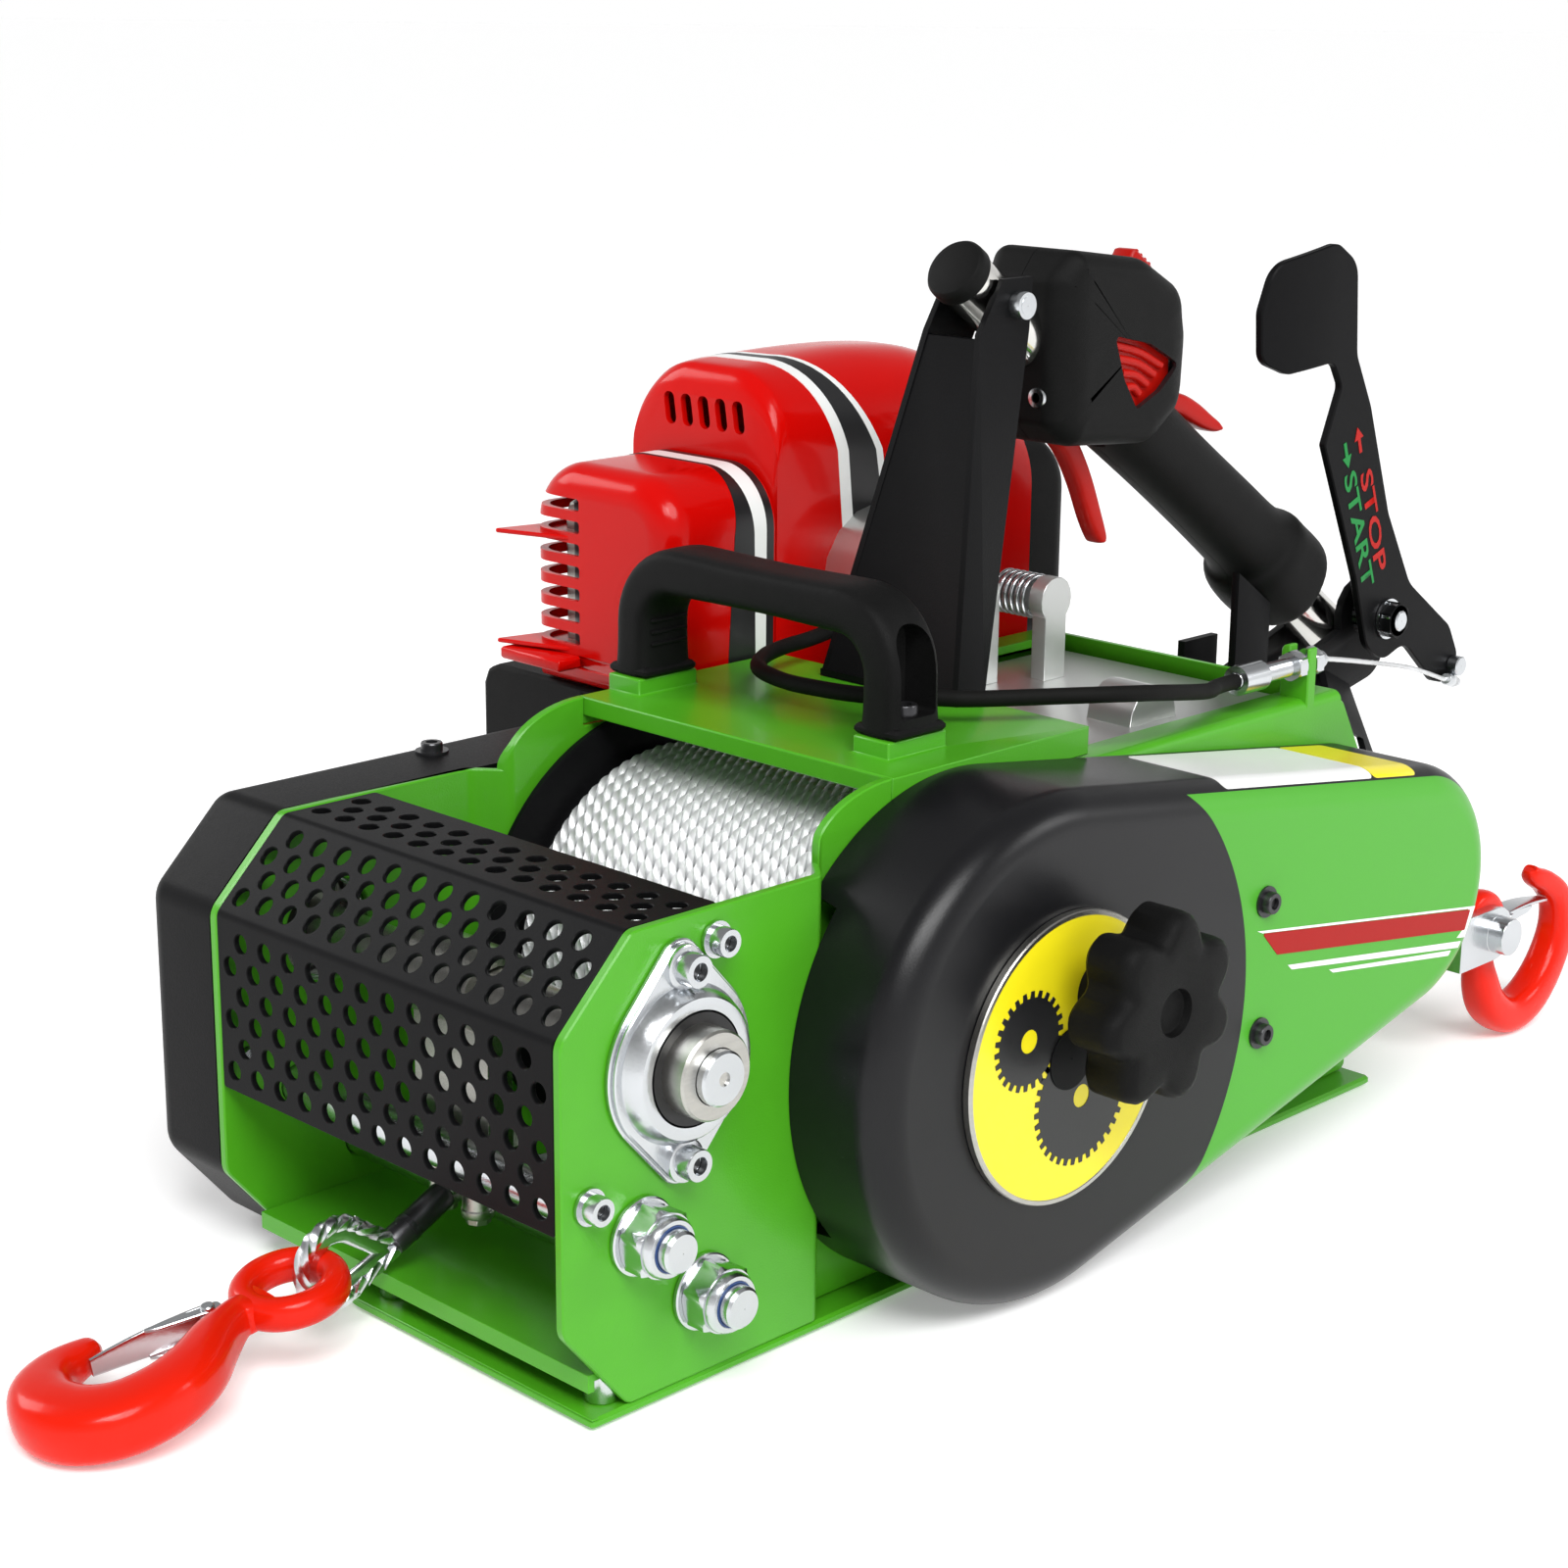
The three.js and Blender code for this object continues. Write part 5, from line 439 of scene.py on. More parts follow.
def bend(item: bpy.types.Object, seams: Sequence[tuple[int, float]],
         shape: Callable[[Array], Array]) -> None:
    """Cuts lines of points into a flat mesh and moves all points to their bent places.

    Args:
        item: The flat mesh, in metres.
        seams: Axis numbers and places, in layout millimetres.
        shape: Takes and returns points in layout millimetres.
    """
    shell = bmesh.new()
    shell.from_mesh(item.data)
    for axis, place in seams:
        spot, normal = Vector((0, 0, 0)), Vector((0, 0, 0))
        spot[axis], normal[axis] = (place - ORIGIN[axis]) / 1000, 1.0
        whole = shell.verts[:] + shell.edges[:] + shell.faces[:]
        bmesh.ops.bisect_plane(shell, geom=whole, dist=1e-7, plane_co=spot, plane_no=normal)
    shell.to_mesh(item.data)
    shell.free()
    places = np.empty(len(item.data.vertices) * 3)
    item.data.vertices.foreach_get("co", places)
    flat = places.reshape(-1, 3) * 1000 + ORIGIN
    item.data.vertices.foreach_set("co", ((shape(flat) - ORIGIN) / 1000).ravel())
    item.data.update()


@dataclass
class Form:
    """A piece under construction: closed parts in layout millimetres, each with its finish."""

    name: str
    points: list[Array] = field(default_factory=list)
    faces: list[list[int]] = field(default_factory=list)
    marks: list[int] = field(default_factory=list)
    looks: list[Look] = field(default_factory=list)
    count: int = 0

    def add(self, points: Array, quads: Array, caps: list[list[int]], look: Look) -> "Form":
        """Adds one closed part, turned over if its volume comes out negative.

        The volume is the sum over all triangles of a third of the triple product of their
        corners, which is positive when the faces point outwards.

        Args:
            points: Rows of x, y and z.
            quads: Rows of four point numbers.
            caps: Polygons that close the part.
            look: The part's finish.

        Returns:
            This form, so that calls can be chained.
        """
        tris = [quads[:, [0, 1, 2]], quads[:, [0, 2, 3]]] if len(quads) else []
        for cap in caps:
            ring = np.array(cap)
            fan = np.stack([np.full(len(ring) - 2, ring[0]), ring[1:-1], ring[2:]], axis=1)
            tris.append(fan)
        flat = np.vstack(tris)
        shifted = points - points.mean(axis=0)
        a, b, c = (shifted[flat[:, k]] for k in range(3))
        way = 1 if float((a * np.cross(b, c)).sum()) >= 0 else -1
        polygons = quads.tolist() + [list(cap) for cap in caps]
        self.faces += [[index + self.count for index in face][::way] for face in polygons]
        if look not in self.looks:
            self.looks.append(look)
        self.marks += [self.looks.index(look)] * len(polygons)
        self.points.append(points)
        self.count += len(points)
        return self

    def skin(self, rings: Array, look: Look, closed: bool = False) -> "Form":
        """Joins rings of points into a closed skin.

        Args:
            rings: Points of shape rings by points by three.
            look: The finish.
            closed: Whether the last ring meets the first; otherwise both ends are capped.

        Returns:
            This form.
        """
        m, k = rings.shape[:2]
        i = np.arange(m if closed else m - 1)[:, None] * np.ones(k, dtype=int)
        j = np.arange(k)[None, :]
        near, far, ahead = i * k, ((i + 1) % m) * k, (j + 1) % k
        quads = np.stack([near + j, near + ahead, far + ahead, far + j], axis=-1).reshape(-1, 4)
        ends = [] if closed else [list(range(k))[::-1], list(range((m - 1) * k, m * k))]
        return self.add(rings.reshape(-1, 3), quads, ends, look)

    def plate(self, outer: Array, low: float, high: float, look: Look, plane: Plane = SIDE,
              holes: Sequence[Array] = (), bevel: float = 0.5) -> "Form":
        """A flat plate with holes whose edges are bevelled.

        Each outline gives four rings: inset, full, full and inset again, and the two faces are
        triangulated between the inset rings.

        Args:
            outer: The outline.
            low: Depth of one face.
            high: Depth of the other face.
            look: The finish.
            plane: The drawing plane.
            holes: Outlines of the holes.
            bevel: Width of the bevelled edges.

        Returns:
            This form.
        """
        low, high = min(low, high), max(low, high)
        bevel = min(bevel, (high - low) / 3)
        loops = [outer if area(outer) > 0 else outer[::-1]]
        loops += [hole if area(hole) < 0 else hole[::-1] for hole in holes]
        points, quads, tops, start = [], [], [], 0
        for loop in loops:
            k, inner = len(loop), offset(loop, bevel)
            rings = [plane.at(inner, low), plane.at(loop, low + bevel)]
            rings += [plane.at(loop, high - bevel), plane.at(inner, high)]
            points += rings
            i, j = np.arange(3)[:, None] * k + start, np.arange(k)[None, :]
            ahead = (j + 1) % k
            quads.append(np.stack([i + j, i + ahead, i + k + ahead, i + k + j], -1).reshape(-1, 4))
            tops.append(np.arange(k) + start)
            start += 4 * k
        flat = np.vstack([offset(loop, bevel) for loop in loops])
        numbers = np.concatenate(tops)
        steps = np.concatenate([np.full(len(loop), 3 * len(loop)) for loop in loops])
        filled = tessellate_polygon([[Vector((u, v, 0)) for u, v in offset(loop, bevel)]
                                     for loop in loops])
        tris = np.array(filled)
        a, b, c = (flat[tris[:, k]] for k in range(3))
        turn = (b[:, 0] - a[:, 0]) * (c[:, 1] - a[:, 1]) - (b[:, 1] - a[:, 1]) * (c[:, 0] - a[:, 0])
        tris = np.where((turn < 0)[:, None], tris[:, ::-1], tris)
        upper = (numbers + steps)[tris]
        lower = numbers[tris][:, ::-1]
        return self.add(np.vstack(points), np.vstack(quads), upper.tolist() + lower.tolist(), look)

    def block(self, x: Pair, y: Pair, z: Pair,
              look: Look, bevel: float = 0.8) -> "Form":
        """A box with bevelled edges."""
        return self.plate(rectangle(*x, *y, bevel, 3), *z, look, TOP, bevel=bevel)

    def lathe(self, profile: Sequence[Sequence[float]], centre: Sequence[float],
              axis: Sequence[float], look: Look, sides: int = 48, closed: bool = False) -> "Form":
        """Turns a profile about an axis: a point at radius r and height h goes round at h.

        Args:
            profile: Rows of radius and height.
            centre: Where the height is zero.
            axis: Direction of the axis.
            look: The finish.
            sides: Steps round.
            closed: Whether the profile is a ring, as round a bore.

        Returns:
            This form.
        """
        along, side, other = basis(axis)
        table = np.asarray(profile, dtype=float)
        angle = TAU * np.arange(sides) / sides
        round_ = np.cos(angle)[:, None] * side + np.sin(angle)[:, None] * other
        rings = (np.array(centre, dtype=float) + table[:, None, 1:] * along
                 + table[:, None, :1] * round_)
        return self.skin(rings, look, closed)

    def sweep(self, path: Array, wide: float | Array, high: float | Array, look: Look,
              up: Sequence[float] = (0, 0, 1), sides: int = 20, square: float = 2.0,
              closed: bool = False) -> "Form":
        """Carries an oval along a path.

        The section's sideways and upward reach are the cosine and sine of an angle, raised to 2
        over the squareness, times the half width and half height.

        Args:
            path: Points of the path.
            wide: Half width, one or one a point.
            high: Half height, one or one a point.
            look: The finish.
            up: Direction that the height is measured near.
            sides: Points round the section.
            square: 2 for an ellipse, larger for a rounder box.
            closed: Whether the path is a loop.

        Returns:
            This form.
        """
        side, lift = square_to(path, up, closed)
        angle = TAU * (np.arange(sides) + 0.5) / sides
        power = 2 / square
        c = np.sign(np.cos(angle)) * np.abs(np.cos(angle)) ** power
        s = np.sign(np.sin(angle)) * np.abs(np.sin(angle)) ** power
        w = np.broadcast_to(np.asarray(wide, dtype=float), len(path))[:, None, None]
        h = np.broadcast_to(np.asarray(high, dtype=float), len(path))[:, None, None]
        rings = path[:, None] + side[:, None] * c[:, None] * w + lift[:, None] * s[:, None] * h
        return self.skin(rings, look, closed)

    def strand(self, path: Array, radius: float, look: Look, lay: float = 30.0, sides: int = 18,
               up: Sequence[float] = (0, 1, 0), closed: bool = False,
               depth: float = 0.28) -> "Form":
        """A laid rope: a section of six lobes that turns once in each lay along the path.

        Args:
            path: Points of the rope's centre.
            radius: The rope's outer radius.
            look: The finish.
            lay: Millimetres for one turn of the strands.
            sides: Points round the section, three a lobe.
            up: Direction that the section is measured from.
            closed: Whether the path is a loop.
            depth: The grooves' depth as a share of the radius.

        Returns:
            This form.
        """
        ahead = np.roll(path, -1, axis=0) if closed else np.vstack([path[1:], path[-1:]])
        run = np.concatenate([[0.0], np.cumsum(np.linalg.norm(ahead - path, axis=1))[:-1]])
        if closed:
            total = run[-1] + float(np.linalg.norm(path[0] - path[-1]))
            lay = total * 6 / max(round(total * 6 / lay), 1)
        side, lift = square_to(path, up, closed)
        local = TAU * np.arange(sides) / sides
        reach = radius * (1 - depth + depth * np.abs(np.cos(3 * local)))
        angle = local[None, :] + TAU * run[:, None] / lay
        rings = (path[:, None] + side[:, None] * (reach * np.cos(angle))[..., None]
                 + lift[:, None] * (reach * np.sin(angle))[..., None])
        return self.skin(rings, look, closed)

    def raw(self) -> bpy.types.Object:
        """Makes the mesh object in the frame's metres, without a body."""
        mesh = bpy.data.meshes.new(self.name)
        places = (np.vstack(self.points) - ORIGIN) / 1000
        mesh.from_pydata(places.tolist(), [], self.faces)
        for look in self.looks:
            mesh.materials.append(look.value.material())
        mesh.polygons.foreach_set("material_index", np.array(self.marks, dtype=np.int32))
        return placed(self.name, mesh)

    def done(self, *nodes: str, body: Optional[str] = None, cuts: Sequence["Form"] = (),
             joins: Sequence["Form"] = (), angle: float = 32.0,
             seams: Sequence[tuple[int, float]] = (),
             shape: Optional[Callable[[Array], Array]] = None) -> bpy.types.Object:
        """Finishes the piece and lets it ride on its body.

        Args:
            *nodes: The frame's nodes that it stands for.
            body: The body, when it stands for no node.
            cuts: Closed forms taken out of it.
            joins: Closed forms joined to it first.
            angle: Edges sharper than this stay crisp.
            seams: Axis numbers and places where the flat piece gets a line of points.
            shape: Moves the flat piece's points to where they lie once it is bent.

        Returns:
            The finished object.
        """
        item = self.raw()
        for other in joins:
            combine(item, other.raw(), "UNION")
        for other in cuts:
            combine(item, other.raw(), "DIFFERENCE")
        if shape is not None:
            bend(item, seams, shape)
        smooth(item, angle)
        item.data.update()
        return settle(item, self.looks[0], body or BODY_OF[nodes[0]], *nodes)


def dress(source: str, look: Look, bevel: float = 0.7, angle: float = 40.0) -> bpy.types.Object:
    """Stands a smooth, bevelled copy of a frame node in its place.

    Args:
        source: The frame's node.
        look: Its finish.
        bevel: Width of its worn edges in millimetres.
        angle: Edges sharper than this are bevelled.

    Returns:
        The finished object.
    """
    mesh = frame["nodes"][source].data.copy()
    shell = bmesh.new()
    shell.from_mesh(mesh)
    bmesh.ops.remove_doubles(shell, verts=shell.verts, dist=2e-6)
    bmesh.ops.dissolve_limit(shell, angle_limit=math.radians(0.8), verts=shell.verts,
                             edges=shell.edges)
    shell.to_mesh(mesh)
    shell.free()
    mesh.materials.clear()
    mesh.materials.append(look.value.material())
    item = placed(f"{source}_finished", mesh)
    smooth(item, angle - 6)
    if bevel > 0:
        edge = item.modifiers.new("edge", "BEVEL")
        edge.width = bevel / 1000
        edge.segments = 2
        edge.limit_method = "ANGLE"
        edge.angle_limit = math.radians(angle)
        edge.use_clamp_overlap = True
    return settle(item, look, BODY_OF[source], source)


def pressed(outline: Array, back: float | Array, face: float, inset: float, rise: float,
            wall: float, plane: Plane, steps: int = 9) -> Array:
    """Rings of a pressed shell, from its inner face round its rim to its outer face.

    Along a quarter turn the ring is inset by inset times 1 minus cosine, and lies rise times
    1 minus sine below the face. The inner rings are the same, one wall further in.

    Args:
        outline: The shell's outline, anticlockwise.
        back: Depth of the rim, one or one a point.
        face: Depth of the outer face.
        inset: How far the edge rounds inwards.
        rise: How far the edge rounds in depth.
        wall: The wall's thickness.
        plane: The drawing plane.
        steps: Rings round the edge.

    Returns:
        Rings by points by three.
    """
    loop = outline if area(outline) > 0 else outline[::-1]
    way = math.copysign(1.0, face - float(np.mean(back)))
    turns = np.linspace(0, math.pi / 2, steps)
    deep = np.broadcast_to(np.asarray(back, dtype=float), len(loop))
    if area(outline) <= 0:
        deep = deep[::-1]
    outer = [plane.at(loop, deep)]
    inner = [plane.at(offset(loop, wall), deep)]
    for turn in turns:
        less, drop = inset * (1 - math.cos(turn)), rise * (1 - math.sin(turn))
        outer.append(plane.at(offset(loop, less), face - way * drop))
        inside = min(less + wall, inset + wall)
        inner.append(plane.at(offset(loop, inside), face - way * (wall + drop)))
    outer.append(plane.at(offset(loop, inset + 0.8), face))
    return np.stack(inner[::-1] + outer)


def socket_screw(form: Form, centre: Sequence[float], axis: Sequence[float], radius: float,
                 height: float, look: Look = Look.ZINC) -> None:
    """A cap screw with a rounded rim and a hexagonal socket; its black floor is painted shade."""
    reach = radius * 0.55
    profile = [(radius, 0), (radius, height * 0.85), (radius * 0.93, height),
               (reach, height), (reach * 0.98, height * 0.45), (0.2, height * 0.45)]
    form.lathe(profile, centre, axis, look, 24)
    tip = np.array(centre, dtype=float) + unit(np.array(axis, dtype=float)) * height * 0.46
    # Painted shade: a black disc on the socket's floor stands for the shadow in the recess.
    form.lathe([(reach * 0.97, 0), (reach * 0.97, 0.3)], tip, axis, Look.INK_AND_SHADE, 6)


def washer_screw(form: Form, seat: Sequence[float], axis: Sequence[float],
                 washer: Sequence[Sequence[float]], radius: float, height: float,
                 look: Look = Look.ZINC, sides: int = 28) -> None:
    """A washer turned from its profile, and a socket screw that stands on its highest point."""
    form.lathe(washer, seat, axis, look, sides)
    face = max(level for _, level in washer)
    spot = np.array(seat, dtype=float) + face * np.array(axis, dtype=float)
    socket_screw(form, spot, axis, radius, height, look)


def hex_nut(form: Form, centre: Sequence[float], axis: Sequence[float], radius: float,
            height: float, look: Look = Look.ZINC) -> None:
    """A hexagon nut whose corners are chamfered by a cone.

    The reach of a point is the flat-sided radius, which is the inner radius over the cosine of
    the angle from the middle of its side, held below a limit that falls towards both faces.
    """
    along, side, other = basis(axis)
    angle = TAU * np.arange(48) / 48
    flat = radius * math.cos(math.pi / 6) / np.cos((angle % (TAU / 6)) - TAU / 12)
    limits = [(0.0, 0.9), (height * 0.12, 1.0), (height * 0.88, 1.0), (height, 0.88)]
    rings = [np.array(centre) + along * deep
             + np.minimum(flat, radius * share)[:, None]
             * (np.cos(angle)[:, None] * side + np.sin(angle)[:, None] * other)
             for deep, share in limits]
    form.skin(np.stack(rings), look)


# ---------------------------------------------------------------- the pressed frame


@dataclass
class Chassis:
    """Base, floor, joggled side plates, rear plate and top plate, all powder coated."""

    low: float = 5.3
    sheet: float = 4.0
    joggle: float = 13.0
    width: float = 204.0
    bend_from: float = 110.0
    bend_run: float = 16.0
    shoulder: Pair = (42.0, 24.0)
    feed: Pair = (40.0, 129.0)
    drum: Pair = (197.0, 102.0)
    rods: tuple[Pair, ...] = ((22.9, 68.7), (52.7, 37.9))
    guard_screws: tuple[Pair, ...] = ((58.7, 169.6), (-1.1, 86.8))
    feet: tuple[Pair, ...] = ((18, 16), (18, 118), (462, 16), (462, 188))

    def outline(self, tongue: bool) -> Array:
        """The side plate's outline, with or without the tongue that holds the anchor hook."""
        turn = np.linspace(0, math.pi / 2, 16)
        rise = [(121 + self.shoulder[0] * (1 - c), 181 + self.shoulder[1] * s, 0)
                for c, s in zip(np.cos(turn), np.sin(turn))]
        end = [(478, self.low, 4)]
        if tongue:
            end += [(478, 45, 4), (566, 45, 15), (566, 75, 15), (478, 75, 4)]
        return rounded([(17, self.low, 5), *end, (478, 152, 8), (458, 186, 6), (281, 186, 3),
                        (278, 192.7, 2), (162.7, 192.7, 1), *rise[::-1], (20, 181, 7),
                        (-13, 148, 9), (-13, 41, 9)])

    def side(self, far: bool) -> None:
        """A side plate: cut flat, then set back behind the drum's front by a double bend.

        The depth added at x is the joggle times t squared times 3 minus 2t, where t runs from 0
        to 1 along the bend.

        Args:
            far: Whether it is the plate on the engine's side.
        """
        form = Form("far_side_plate" if far else "near_side_plate")
        holes = [circle(*self.feed, 21, 48), circle(*self.drum, 14.3, 40)]
        holes += [circle(*rod, 8.3, 28) for rod in self.rods]
        holes += [circle(*spot, 3.2, 16) for spot in self.guard_screws]
        if not far:
            holes += [circle(440, 112, 10.3, 32), circle(551, 60, 6.2, 24)]
        form.plate(self.outline(not far), 0, self.sheet, Look.GREEN, SIDE, holes, 0.6)
        lip = rounded([(-0.03, 180, 0), (-0.03, 190, 4.5), (18, 190, 0.4), (18, 186.1, 0.4),
                       (self.sheet, 186.1, 1.2), (self.sheet, 180, 0)], 8)
        form.plate(lip, 282, 457, Look.GREEN, FRONT, bevel=0.6)
        if not far:
            notch = circle(6, 205, 4.3, 12, 0, -math.pi)
            tab = [(0, 184, 0), (15, 184, 0), (15, 213, 3), (10.3, 213, 0.6), *[(u, v, 0)
                   for u, v in notch], (1.7, 213, 0.6), (0, 213, 1)]
            form.plate(rounded(tab), 430, 436, Look.GREEN, FRONT, bevel=0.6)

        def bent(points: Array) -> Array:
            """Adds the double bend's depth, and mirrors the far plate across the width."""
            t = np.clip((points[:, 0] - self.bend_from) / self.bend_run, 0, 1)
            deep = points[:, 1] + self.joggle * t * t * (3 - 2 * t)
            points[:, 1] = self.width - deep if far else deep
            return points

        seams = [(0, self.bend_from + self.bend_run * k / 10) for k in range(11)]
        item = form.done("left_side_plate" if far else "right_side_plate", seams=seams, shape=bent)
        if far:
            item.data.flip_normals()

    def base(self) -> None:
        """The folded base tray with its hems, and rubber feet under the front corners."""
        form = Form("base_tray_finished")
        form.plate(rounded([(0, 0, 2), (480, 0, 2), (480, 204, 2), (72, 204, 8), (0, 140, 8)]),
                   0.9, 5.0, Look.GREEN, TOP, bevel=1.2)
        form.block((0, 3), (0, 136), (4.6, 5.25), Look.GREEN, 0.3)
        for x, y in self.feet:
            profile = [(9, 0), (9.5, 0.4), (9.5, 1.0), (0.2, 1.0), (0.2, 0)]
            form.lathe(profile, (x, y, 0), (0, 0, 1), Look.RUBBER, 28)
        form.done("base_tray")

    def screws(self) -> None:
        """The socket screws that hold the guard to both plates."""
        for name, y, way in (("near", -0.2, -1), ("far", 204.2, 1)):
            form = Form(f"guard_screws_{name}")
            for x, z in self.guard_screws:
                washer = [(2.8, -6), (2.8, 0.3), (6.8, 0.3), (6.8, 1.5), (0.2, 1.5), (0.2, -6)]
                washer_screw(form, (x, y, z), (0, way, 0), washer, 5.4, 6.4)
            form.done(body="frame")

    def build(self) -> None:
        """Makes every pressed piece of the frame."""
        self.base()
        self.side(False)
        self.side(True)
        self.screws()
        for source, edge in (("floor_plate", 0.8), ("rear_plate", 0.6), ("top_plate", 0.8)):
            dress(source, Look.GREEN, edge)
        pad = Form("front_foot_sleeves")
        for y in (11, 129):
            pad.lathe([(6.2, 0), (6.5, 0.5), (6.5, 11), (6, 11.6), (0.2, 11.6), (0.2, 0)],
                      (14, y, 5.3), (0, 0, 1), Look.ZINC, 28)
        pad.done(body="frame")


@dataclass
class Guard:
    """The perforated front guard: punched flat, then bent twice."""

    line: tuple[Pair, ...] = ((-12.7, 77.0), (-12.7, 148.0), (20.0, 180.7),
                                             (64.0, 180.7))
    sides: Pair = (4.3, 199.7)
    sheet: float = 2.5
    hole: float = 3.9
    columns: int = 13
    rows: tuple[tuple[int, float, float], ...] = ((6, 8.5, 10.6), (4, 8.7, 9.6), (3, 12.0, 9.6))
    bend_radius: float = 5.0

    def profile(self) -> tuple[Array, Array]:
        """The rounded line that the sheet's outer face follows, and the run along it."""
        corners = [(*spot, 0 if k in (0, 3) else self.bend_radius)
                   for k, spot in enumerate(self.line)]
        path = rounded(corners, 9)
        run = np.concatenate([[0], np.cumsum(np.linalg.norm(np.diff(path, axis=0), axis=1))])
        return path, run

    def holes(self) -> list[Array]:
        """Round holes in staggered rows on each of the three flats."""
        spots = np.array(self.line)
        flats = np.linalg.norm(np.diff(spots, axis=0), axis=1)
        pitch = (self.sides[1] - self.sides[0]) / self.columns
        made, start, row = [], 0.0, 0
        for length, (rows, first, step) in zip(flats, self.rows):
            for k in range(rows):
                along = start + first + step * k
                shift = 0.5 if row % 2 == 0 else 1.0
                for column in range(self.columns if row % 2 == 0 else self.columns - 1):
                    across = self.sides[0] + pitch * (column + shift)
                    made.append(circle(along, across, self.hole, 20))
                row += 1
            start += length
        return made

    def build(self) -> None:
        """Punches the sheet and bends it along the rounded line: a point at run s and depth d
        goes to the line's point at s, moved inwards by d."""
        path, run = self.profile()
        slope = unit(np.gradient(path, run, axis=0))
        form = Form("perforated_guard")
        sheet = rectangle(0, run[-1], *self.sides, 1.5)
        form.plate(sheet, 0, self.sheet, Look.BLACK, TOP, self.holes(), 0.35)

        def bent(points: Array) -> Array:
            """Carries points from the flat sheet to the rounded line."""
            s, d = points[:, 0], points[:, 2]
            out = points.copy()
            out[:, 0] = np.interp(s, run, path[:, 0]) + d * np.interp(s, run, slope[:, 1])
            out[:, 2] = np.interp(s, run, path[:, 1]) - d * np.interp(s, run, slope[:, 0])
            return out

        seams = [(0, float(s)) for s in run[1:-1]]
        item = form.done("rope_guard", seams=seams, shape=bent)
        shell = bmesh.new()
        shell.from_mesh(item.data)
        bmesh.ops.recalc_face_normals(shell, faces=shell.faces)
        shell.to_mesh(item.data)
        shell.free()


# ---------------------------------------------------------------- covers and the selector


PLATE_STEP_X = 121.3
COVER_WALL = 3.0


@dataclass
class BeltCover:
    """The pressed cover over the drive chain, its printed foils and its screws."""

    big: Triple = (197.0, 102.0, 101.0)
    small: Triple = (440.0, 112.0, 56.0)
    face: float = -46.0
    edge: float = 14.0
    screw_spots: tuple[Pair, ...] = ((322.9, 135.2), (322.7, 78.9))

    def shell(self) -> None:
        """The cover with a broad rounded edge and a rim that follows the joggled plate."""
        loop = belt(*self.big, *self.small, 128)
        back = np.where(loop[:, 0] < PLATE_STEP_X, -0.3, 12.7)
        form = Form("belt_cover_shell")
        form.skin(pressed(loop, back, self.face, self.edge, self.edge, COVER_WALL, SIDE, 12),
                  Look.COVER)
        form.done("belt_cover", angle=50)

    def prints(self) -> None:
        """The red band, the white lines and the label along the cover's top flank."""
        form = Form("cover_stripes")
        low, high = self.face - 0.28, self.face + 0.1
        band = [(321.5, 121.8), (479.4, 96.8), (475.8, 88.0), (332.6, 110.3)]
        form.plate(rounded([(u, v, 0.6) for u, v in band], 3), low, high, Look.DEEP_RED, SIDE,
                   bevel=0.08)
        for (u0, v0, u1, v1), half in (((343.6, 102.6, 473.3, 82.1), 1.3),
                                       ((374, 93.6, 465.7, 79.8), 1.0)):
            line = [(u0, v0 - half, 0), (u1 - 2, v1 - half, 0), (u1, v1 + half, 0),
                    (u0 - 3, v0 + half, 0)]
            form.plate(rounded(line), low, high, Look.WHITE, SIDE, bevel=0.05)
        edge = [(318.0, 123.6, 0), (483.2, 97.6, 0), (476.2, 84.6, 0), (470, 85.6, 0),
                (474, 88.2, 0), (477.9, 97.4, 0), (321.5, 122.0, 0)]
        form.plate(rounded(edge), low + 0.04, high, Look.WHITE, SIDE, bevel=0.03)
        form.done(body="frame")
        slant = Plane((0.98951, 0, -0.1445), (0, 1, 0), (0.1445, 0, 0.98951),
                      (211.6, 0, 201.94))
        for name, u0, u1, look in (("white", 87.5, 193.8, Look.WHITE),
                                   ("yellow", 194.4, 227.4, Look.YELLOW)):
            label = Form(f"cover_label_{name}")
            label.plate(rectangle(u0, u1, -41, 9, 2.5), -0.2, 0.3, look, slant, bevel=0.08)

            def wrapped(points: Array) -> Array:
                """Lowers points over the rounded edge: the edge's radius times 1 minus the
                square root of 1 minus the squared share of the way past it."""
                lift = np.clip(1 - (points[:, 1] - self.face) / self.edge, 0, 1)
                drop = self.edge * (1 - np.sqrt(1 - lift**2))
                points[:, 0] -= slant.n[0] * drop
                points[:, 2] -= slant.n[2] * drop
                return points

            seams = [(1, self.face + self.edge * k / 12) for k in range(5, 13)]
            label.done(body="frame", seams=seams, shape=wrapped)

    def screws(self) -> None:
        """The two socket screws with washers in the face."""
        form = Form("cover_screws")
        for x, z in self.screw_spots:
            washer = [(2.6, -3), (2.6, -0.1), (6.6, -0.1), (6.6, 0.9), (0.2, 0.9), (0.2, -3)]
            washer_screw(form, (x, self.face, z), (0, -1, 0), washer, 4.6, 3.6, Look.DARK_AND_SHADE)
        form.done(body="frame")

    def build(self) -> None:
        """Makes the cover and all that sits on it."""
        self.shell()
        self.prints()
        self.screws()


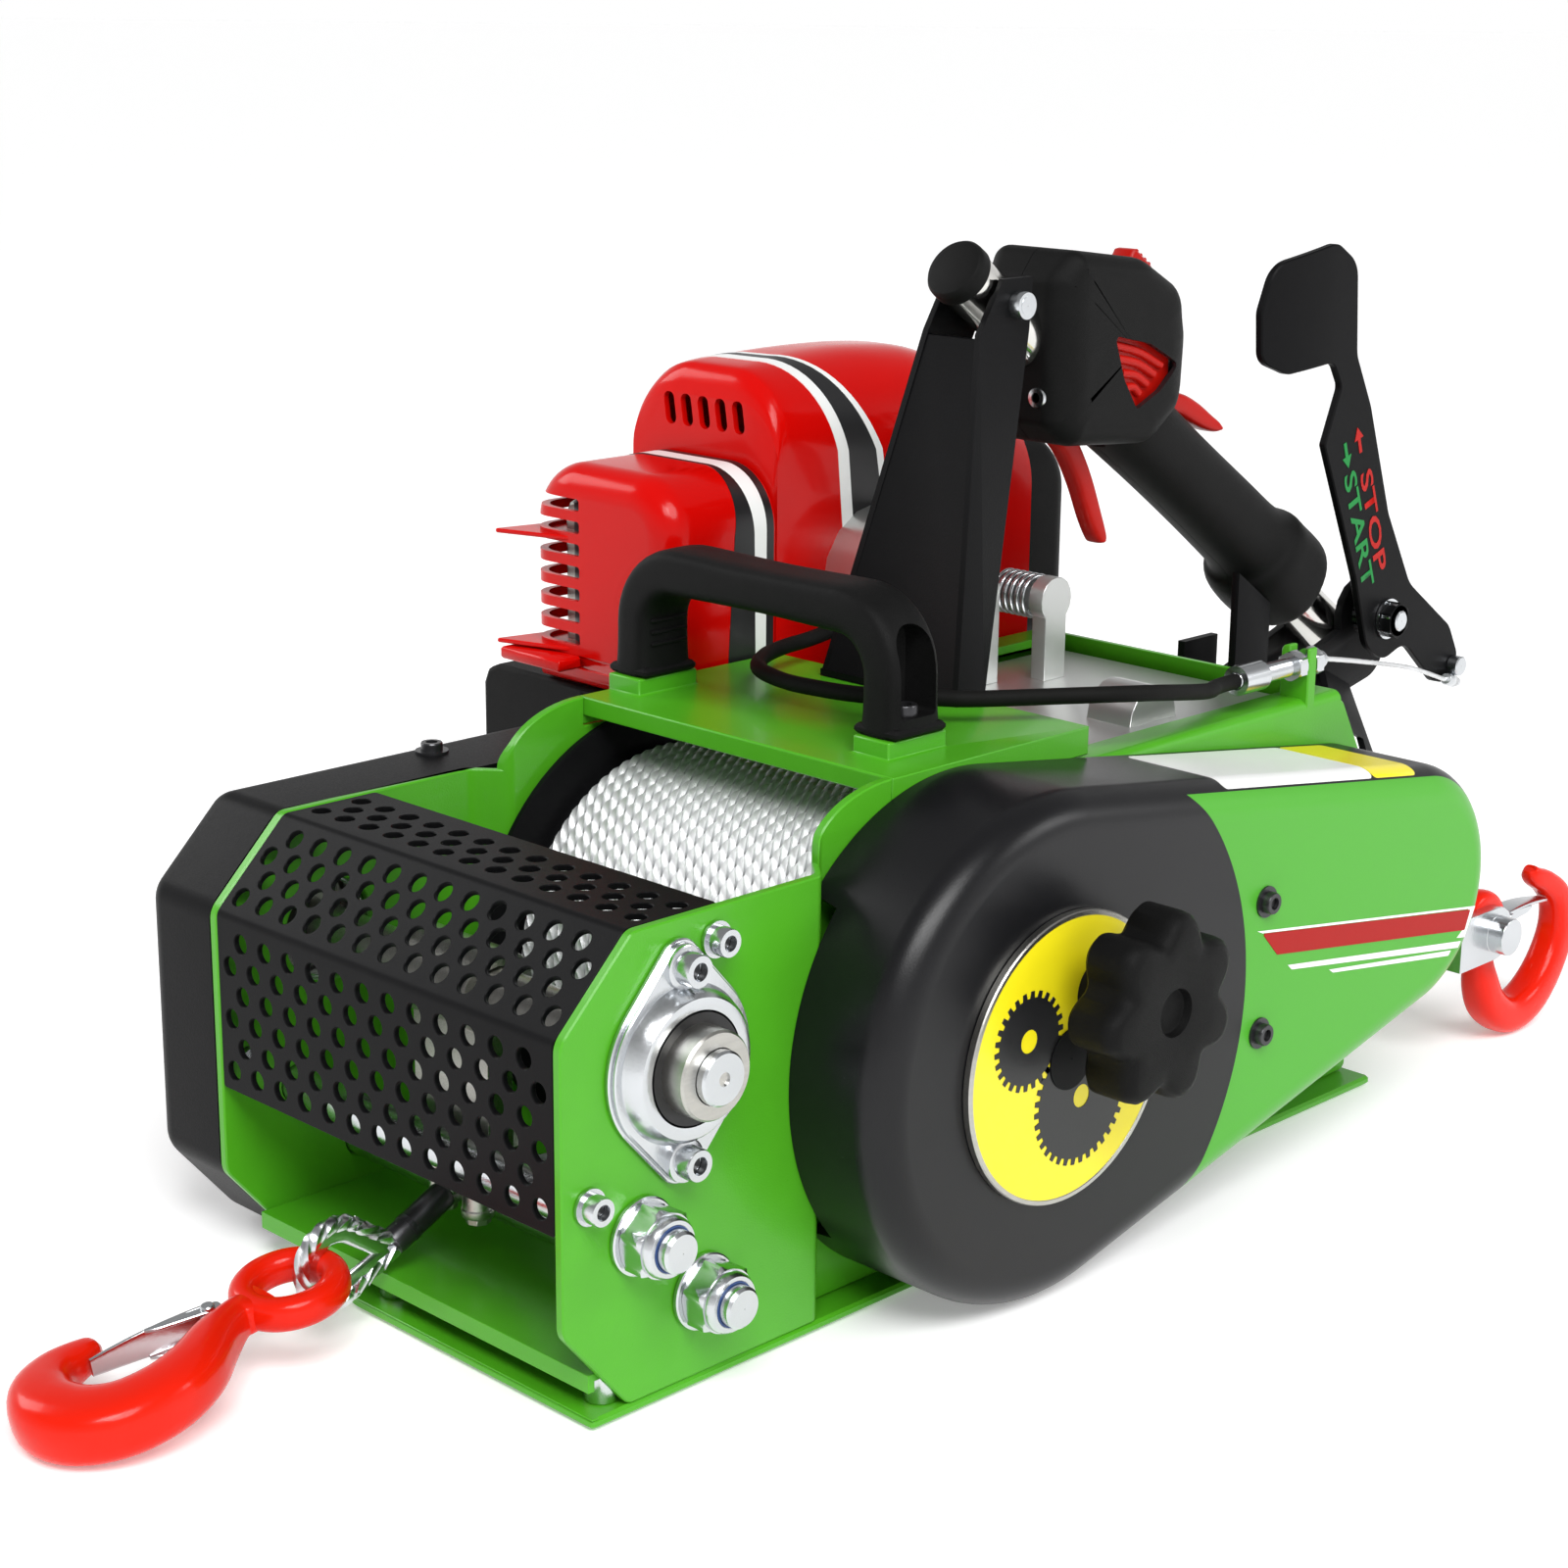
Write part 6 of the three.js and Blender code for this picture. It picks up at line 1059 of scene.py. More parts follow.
@dataclass
class FarCover:
    """The pressed cover over the chain to the rope guide."""

    face: float = 250.0
    edge: float = 13.0
    screw: Triple = (118, 232, 180.9)

    def build(self) -> None:
        """Makes the shell and its screw."""
        loop = rounded([(17, 5.3, 12), (330, 5.3, 14), (330, 181, 20), (20, 181, 12),
                        (-13, 148, 14), (-13, 41, 14)], 10)
        back = np.where(loop[:, 0] < PLATE_STEP_X, 204.3, 191.3)
        form = Form("far_cover_shell")
        form.skin(pressed(loop, back, self.face, self.edge, self.edge, COVER_WALL, SIDE, 12),
                  Look.BLACK)
        form.done("far_cover", angle=50)
        screw = Form("far_cover_screw")
        washer_screw(screw, self.screw, (0, 0, 1), [(7, -0.2), (7, 1), (0.2, 1), (0.2, -0.2)],
                     4.6, 3.4, Look.DARK_AND_SHADE)
        screw.done(body="frame")


def gear(u: float, v: float, radius: float, teeth: int, depth: float) -> Array:
    """A gear's outline: the radius drops by the depth for half of every tooth's share of the
    turn, with short flanks between."""
    share = np.array([0.02, 0.44, 0.54, 0.94])
    drop = np.array([0.0, 0.0, 1.0, 1.0])
    angle = (np.arange(teeth)[:, None] + share[None, :]).ravel() * TAU / teeth
    reach = radius - depth * np.tile(drop, teeth)
    return np.stack([u + reach * np.cos(angle), v + reach * np.sin(angle)], axis=1)


@dataclass
class Selector:
    """The yellow disc with two gears on it and the star knob that turns it."""

    centre: Pair = (197.0, 102.0)
    knob: Pair = (212.0, 126.0)
    knob_radius: float = 37.8
    lobes: int = 7
    seat: float = -46.1

    def disc(self) -> None:
        """The disc, its pale rim and a black hub."""
        u, v = self.centre
        form = Form("selector_disc_finished")
        form.lathe([(12, 3.2), (12, 0.2), (56.2, 0.2), (57, 1), (57, 2.6), (56.4, 3.2)],
                   (u, self.seat, v), (0, -1, 0), Look.YELLOW, 96)
        form.lathe([(55.4, 3.15), (55.7, 3.5), (57.2, 3.5), (57.6, 2.9), (57.6, 0.3), (55.4, 0.3)],
                   (u, self.seat, v), (0, -1, 0), Look.STEEL, 96, True)
        form.lathe([(12.2, 0), (12.2, 6), (0.3, 6), (0.3, 0)], (u, -44, v), (0, -1, 0),
                   Look.BLACK, 40)
        form.done("selector_disc")

    def gears(self) -> None:
        """Two flat gears in black ink, each left open at its hub."""
        form = Form("disc_gears")
        for u, v, r, teeth in ((172.3, 115.1, 19.5, 26), (204.2, 85.0, 27.5, 36)):
            form.plate(gear(u, v, r, teeth, 2.6), -49.55, -49.2, Look.INK_AND_SHADE, SIDE,
                       [circle(u, v, 4.6, 28)], 0.05)
        form.done(body="selector_disc")

    def star(self) -> None:
        """The star knob.

        At height h the radius is the rim's radius less a lobe depth times half of 1 minus the
        cosine of lobes times the angle, both scaled by the share that the profile has at h.
        """
        u, v = self.knob
        profile = np.array([(12.5, -49.6, 0.0), (13.0, -60.5, 0.0), (20, -62.4, 0.3),
                            (0.93 * self.knob_radius, -63.6, 1), (self.knob_radius, -66, 1),
                            (self.knob_radius, -80, 1), (0.985 * self.knob_radius, -83.6, 1),
                            (0.93 * self.knob_radius, -86, 1), (0.86 * self.knob_radius, -86.9, 1),
                            (22, -86.9, 0.25), (11, -86.5, 0), (9.4, -86.3, 0), (8.6, -83.2, 0),
                            (7.6, -82.6, 0), (0.3, -82.5, 0)])
        angle = TAU * np.arange(140) / 140
        wave = 0.5 - 0.5 * np.cos(self.lobes * angle)
        reach = profile[:, :1] - 8.2 * profile[:, 2:] * wave[None, :] ** 1.3
        rings = np.stack([u + reach * np.cos(angle + 0.5),
                          np.broadcast_to(profile[:, 1:2], reach.shape),
                          v + reach * np.sin(angle + 0.5)], axis=-1)
        form = Form("star_knob")
        form.skin(rings, Look.PLASTIC)
        form.done("selector_knob", angle=40)

    def build(self) -> None:
        """Makes the disc, its gears and the knob."""
        self.disc()
        self.gears()
        self.star()


# ---------------------------------------------------------------- drum, rope and rope guide


@dataclass
class Drum:
    """The drum with its flanges, the rope wound on it and the shafts."""

    axis: Pair = (197.0, 102.0)
    rope: float = 3.05
    coil: float = 77.0
    pitch: float = 6.5
    turns: int = 23
    first: float = 27.25

    def winding(self) -> None:
        """The top layer of rope: a helix that rises by one pitch a turn."""
        turn = np.linspace(0, self.turns * TAU, self.turns * 190)
        path = np.stack([self.axis[0] + self.coil * np.cos(turn),
                         self.first + self.pitch * turn / TAU,
                         self.axis[1] + self.coil * np.sin(turn)], axis=1)
        form = Form("rope_layer")
        form.strand(path, self.rope + 0.2, Look.ROPE, 38, 12)
        form.done("rope_winding", angle=80)

    def spool(self) -> None:
        """The drum: flanges with rolled rims and a barrel under the rope."""
        x, z = self.axis
        form = Form("drum_finished")
        for way, y in ((-1, 23.0), (1, 181.0)):
            form.lathe([(20, 0), (93.4, 0), (95, 0.8), (95, 3.2), (94.2, 4), (20, 4)],
                       (x, y, z), (0, way, 0), Look.BLACK, 96)
        form.lathe([(70, 0), (73.4, 0), (73.4, 158.2), (70, 158.2)], (x, 22.9, z), (0, 1, 0),
                   Look.ROPE, 72, True)
        form.done("drum")

    def build(self) -> None:
        """Makes the spool and the rope, and dresses the shafts and sprockets."""
        self.spool()
        self.winding()
        for node in ("drum_shaft", "drive_sprocket", "feed_shaft"):
            dress(node, Look.STEEL, 0.4)
        for node in ("drive_chain", "feed_chain"):
            dress(node, Look.DARK_AND_SHADE, 0.0)
        end = Form("feed_shaft_end")
        end.lathe([(10.1, 0), (10.1, 3.6), (9.3, 4.5), (2.6, 4.5), (2.4, 1), (0.2, 0.6), (0.2, 0)],
                  (40, -20.2, 129), (0, -1, 0), Look.ZINC, 48)
        # Painted shade: a black disc inside the centre hole stands for the shadow there.
        end.lathe([(2.5, 0), (2.5, 0.4), (0.2, 0.4), (0.2, 0)], (40, -22.2, 129), (0, -1, 0),
                  Look.INK_AND_SHADE, 24)
        end.done(body="feed")


@dataclass
class Bearing:
    """A pressed-steel flange bearing with its insert, locking collar and two bolts."""

    centre: Pair = (40.0, 129.0)
    spacing: float = 71.5
    body: float = 33.5
    ear: float = 9.6

    def outline(self) -> Array:
        """A round body met by the tangents of two smaller ears."""
        u, v = self.centre
        far = self.spacing / 2
        spread = math.acos((self.body - self.ear) / far)
        up = circle(u, v + far, self.ear, 16, math.pi / 2 - spread, spread * 2)
        left = circle(u, v, self.body, 20, math.pi / 2 + spread, math.pi - 2 * spread)
        down = circle(u, v - far, self.ear, 16, 1.5 * math.pi - spread, spread * 2)
        right = circle(u, v, self.body, 20, 1.5 * math.pi + spread, math.pi - 2 * spread)
        return np.vstack([up, left, down, right])

    def build(self) -> None:
        """Makes the near bearing in full and the far one behind its cover."""
        for name, y, way in (("near", -0.3, -1), ("far", 204.3, 1)):
            form = Form(f"flange_bearing_{name}")
            u, v = self.centre
            holes = [circle(u, v, 19.5, 48)[::-1]]
            form.plate(self.outline(), y, y + way * 2.2, Look.ZINC, SIDE, holes, 0.5)
            form.plate(offset(self.outline(), 1.3), y + way * 2.0, y + way * 4, Look.ZINC, SIDE,
                       holes, 0.5)
            top = (u, y, v)
            form.lathe([(29.5, 3.4), (29.2, 4.4), (28.2, 6.2), (27.2, 9.0), (25.6, 10.7),
                        (23.6, 11), (21.2, 10.6), (20.6, 8.8), (20.6, 3.4)], top, (0, way, 0),
                       Look.ZINC, 72, True)
            if way < 0:
                form.lathe([(20.4, 3), (20.4, 10.8), (16.0, 10.2), (16.0, 3)], top, (0, way, 0),
                           Look.INK_AND_SHADE, 72, True)
                form.lathe([(16.4, 3), (16.4, 19.6), (15.6, 20.6), (10.4, 20.6), (10.2, 19.8),
                            (10.2, 3)], top, (0, way, 0), Look.STEEL, 56, True)
                form.lathe([(2.2, 0), (2.2, 0.3), (1.6, 0.5), (0.2, 0.1)],
                           (u + 8.6, y - 17.2, v + 11.9), (0.58, 0, 0.81), Look.DARK_AND_SHADE, 20)
                for side in (-1, 1):
                    seat = (u, y - 4, v + side * self.spacing / 2)
                    washer = [(8.1, 0), (8.1, 1.3), (7.4, 1.7), (0.2, 1.7), (0.2, 0)]
                    washer_screw(form, seat, (0, -1, 0), washer, 6.2, 6.6, sides=32)
            form.done(f"bearing_housing_{name}")


@dataclass
class CrossBolts:
    """Two tie bolts across the frame, each with washers and self-locking nuts."""

    places: tuple[Pair, ...] = ((22.9, 68.7), (52.7, 37.9))
    rod: float = 8.0

    def build(self) -> None:
        """Makes each bolt: the rod, washers, nuts with a nylon ring and the rounded tips."""
        for name, (x, z) in zip(("upper", "lower"), self.places):
            form = Form(f"tie_bolt_{name}")
            for y, way in ((-0.3, -1), (204.3, 1)):
                seat, axis = (x, y, z), (0, way, 0)
                washer = [(8.3, 0), (14, 0), (14.6, 0.5), (14.6, 1.8), (14, 2.3), (8.3, 2.3)]
                collar = [(11.6, 13.1), (11.4, 15.4), (10.4, 16.8), (9.0, 17), (8.1, 16.6),
                          (8.1, 13.1)]
                ring = [(8.6, 14), (8.6, 17.02), (8.05, 17.02), (8.05, 14)]
                form.lathe(washer, seat, axis, Look.ZINC, 48, True)
                hex_nut(form, (x, y + way * 2.4, z), axis, 13.9, 10.8)
                form.lathe(collar, seat, axis, Look.ZINC, 48, True)
                form.lathe(ring, seat, axis, Look.NYLON, 40, True)
                form.lathe([(7.9, 16), (7.9, 20.6), (6.9, 21.7), (0.2, 21.9), (0.2, 16)], seat,
                           axis, Look.ZINC, 40)
            form.lathe([(self.rod, 0), (self.rod, 232), (0.2, 232), (0.2, 0)], (x, -14, z),
                       (0, 1, 0), Look.ZINC, 40)
            form.done(f"cross_bolt_{name}")


@dataclass
class RopeGuide:
    """The sliding guide with its rollers, and the rope from the drum to its eye."""

    lead: float = 118.0
    rope: float = 3.0

    def rollers(self) -> None:
        """The two upright rollers with rounded ends."""
        for name, y in (("right", 108.0), ("left", 128.0)):
            form = Form(f"guide_roller_{name}")
            form.lathe([(4, 0), (6.2, 0), (6.5, 0.6), (6.5, 3), (6.1, 3.6), (6.1, 17.4),
                        (6.5, 18), (6.5, 20.4), (6.2, 21), (4, 21)], (37.8, y, 37), (0, 0, 1),
                       Look.STEEL, 40)
            form.done(f"roller_{name}")

    def line(self) -> None:
        """The rope from the drum through the guide to the eye's sleeve."""
        rows = [(178, 21), (120, 34.6), (90, 41.6), (62, 48.2), (52, 50.3), (45, 51), (38, 49.4),
                (31, 46.1)]
        flat = spline(rows, 90)
        path = np.stack([flat[:, 0], np.full(90, self.lead), flat[:, 1]], axis=1)
        form = Form("rope_line")
        form.strand(path, self.rope, Look.ZINC, 38, 18)
        form.done("rope_span", angle=80)

    def eye(self) -> None:
        """The thimble eye: rope round a grooved ring, held by a pressed sleeve."""
        centre = np.array([-22.0, self.lead, 33.0])
        sleeve = np.array([4.0, self.lead, 32.6])
        along = unit(np.array([30.4, self.lead, 45.7]) - sleeve)
        angle = np.linspace(0.92, TAU - 0.92, 64)
        back = math.atan2(sleeve[2] - centre[2], sleeve[0] - centre[0])
        loop = centre + 15.4 * np.stack([np.cos(angle + back), 0 * angle, np.sin(angle + back)],
                                        axis=1)
        rise = np.array([-along[2], 0, along[0]])
        ends = [sleeve + along * 6 + rise * 2.5, sleeve + rise * 3.2]
        other = [sleeve - rise * 3.2, sleeve + along * 6 - rise * 2.5]
        path = spline(np.vstack([ends, loop, other]), 190)
        form = Form("rope_eye_finished")
        form.strand(path, 3.3, Look.ZINC, 38, 18)
        ring = centre + 12.4 * np.stack([np.cos(angle + back), 0 * angle, np.sin(angle + back)],
                                        axis=1)
        tip = sleeve - along * 3.2
        inner = spline(np.vstack([[tip + rise * 1.6], ring, [tip - rise * 1.6]]), 120)
        form.sweep(inner, 4.6, 1.5, Look.ZINC, (0, 1, 0), 18, 3.0)
        profile = [(3.2, 0), (5.2, 0.3), (5.6, 2), (5.6, 27), (5.2, 28.7), (3.4, 29.2)]
        form.lathe(profile, sleeve, along, Look.DARK_AND_SHADE, 36)
        form.lathe([(5.8, 8), (5.8, 10), (5.5, 10.6), (5.5, 7.4)], sleeve, along, Look.DARK_AND_SHADE, 36)
        form.done("rope_eye", angle=60)

    def build(self) -> None:
        """Makes the rollers, the rope and its eye."""
        self.rollers()
        self.line()
        self.eye()
        dress("guide_carriage", Look.STEEL, 0.6)


# ---------------------------------------------------------------- hooks


@dataclass
class Hook:
    """A forged hook with an eye, swept along a curve whose section changes on the way."""

    name: str
    node: str
    place: Plane
    length: float
    rows: tuple[tuple[float, float, float, float], ...]
    eye: Triple
    latch_node: str
    latch: tuple[Pair, Pair]
    latch_half: float

    def build(self) -> None:
        """Makes the hook, its eye and its spring latch."""
        rows = spline(np.array(self.rows) * self.length, 72)
        path = self.place.at(rows[:, :2], 0.0)
        form = Form(self.name)
        form.sweep(path, rows[:, 2], rows[:, 3], Look.HOOK, self.place.n, 28, 2.9)
        centre, radius, wire = self.eye
        angle = TAU * np.arange(56) / 56
        ring = np.stack([centre + radius * np.cos(angle), radius * np.sin(angle)], axis=1)
        form.sweep(self.place.at(ring, 0.0), wire, wire * 1.15, Look.HOOK, self.place.n, 24, 2.4,
                   True)
        form.done(self.node, angle=60)
        self.spring_latch()

    def spring_latch(self) -> None:
        """The folded latch: a tapering channel whose tip rests in the hook's mouth."""
        (u0, v0), (u1, v1) = (np.array(spot) * self.length for spot in self.latch)
        heading = unit(np.array([u1 - u0, v1 - v0]))
        lift = np.array([-heading[1], heading[0]])
        run = float(np.hypot(u1 - u0, v1 - v0))
        form = Form(f"{self.latch_node}_finished")
        share = np.linspace(0, 1, 14)
        spots = (np.array([u0, v0]) + heading * (run * share)[:, None]
                 + lift * (1.1 * np.sin(share * math.pi))[:, None])
        half = self.latch_half * (1 - 0.45 * share**1.6)
        form.sweep(self.place.at(spots, 0.0), 0.9, half, Look.ZINC, self.place.n, 20, 6.0)
        for side in (-1, 1):
            cheek = rounded([(0, -5.2, 2.5), (run * 0.42, -2.6, 2), (run * 0.6, 0.8, 0.8),
                             (0, 0.8, 0.8), (-5, 0, 2), (-5, -4.6, 2)], 4)
            flat = np.array([u0, v0]) + heading * cheek[:, :1] + lift * cheek[:, 1:]
            low = side * (self.latch_half - 0.2)
            form.plate(flat, low, low - side * 1.3, Look.ZINC, self.place, bevel=0.3)
        pin = self.place.at(np.array([[u0, v0]]) + lift * -2.6, 0.0)[0]
        half = self.latch_half + 1.2
        profile = [(2.2, -half), (2.6, -half + 0.5), (2.6, half - 0.5), (2.2, half)]
        form.lathe(profile, pin, self.place.n, Look.ZINC, 24)
        form.done(self.latch_node)


ROPE_HOOK = Hook("rope_hook_forged", "rope_hook",
                 Plane((-0.9852, 0, -0.1712), (0, 1, 0), (0.1712, 0, -0.9852), (-22, 118, 33)),
                 134.0,
                 ((0.235, 0.0, 0.09, 0.036), (0.27, 0.0, 0.074, 0.042),
                  (0.31, 0.0, 0.056, 0.05), (0.35, -0.005, 0.05, 0.055), (0.44, -0.05, 0.065, 0.07),
                  (0.55, -0.12, 0.08, 0.08), (0.67, -0.155, 0.09, 0.085),
                  (0.79, -0.14, 0.1, 0.085), (0.875, -0.07, 0.105, 0.085),
                  (0.9, 0.03, 0.1, 0.083), (0.865, 0.125, 0.085, 0.075),
                  (0.785, 0.185, 0.065, 0.06), (0.69, 0.2, 0.045, 0.045),
                  (0.655, 0.199, 0.032, 0.034), (0.64, 0.197, 0.012, 0.013)),
                 (21.0, 17.0, 5.5), "hook_latch", ((0.385, 0.062), (0.71, 0.135)), 6.5)

ANCHOR_HOOK = Hook("anchor_hook_forged", "anchor_hook",
                   Plane((1, 0, 0), (0, 0, 1), (0, -1, 0), (557, -4, 60)), 100.0,
                   ((0.0, -0.06, 0.07, 0.048), (0.03, -0.15, 0.08, 0.05),
                    (0.06, -0.27, 0.085, 0.075), (0.14, -0.41, 0.09, 0.085),
                    (0.3, -0.505, 0.09, 0.09), (0.49, -0.475, 0.095, 0.09),
                    (0.65, -0.345, 0.09, 0.085), (0.74, -0.17, 0.085, 0.08),
                    (0.71, 0.0, 0.075, 0.07), (0.6, 0.1, 0.06, 0.06),
                    (0.49, 0.155, 0.048, 0.05), (0.45, 0.19, 0.035, 0.036),
                    (0.444, 0.2, 0.014, 0.014)),
                   (0.0, 14.0, 5.0), "anchor_latch", ((0.2, 0.045), (0.585, 0.02)), 6.0)


# ---------------------------------------------------------------- handles and controls


@dataclass
class CarryHandle:
    """The moulded handle over the drum, with a finger pocket in one leg."""

    middle: float = 196.5
    half: float = 14.0
    bar: float = 10.0
    legs: Pair = (40.5, 181.5)
    foot: float = 212.4
    top: float = 258.0

    def build(self) -> None:
        """Sweeps the rounded section up one leg, over and down the other, then cuts the pocket."""
        near, far = self.legs
        line = rounded([(near, self.foot, 0), (near, self.top, 24), (far, self.top, 24),
                        (far, self.foot, 0)], 16)
        run = np.concatenate([[0], np.cumsum(np.linalg.norm(np.diff(line, axis=0), axis=1))])
        s = np.unique(np.concatenate([[0, 0.8, 2.0, 12], np.linspace(0, run[-1], 60),
                                      run[-1] - np.array([0.8, 2.0, 12])]))
        path = np.stack([np.full(len(s), self.middle), np.interp(s, run, line[:, 0]),
                         np.interp(s, run, line[:, 1])], axis=1)
        ends = np.minimum(s, run[-1] - s)
        flare = 1 + 0.09 * np.exp(-ends / 5) - 0.05 * np.exp(-ends / 0.7)
        waist = 1 - 0.1 * np.sin(math.pi * s / run[-1]) ** 6
        form = Form("carry_handle_moulded")
        form.sweep(path, self.bar * waist * flare, self.half * flare, Look.PLASTIC, (1, 0, 0),
                   40, 4.0)
        mouth = rounded([(186.6, 219.5, 2), (206.4, 219.5, 2), (206.4, 255, 9), (186.6, 255, 9)], 7)
        pocket = Form("pocket_cut").plate(mouth, 20, 47.6, Look.PLASTIC, SIDE, bevel=0.3)
        form.done("carry_handle", cuts=[pocket], angle=50)
        ribs = Form("carry_handle_ribs")
        for z in (226, 231, 236, 241):
            ribs.block((186.6, 206.4), (170.6, 174), (z - 0.8, z + 0.8), Look.PLASTIC, 0.4)
        for y in (near, far):
            ribs.block((181.8, 211.2), (y - 11.4, y + 11.4), (212.1, 216.2), Look.PLASTIC, 1.4)
        socket_screw(ribs, (196.5, 38.5, 219), (0, 0, 1), 5.4, 4.5, Look.DARK_AND_SHADE)
        ribs.done(body="frame")


@dataclass
class Tube:
    """The slanting tube with its end cap and clamp bolt."""

    start: Triple = (298.5, 108.0, 377.6)
    heading: Triple = (0.8247, 0.0, -0.5655)
    rise: Triple = (0.5655, 0.0, 0.8247)
    length: float = 356.0
    radius: float = 12.5

    def at(self, along: float, lift: float = 0.0, y: float = 0.0) -> Array:
        """The point that far along the tube, lifted square to it and moved sideways."""
        return (np.array(self.start) + along * np.array(self.heading)
                + lift * np.array(self.rise) + np.array([0, y, 0]))

    def build(self) -> None:
        """Makes the tube, the cap and the bolt through the stand's cheeks."""
        r, end = self.radius, self.length
        form = Form("handle_tube_plated")
        form.lathe([(r - 2, 0), (r - 0.3, 0), (r, 0.4), (r, end - 0.4), (r - 0.3, end),
                    (r - 2, end)], self.start, self.heading, Look.CHROME, 72, True)
        form.done("handle_tube")
        cap = Form("tube_cap_moulded")
        cap.lathe([(0.2, -2.4), (9.8, -2.4), (12.4, -1.7), (13.5, -0.2), (13.7, 1.5), (13.7, 5.4),
                   (13.1, 6.2), (12.55, 6.2), (12.55, 0.2), (0.2, 0.2)], self.start, self.heading,
                  Look.PLASTIC, 72)
        cap.done("tube_cap")
        bolt = Form("stand_bolt_finished")
        x, _, z = self.at(26)
        bolt.lathe([(3.9, 0), (3.9, 42), (0.2, 42), (0.2, 0)], (x, 86.5, z), (0, 1, 0), Look.ZINC)
        socket_screw(bolt, (x, 92, z), (0, -1, 0), 6, 5.4)
        hex_nut(bolt, (x, 124, z), (0, 1, 0), 7.4, 5.6)
        bolt.done("stand_bolt")
        dress("front_stand", Look.BLACK, 0.5)
        bracket = dress("rear_bracket", Look.BLACK, 0.5)
        far_post = Form("far_post").block((480, 513), (117, 128), (190, 262), Look.BLACK, 0.2)
        combine(bracket, far_post.raw(), "DIFFERENCE")
        smooth(bracket, 34)


@dataclass
class Grip:
    """The throttle grip: two moulded halves round the tube, and the controls set in them."""

    tube: Tube = field(default_factory=Tube)
    low: float = 82.0
    high: float = 134.0
    parting: float = 108.0

    def whole(self) -> Form:
        """The housing as one body: a rounded box in side view.

        In plan its half width is scaled by the square root of 1 minus the squared share of the
        way to the nose, and by 1 minus 0.26 times the squared share of the way to the front.

        Returns:
            The housing, not yet cut in halves.
        """
        loop = rounded([(340, 311, 5), (340, 372, 8), (350, 384, 8), (396, 378, 26),
                        (423, 364, 22), (438, 342, 14), (429, 312, 20), (404, 297, 14),
                        (350, 301, 10)], 9)
        loop = loop if area(loop) > 0 else loop[::-1]
        turn = np.linspace(0, math.pi / 2, 9)
        middle = np.array([388.0, 340.0])
        face = offset(loop, 9)
        rings = [SIDE.at(middle + (face - middle) * share, self.low)
                 for share in (0.02, 0.1, 0.2, 0.3, 0.4, 0.5, 0.6, 0.68, 0.76, 0.84, 0.9, 0.96)]
        rings += [SIDE.at(offset(loop, 9 * (1 - math.sin(t))), self.low + 9 * (1 - math.cos(t)))
                  for t in turn]
        rings += [ring * [1, -1, 1] + [0, self.low + self.high, 0] for ring in rings[::-1]]
        skin = np.stack(rings)
        past = np.clip((skin[..., 0] - 411) / 27.4, 0, 1)
        early = np.clip((356 - skin[..., 0]) / 16, 0, 1)
        share = np.sqrt(1 - past**2) * (1 - 0.26 * early**2)
        skin[..., 1] = self.parting + (skin[..., 1] - self.parting) * share
        form = Form("grip_housing")
        return form.skin(skin, Look.PLASTIC)

    def handle(self) -> Form:
        """The grip proper: an oval swept along the tube, narrow in the waist and flared low."""
        rows = spline([(84, 3, 20.5, 19), (110, 4.5, 19.6, 19.5), (134, 5, 18.6, 19),
                       (178, 5, 18.4, 18.4), (224, 5, 18.6, 19), (252, 4.5, 19.6, 20),
                       (262, 3.5, 24.4, 24.4), (272, 2, 25.4, 25.4), (286, 2, 25.4, 25.4),
                       (292, 2, 24.4, 24.2), (295.8, 2, 21, 21)], 64)
        path = np.stack([self.tube.at(float(s), float(lift)) for s, lift in rows[:, :2]])
        path[:, 1] = self.parting
        form = Form("grip_handle")
        return form.sweep(path, rows[:, 2], rows[:, 3], Look.PLASTIC, self.tube.rise, 44, 2.3)

    def halves(self) -> None:
        """Cuts both halves from the joined body, with room for the trigger, the lock, the
        half-throttle button and, in the near half, the stop switch that slides under its wall."""
        slant = Plane(self.tube.heading, (0, 1, 0), self.tube.rise, self.tube.start)
        for name, y0, y1 in (("near", 60.0, self.parting - 0.15),
                             ("far", self.parting + 0.15, 160.0)):
            form = self.whole()
            form.name = f"grip_half_{name}"
            half = Form("half").block((300, 620), (y0, y1), (150, 420), Look.PLASTIC, 0.1)
            item = form.raw()
            combine(item, self.handle().raw(), "UNION", "MANIFOLD")
            combine(item, half.raw(), "INTERSECT", "MANIFOLD")
            ink = Look.INK_AND_SHADE
            cuts = [Form("trigger_cut").block((352, 395), (102.2, 113.8), (262, 318), ink, 1),
                    Form("lock_cut").plate(rectangle(149, 200, -6.6, 6.6, 2), 12, 42, ink, slant),
                    Form("button_cut").plate(rectangle(-9.2, 11.8, -7.2, 7.2, 3.4), -16, 14, ink,
                                             self.button_plane())]
            if name == "near":
                room = np.minimum(self.leaf(7.4), [421.5, NO_LIMIT])
                cuts += [Form("leaf_cut").plate(self.leaf(0.4), 70, 85.4, ink, SIDE),
                         Form("switch_room").plate(room, 84.6, 90.2, ink, SIDE)]
            for cut in cuts:
                combine(item, cut.raw(), "DIFFERENCE", "MANIFOLD")
            smooth(item, 40)
            settle(item, Look.PLASTIC, "frame", f"grip_shell_{name}")
        screws = Form("grip_screws")
        screws.lathe([(4.6, 0), (4.2, 1.2), (2.2, 1.6), (2, 0.6), (0.2, 0.6), (0.2, -4),
                      (4.6, -4)], (340.6, 97, 322), (-1, 0, 0), Look.ZINC, 28)
        screws.done(body="frame")

    def button_plane(self) -> Plane:
        """The half-throttle button's own plane, square to the tube."""
        return Plane(self.tube.heading, (0, 1, 0), self.tube.rise, (413, 108, 370.5))

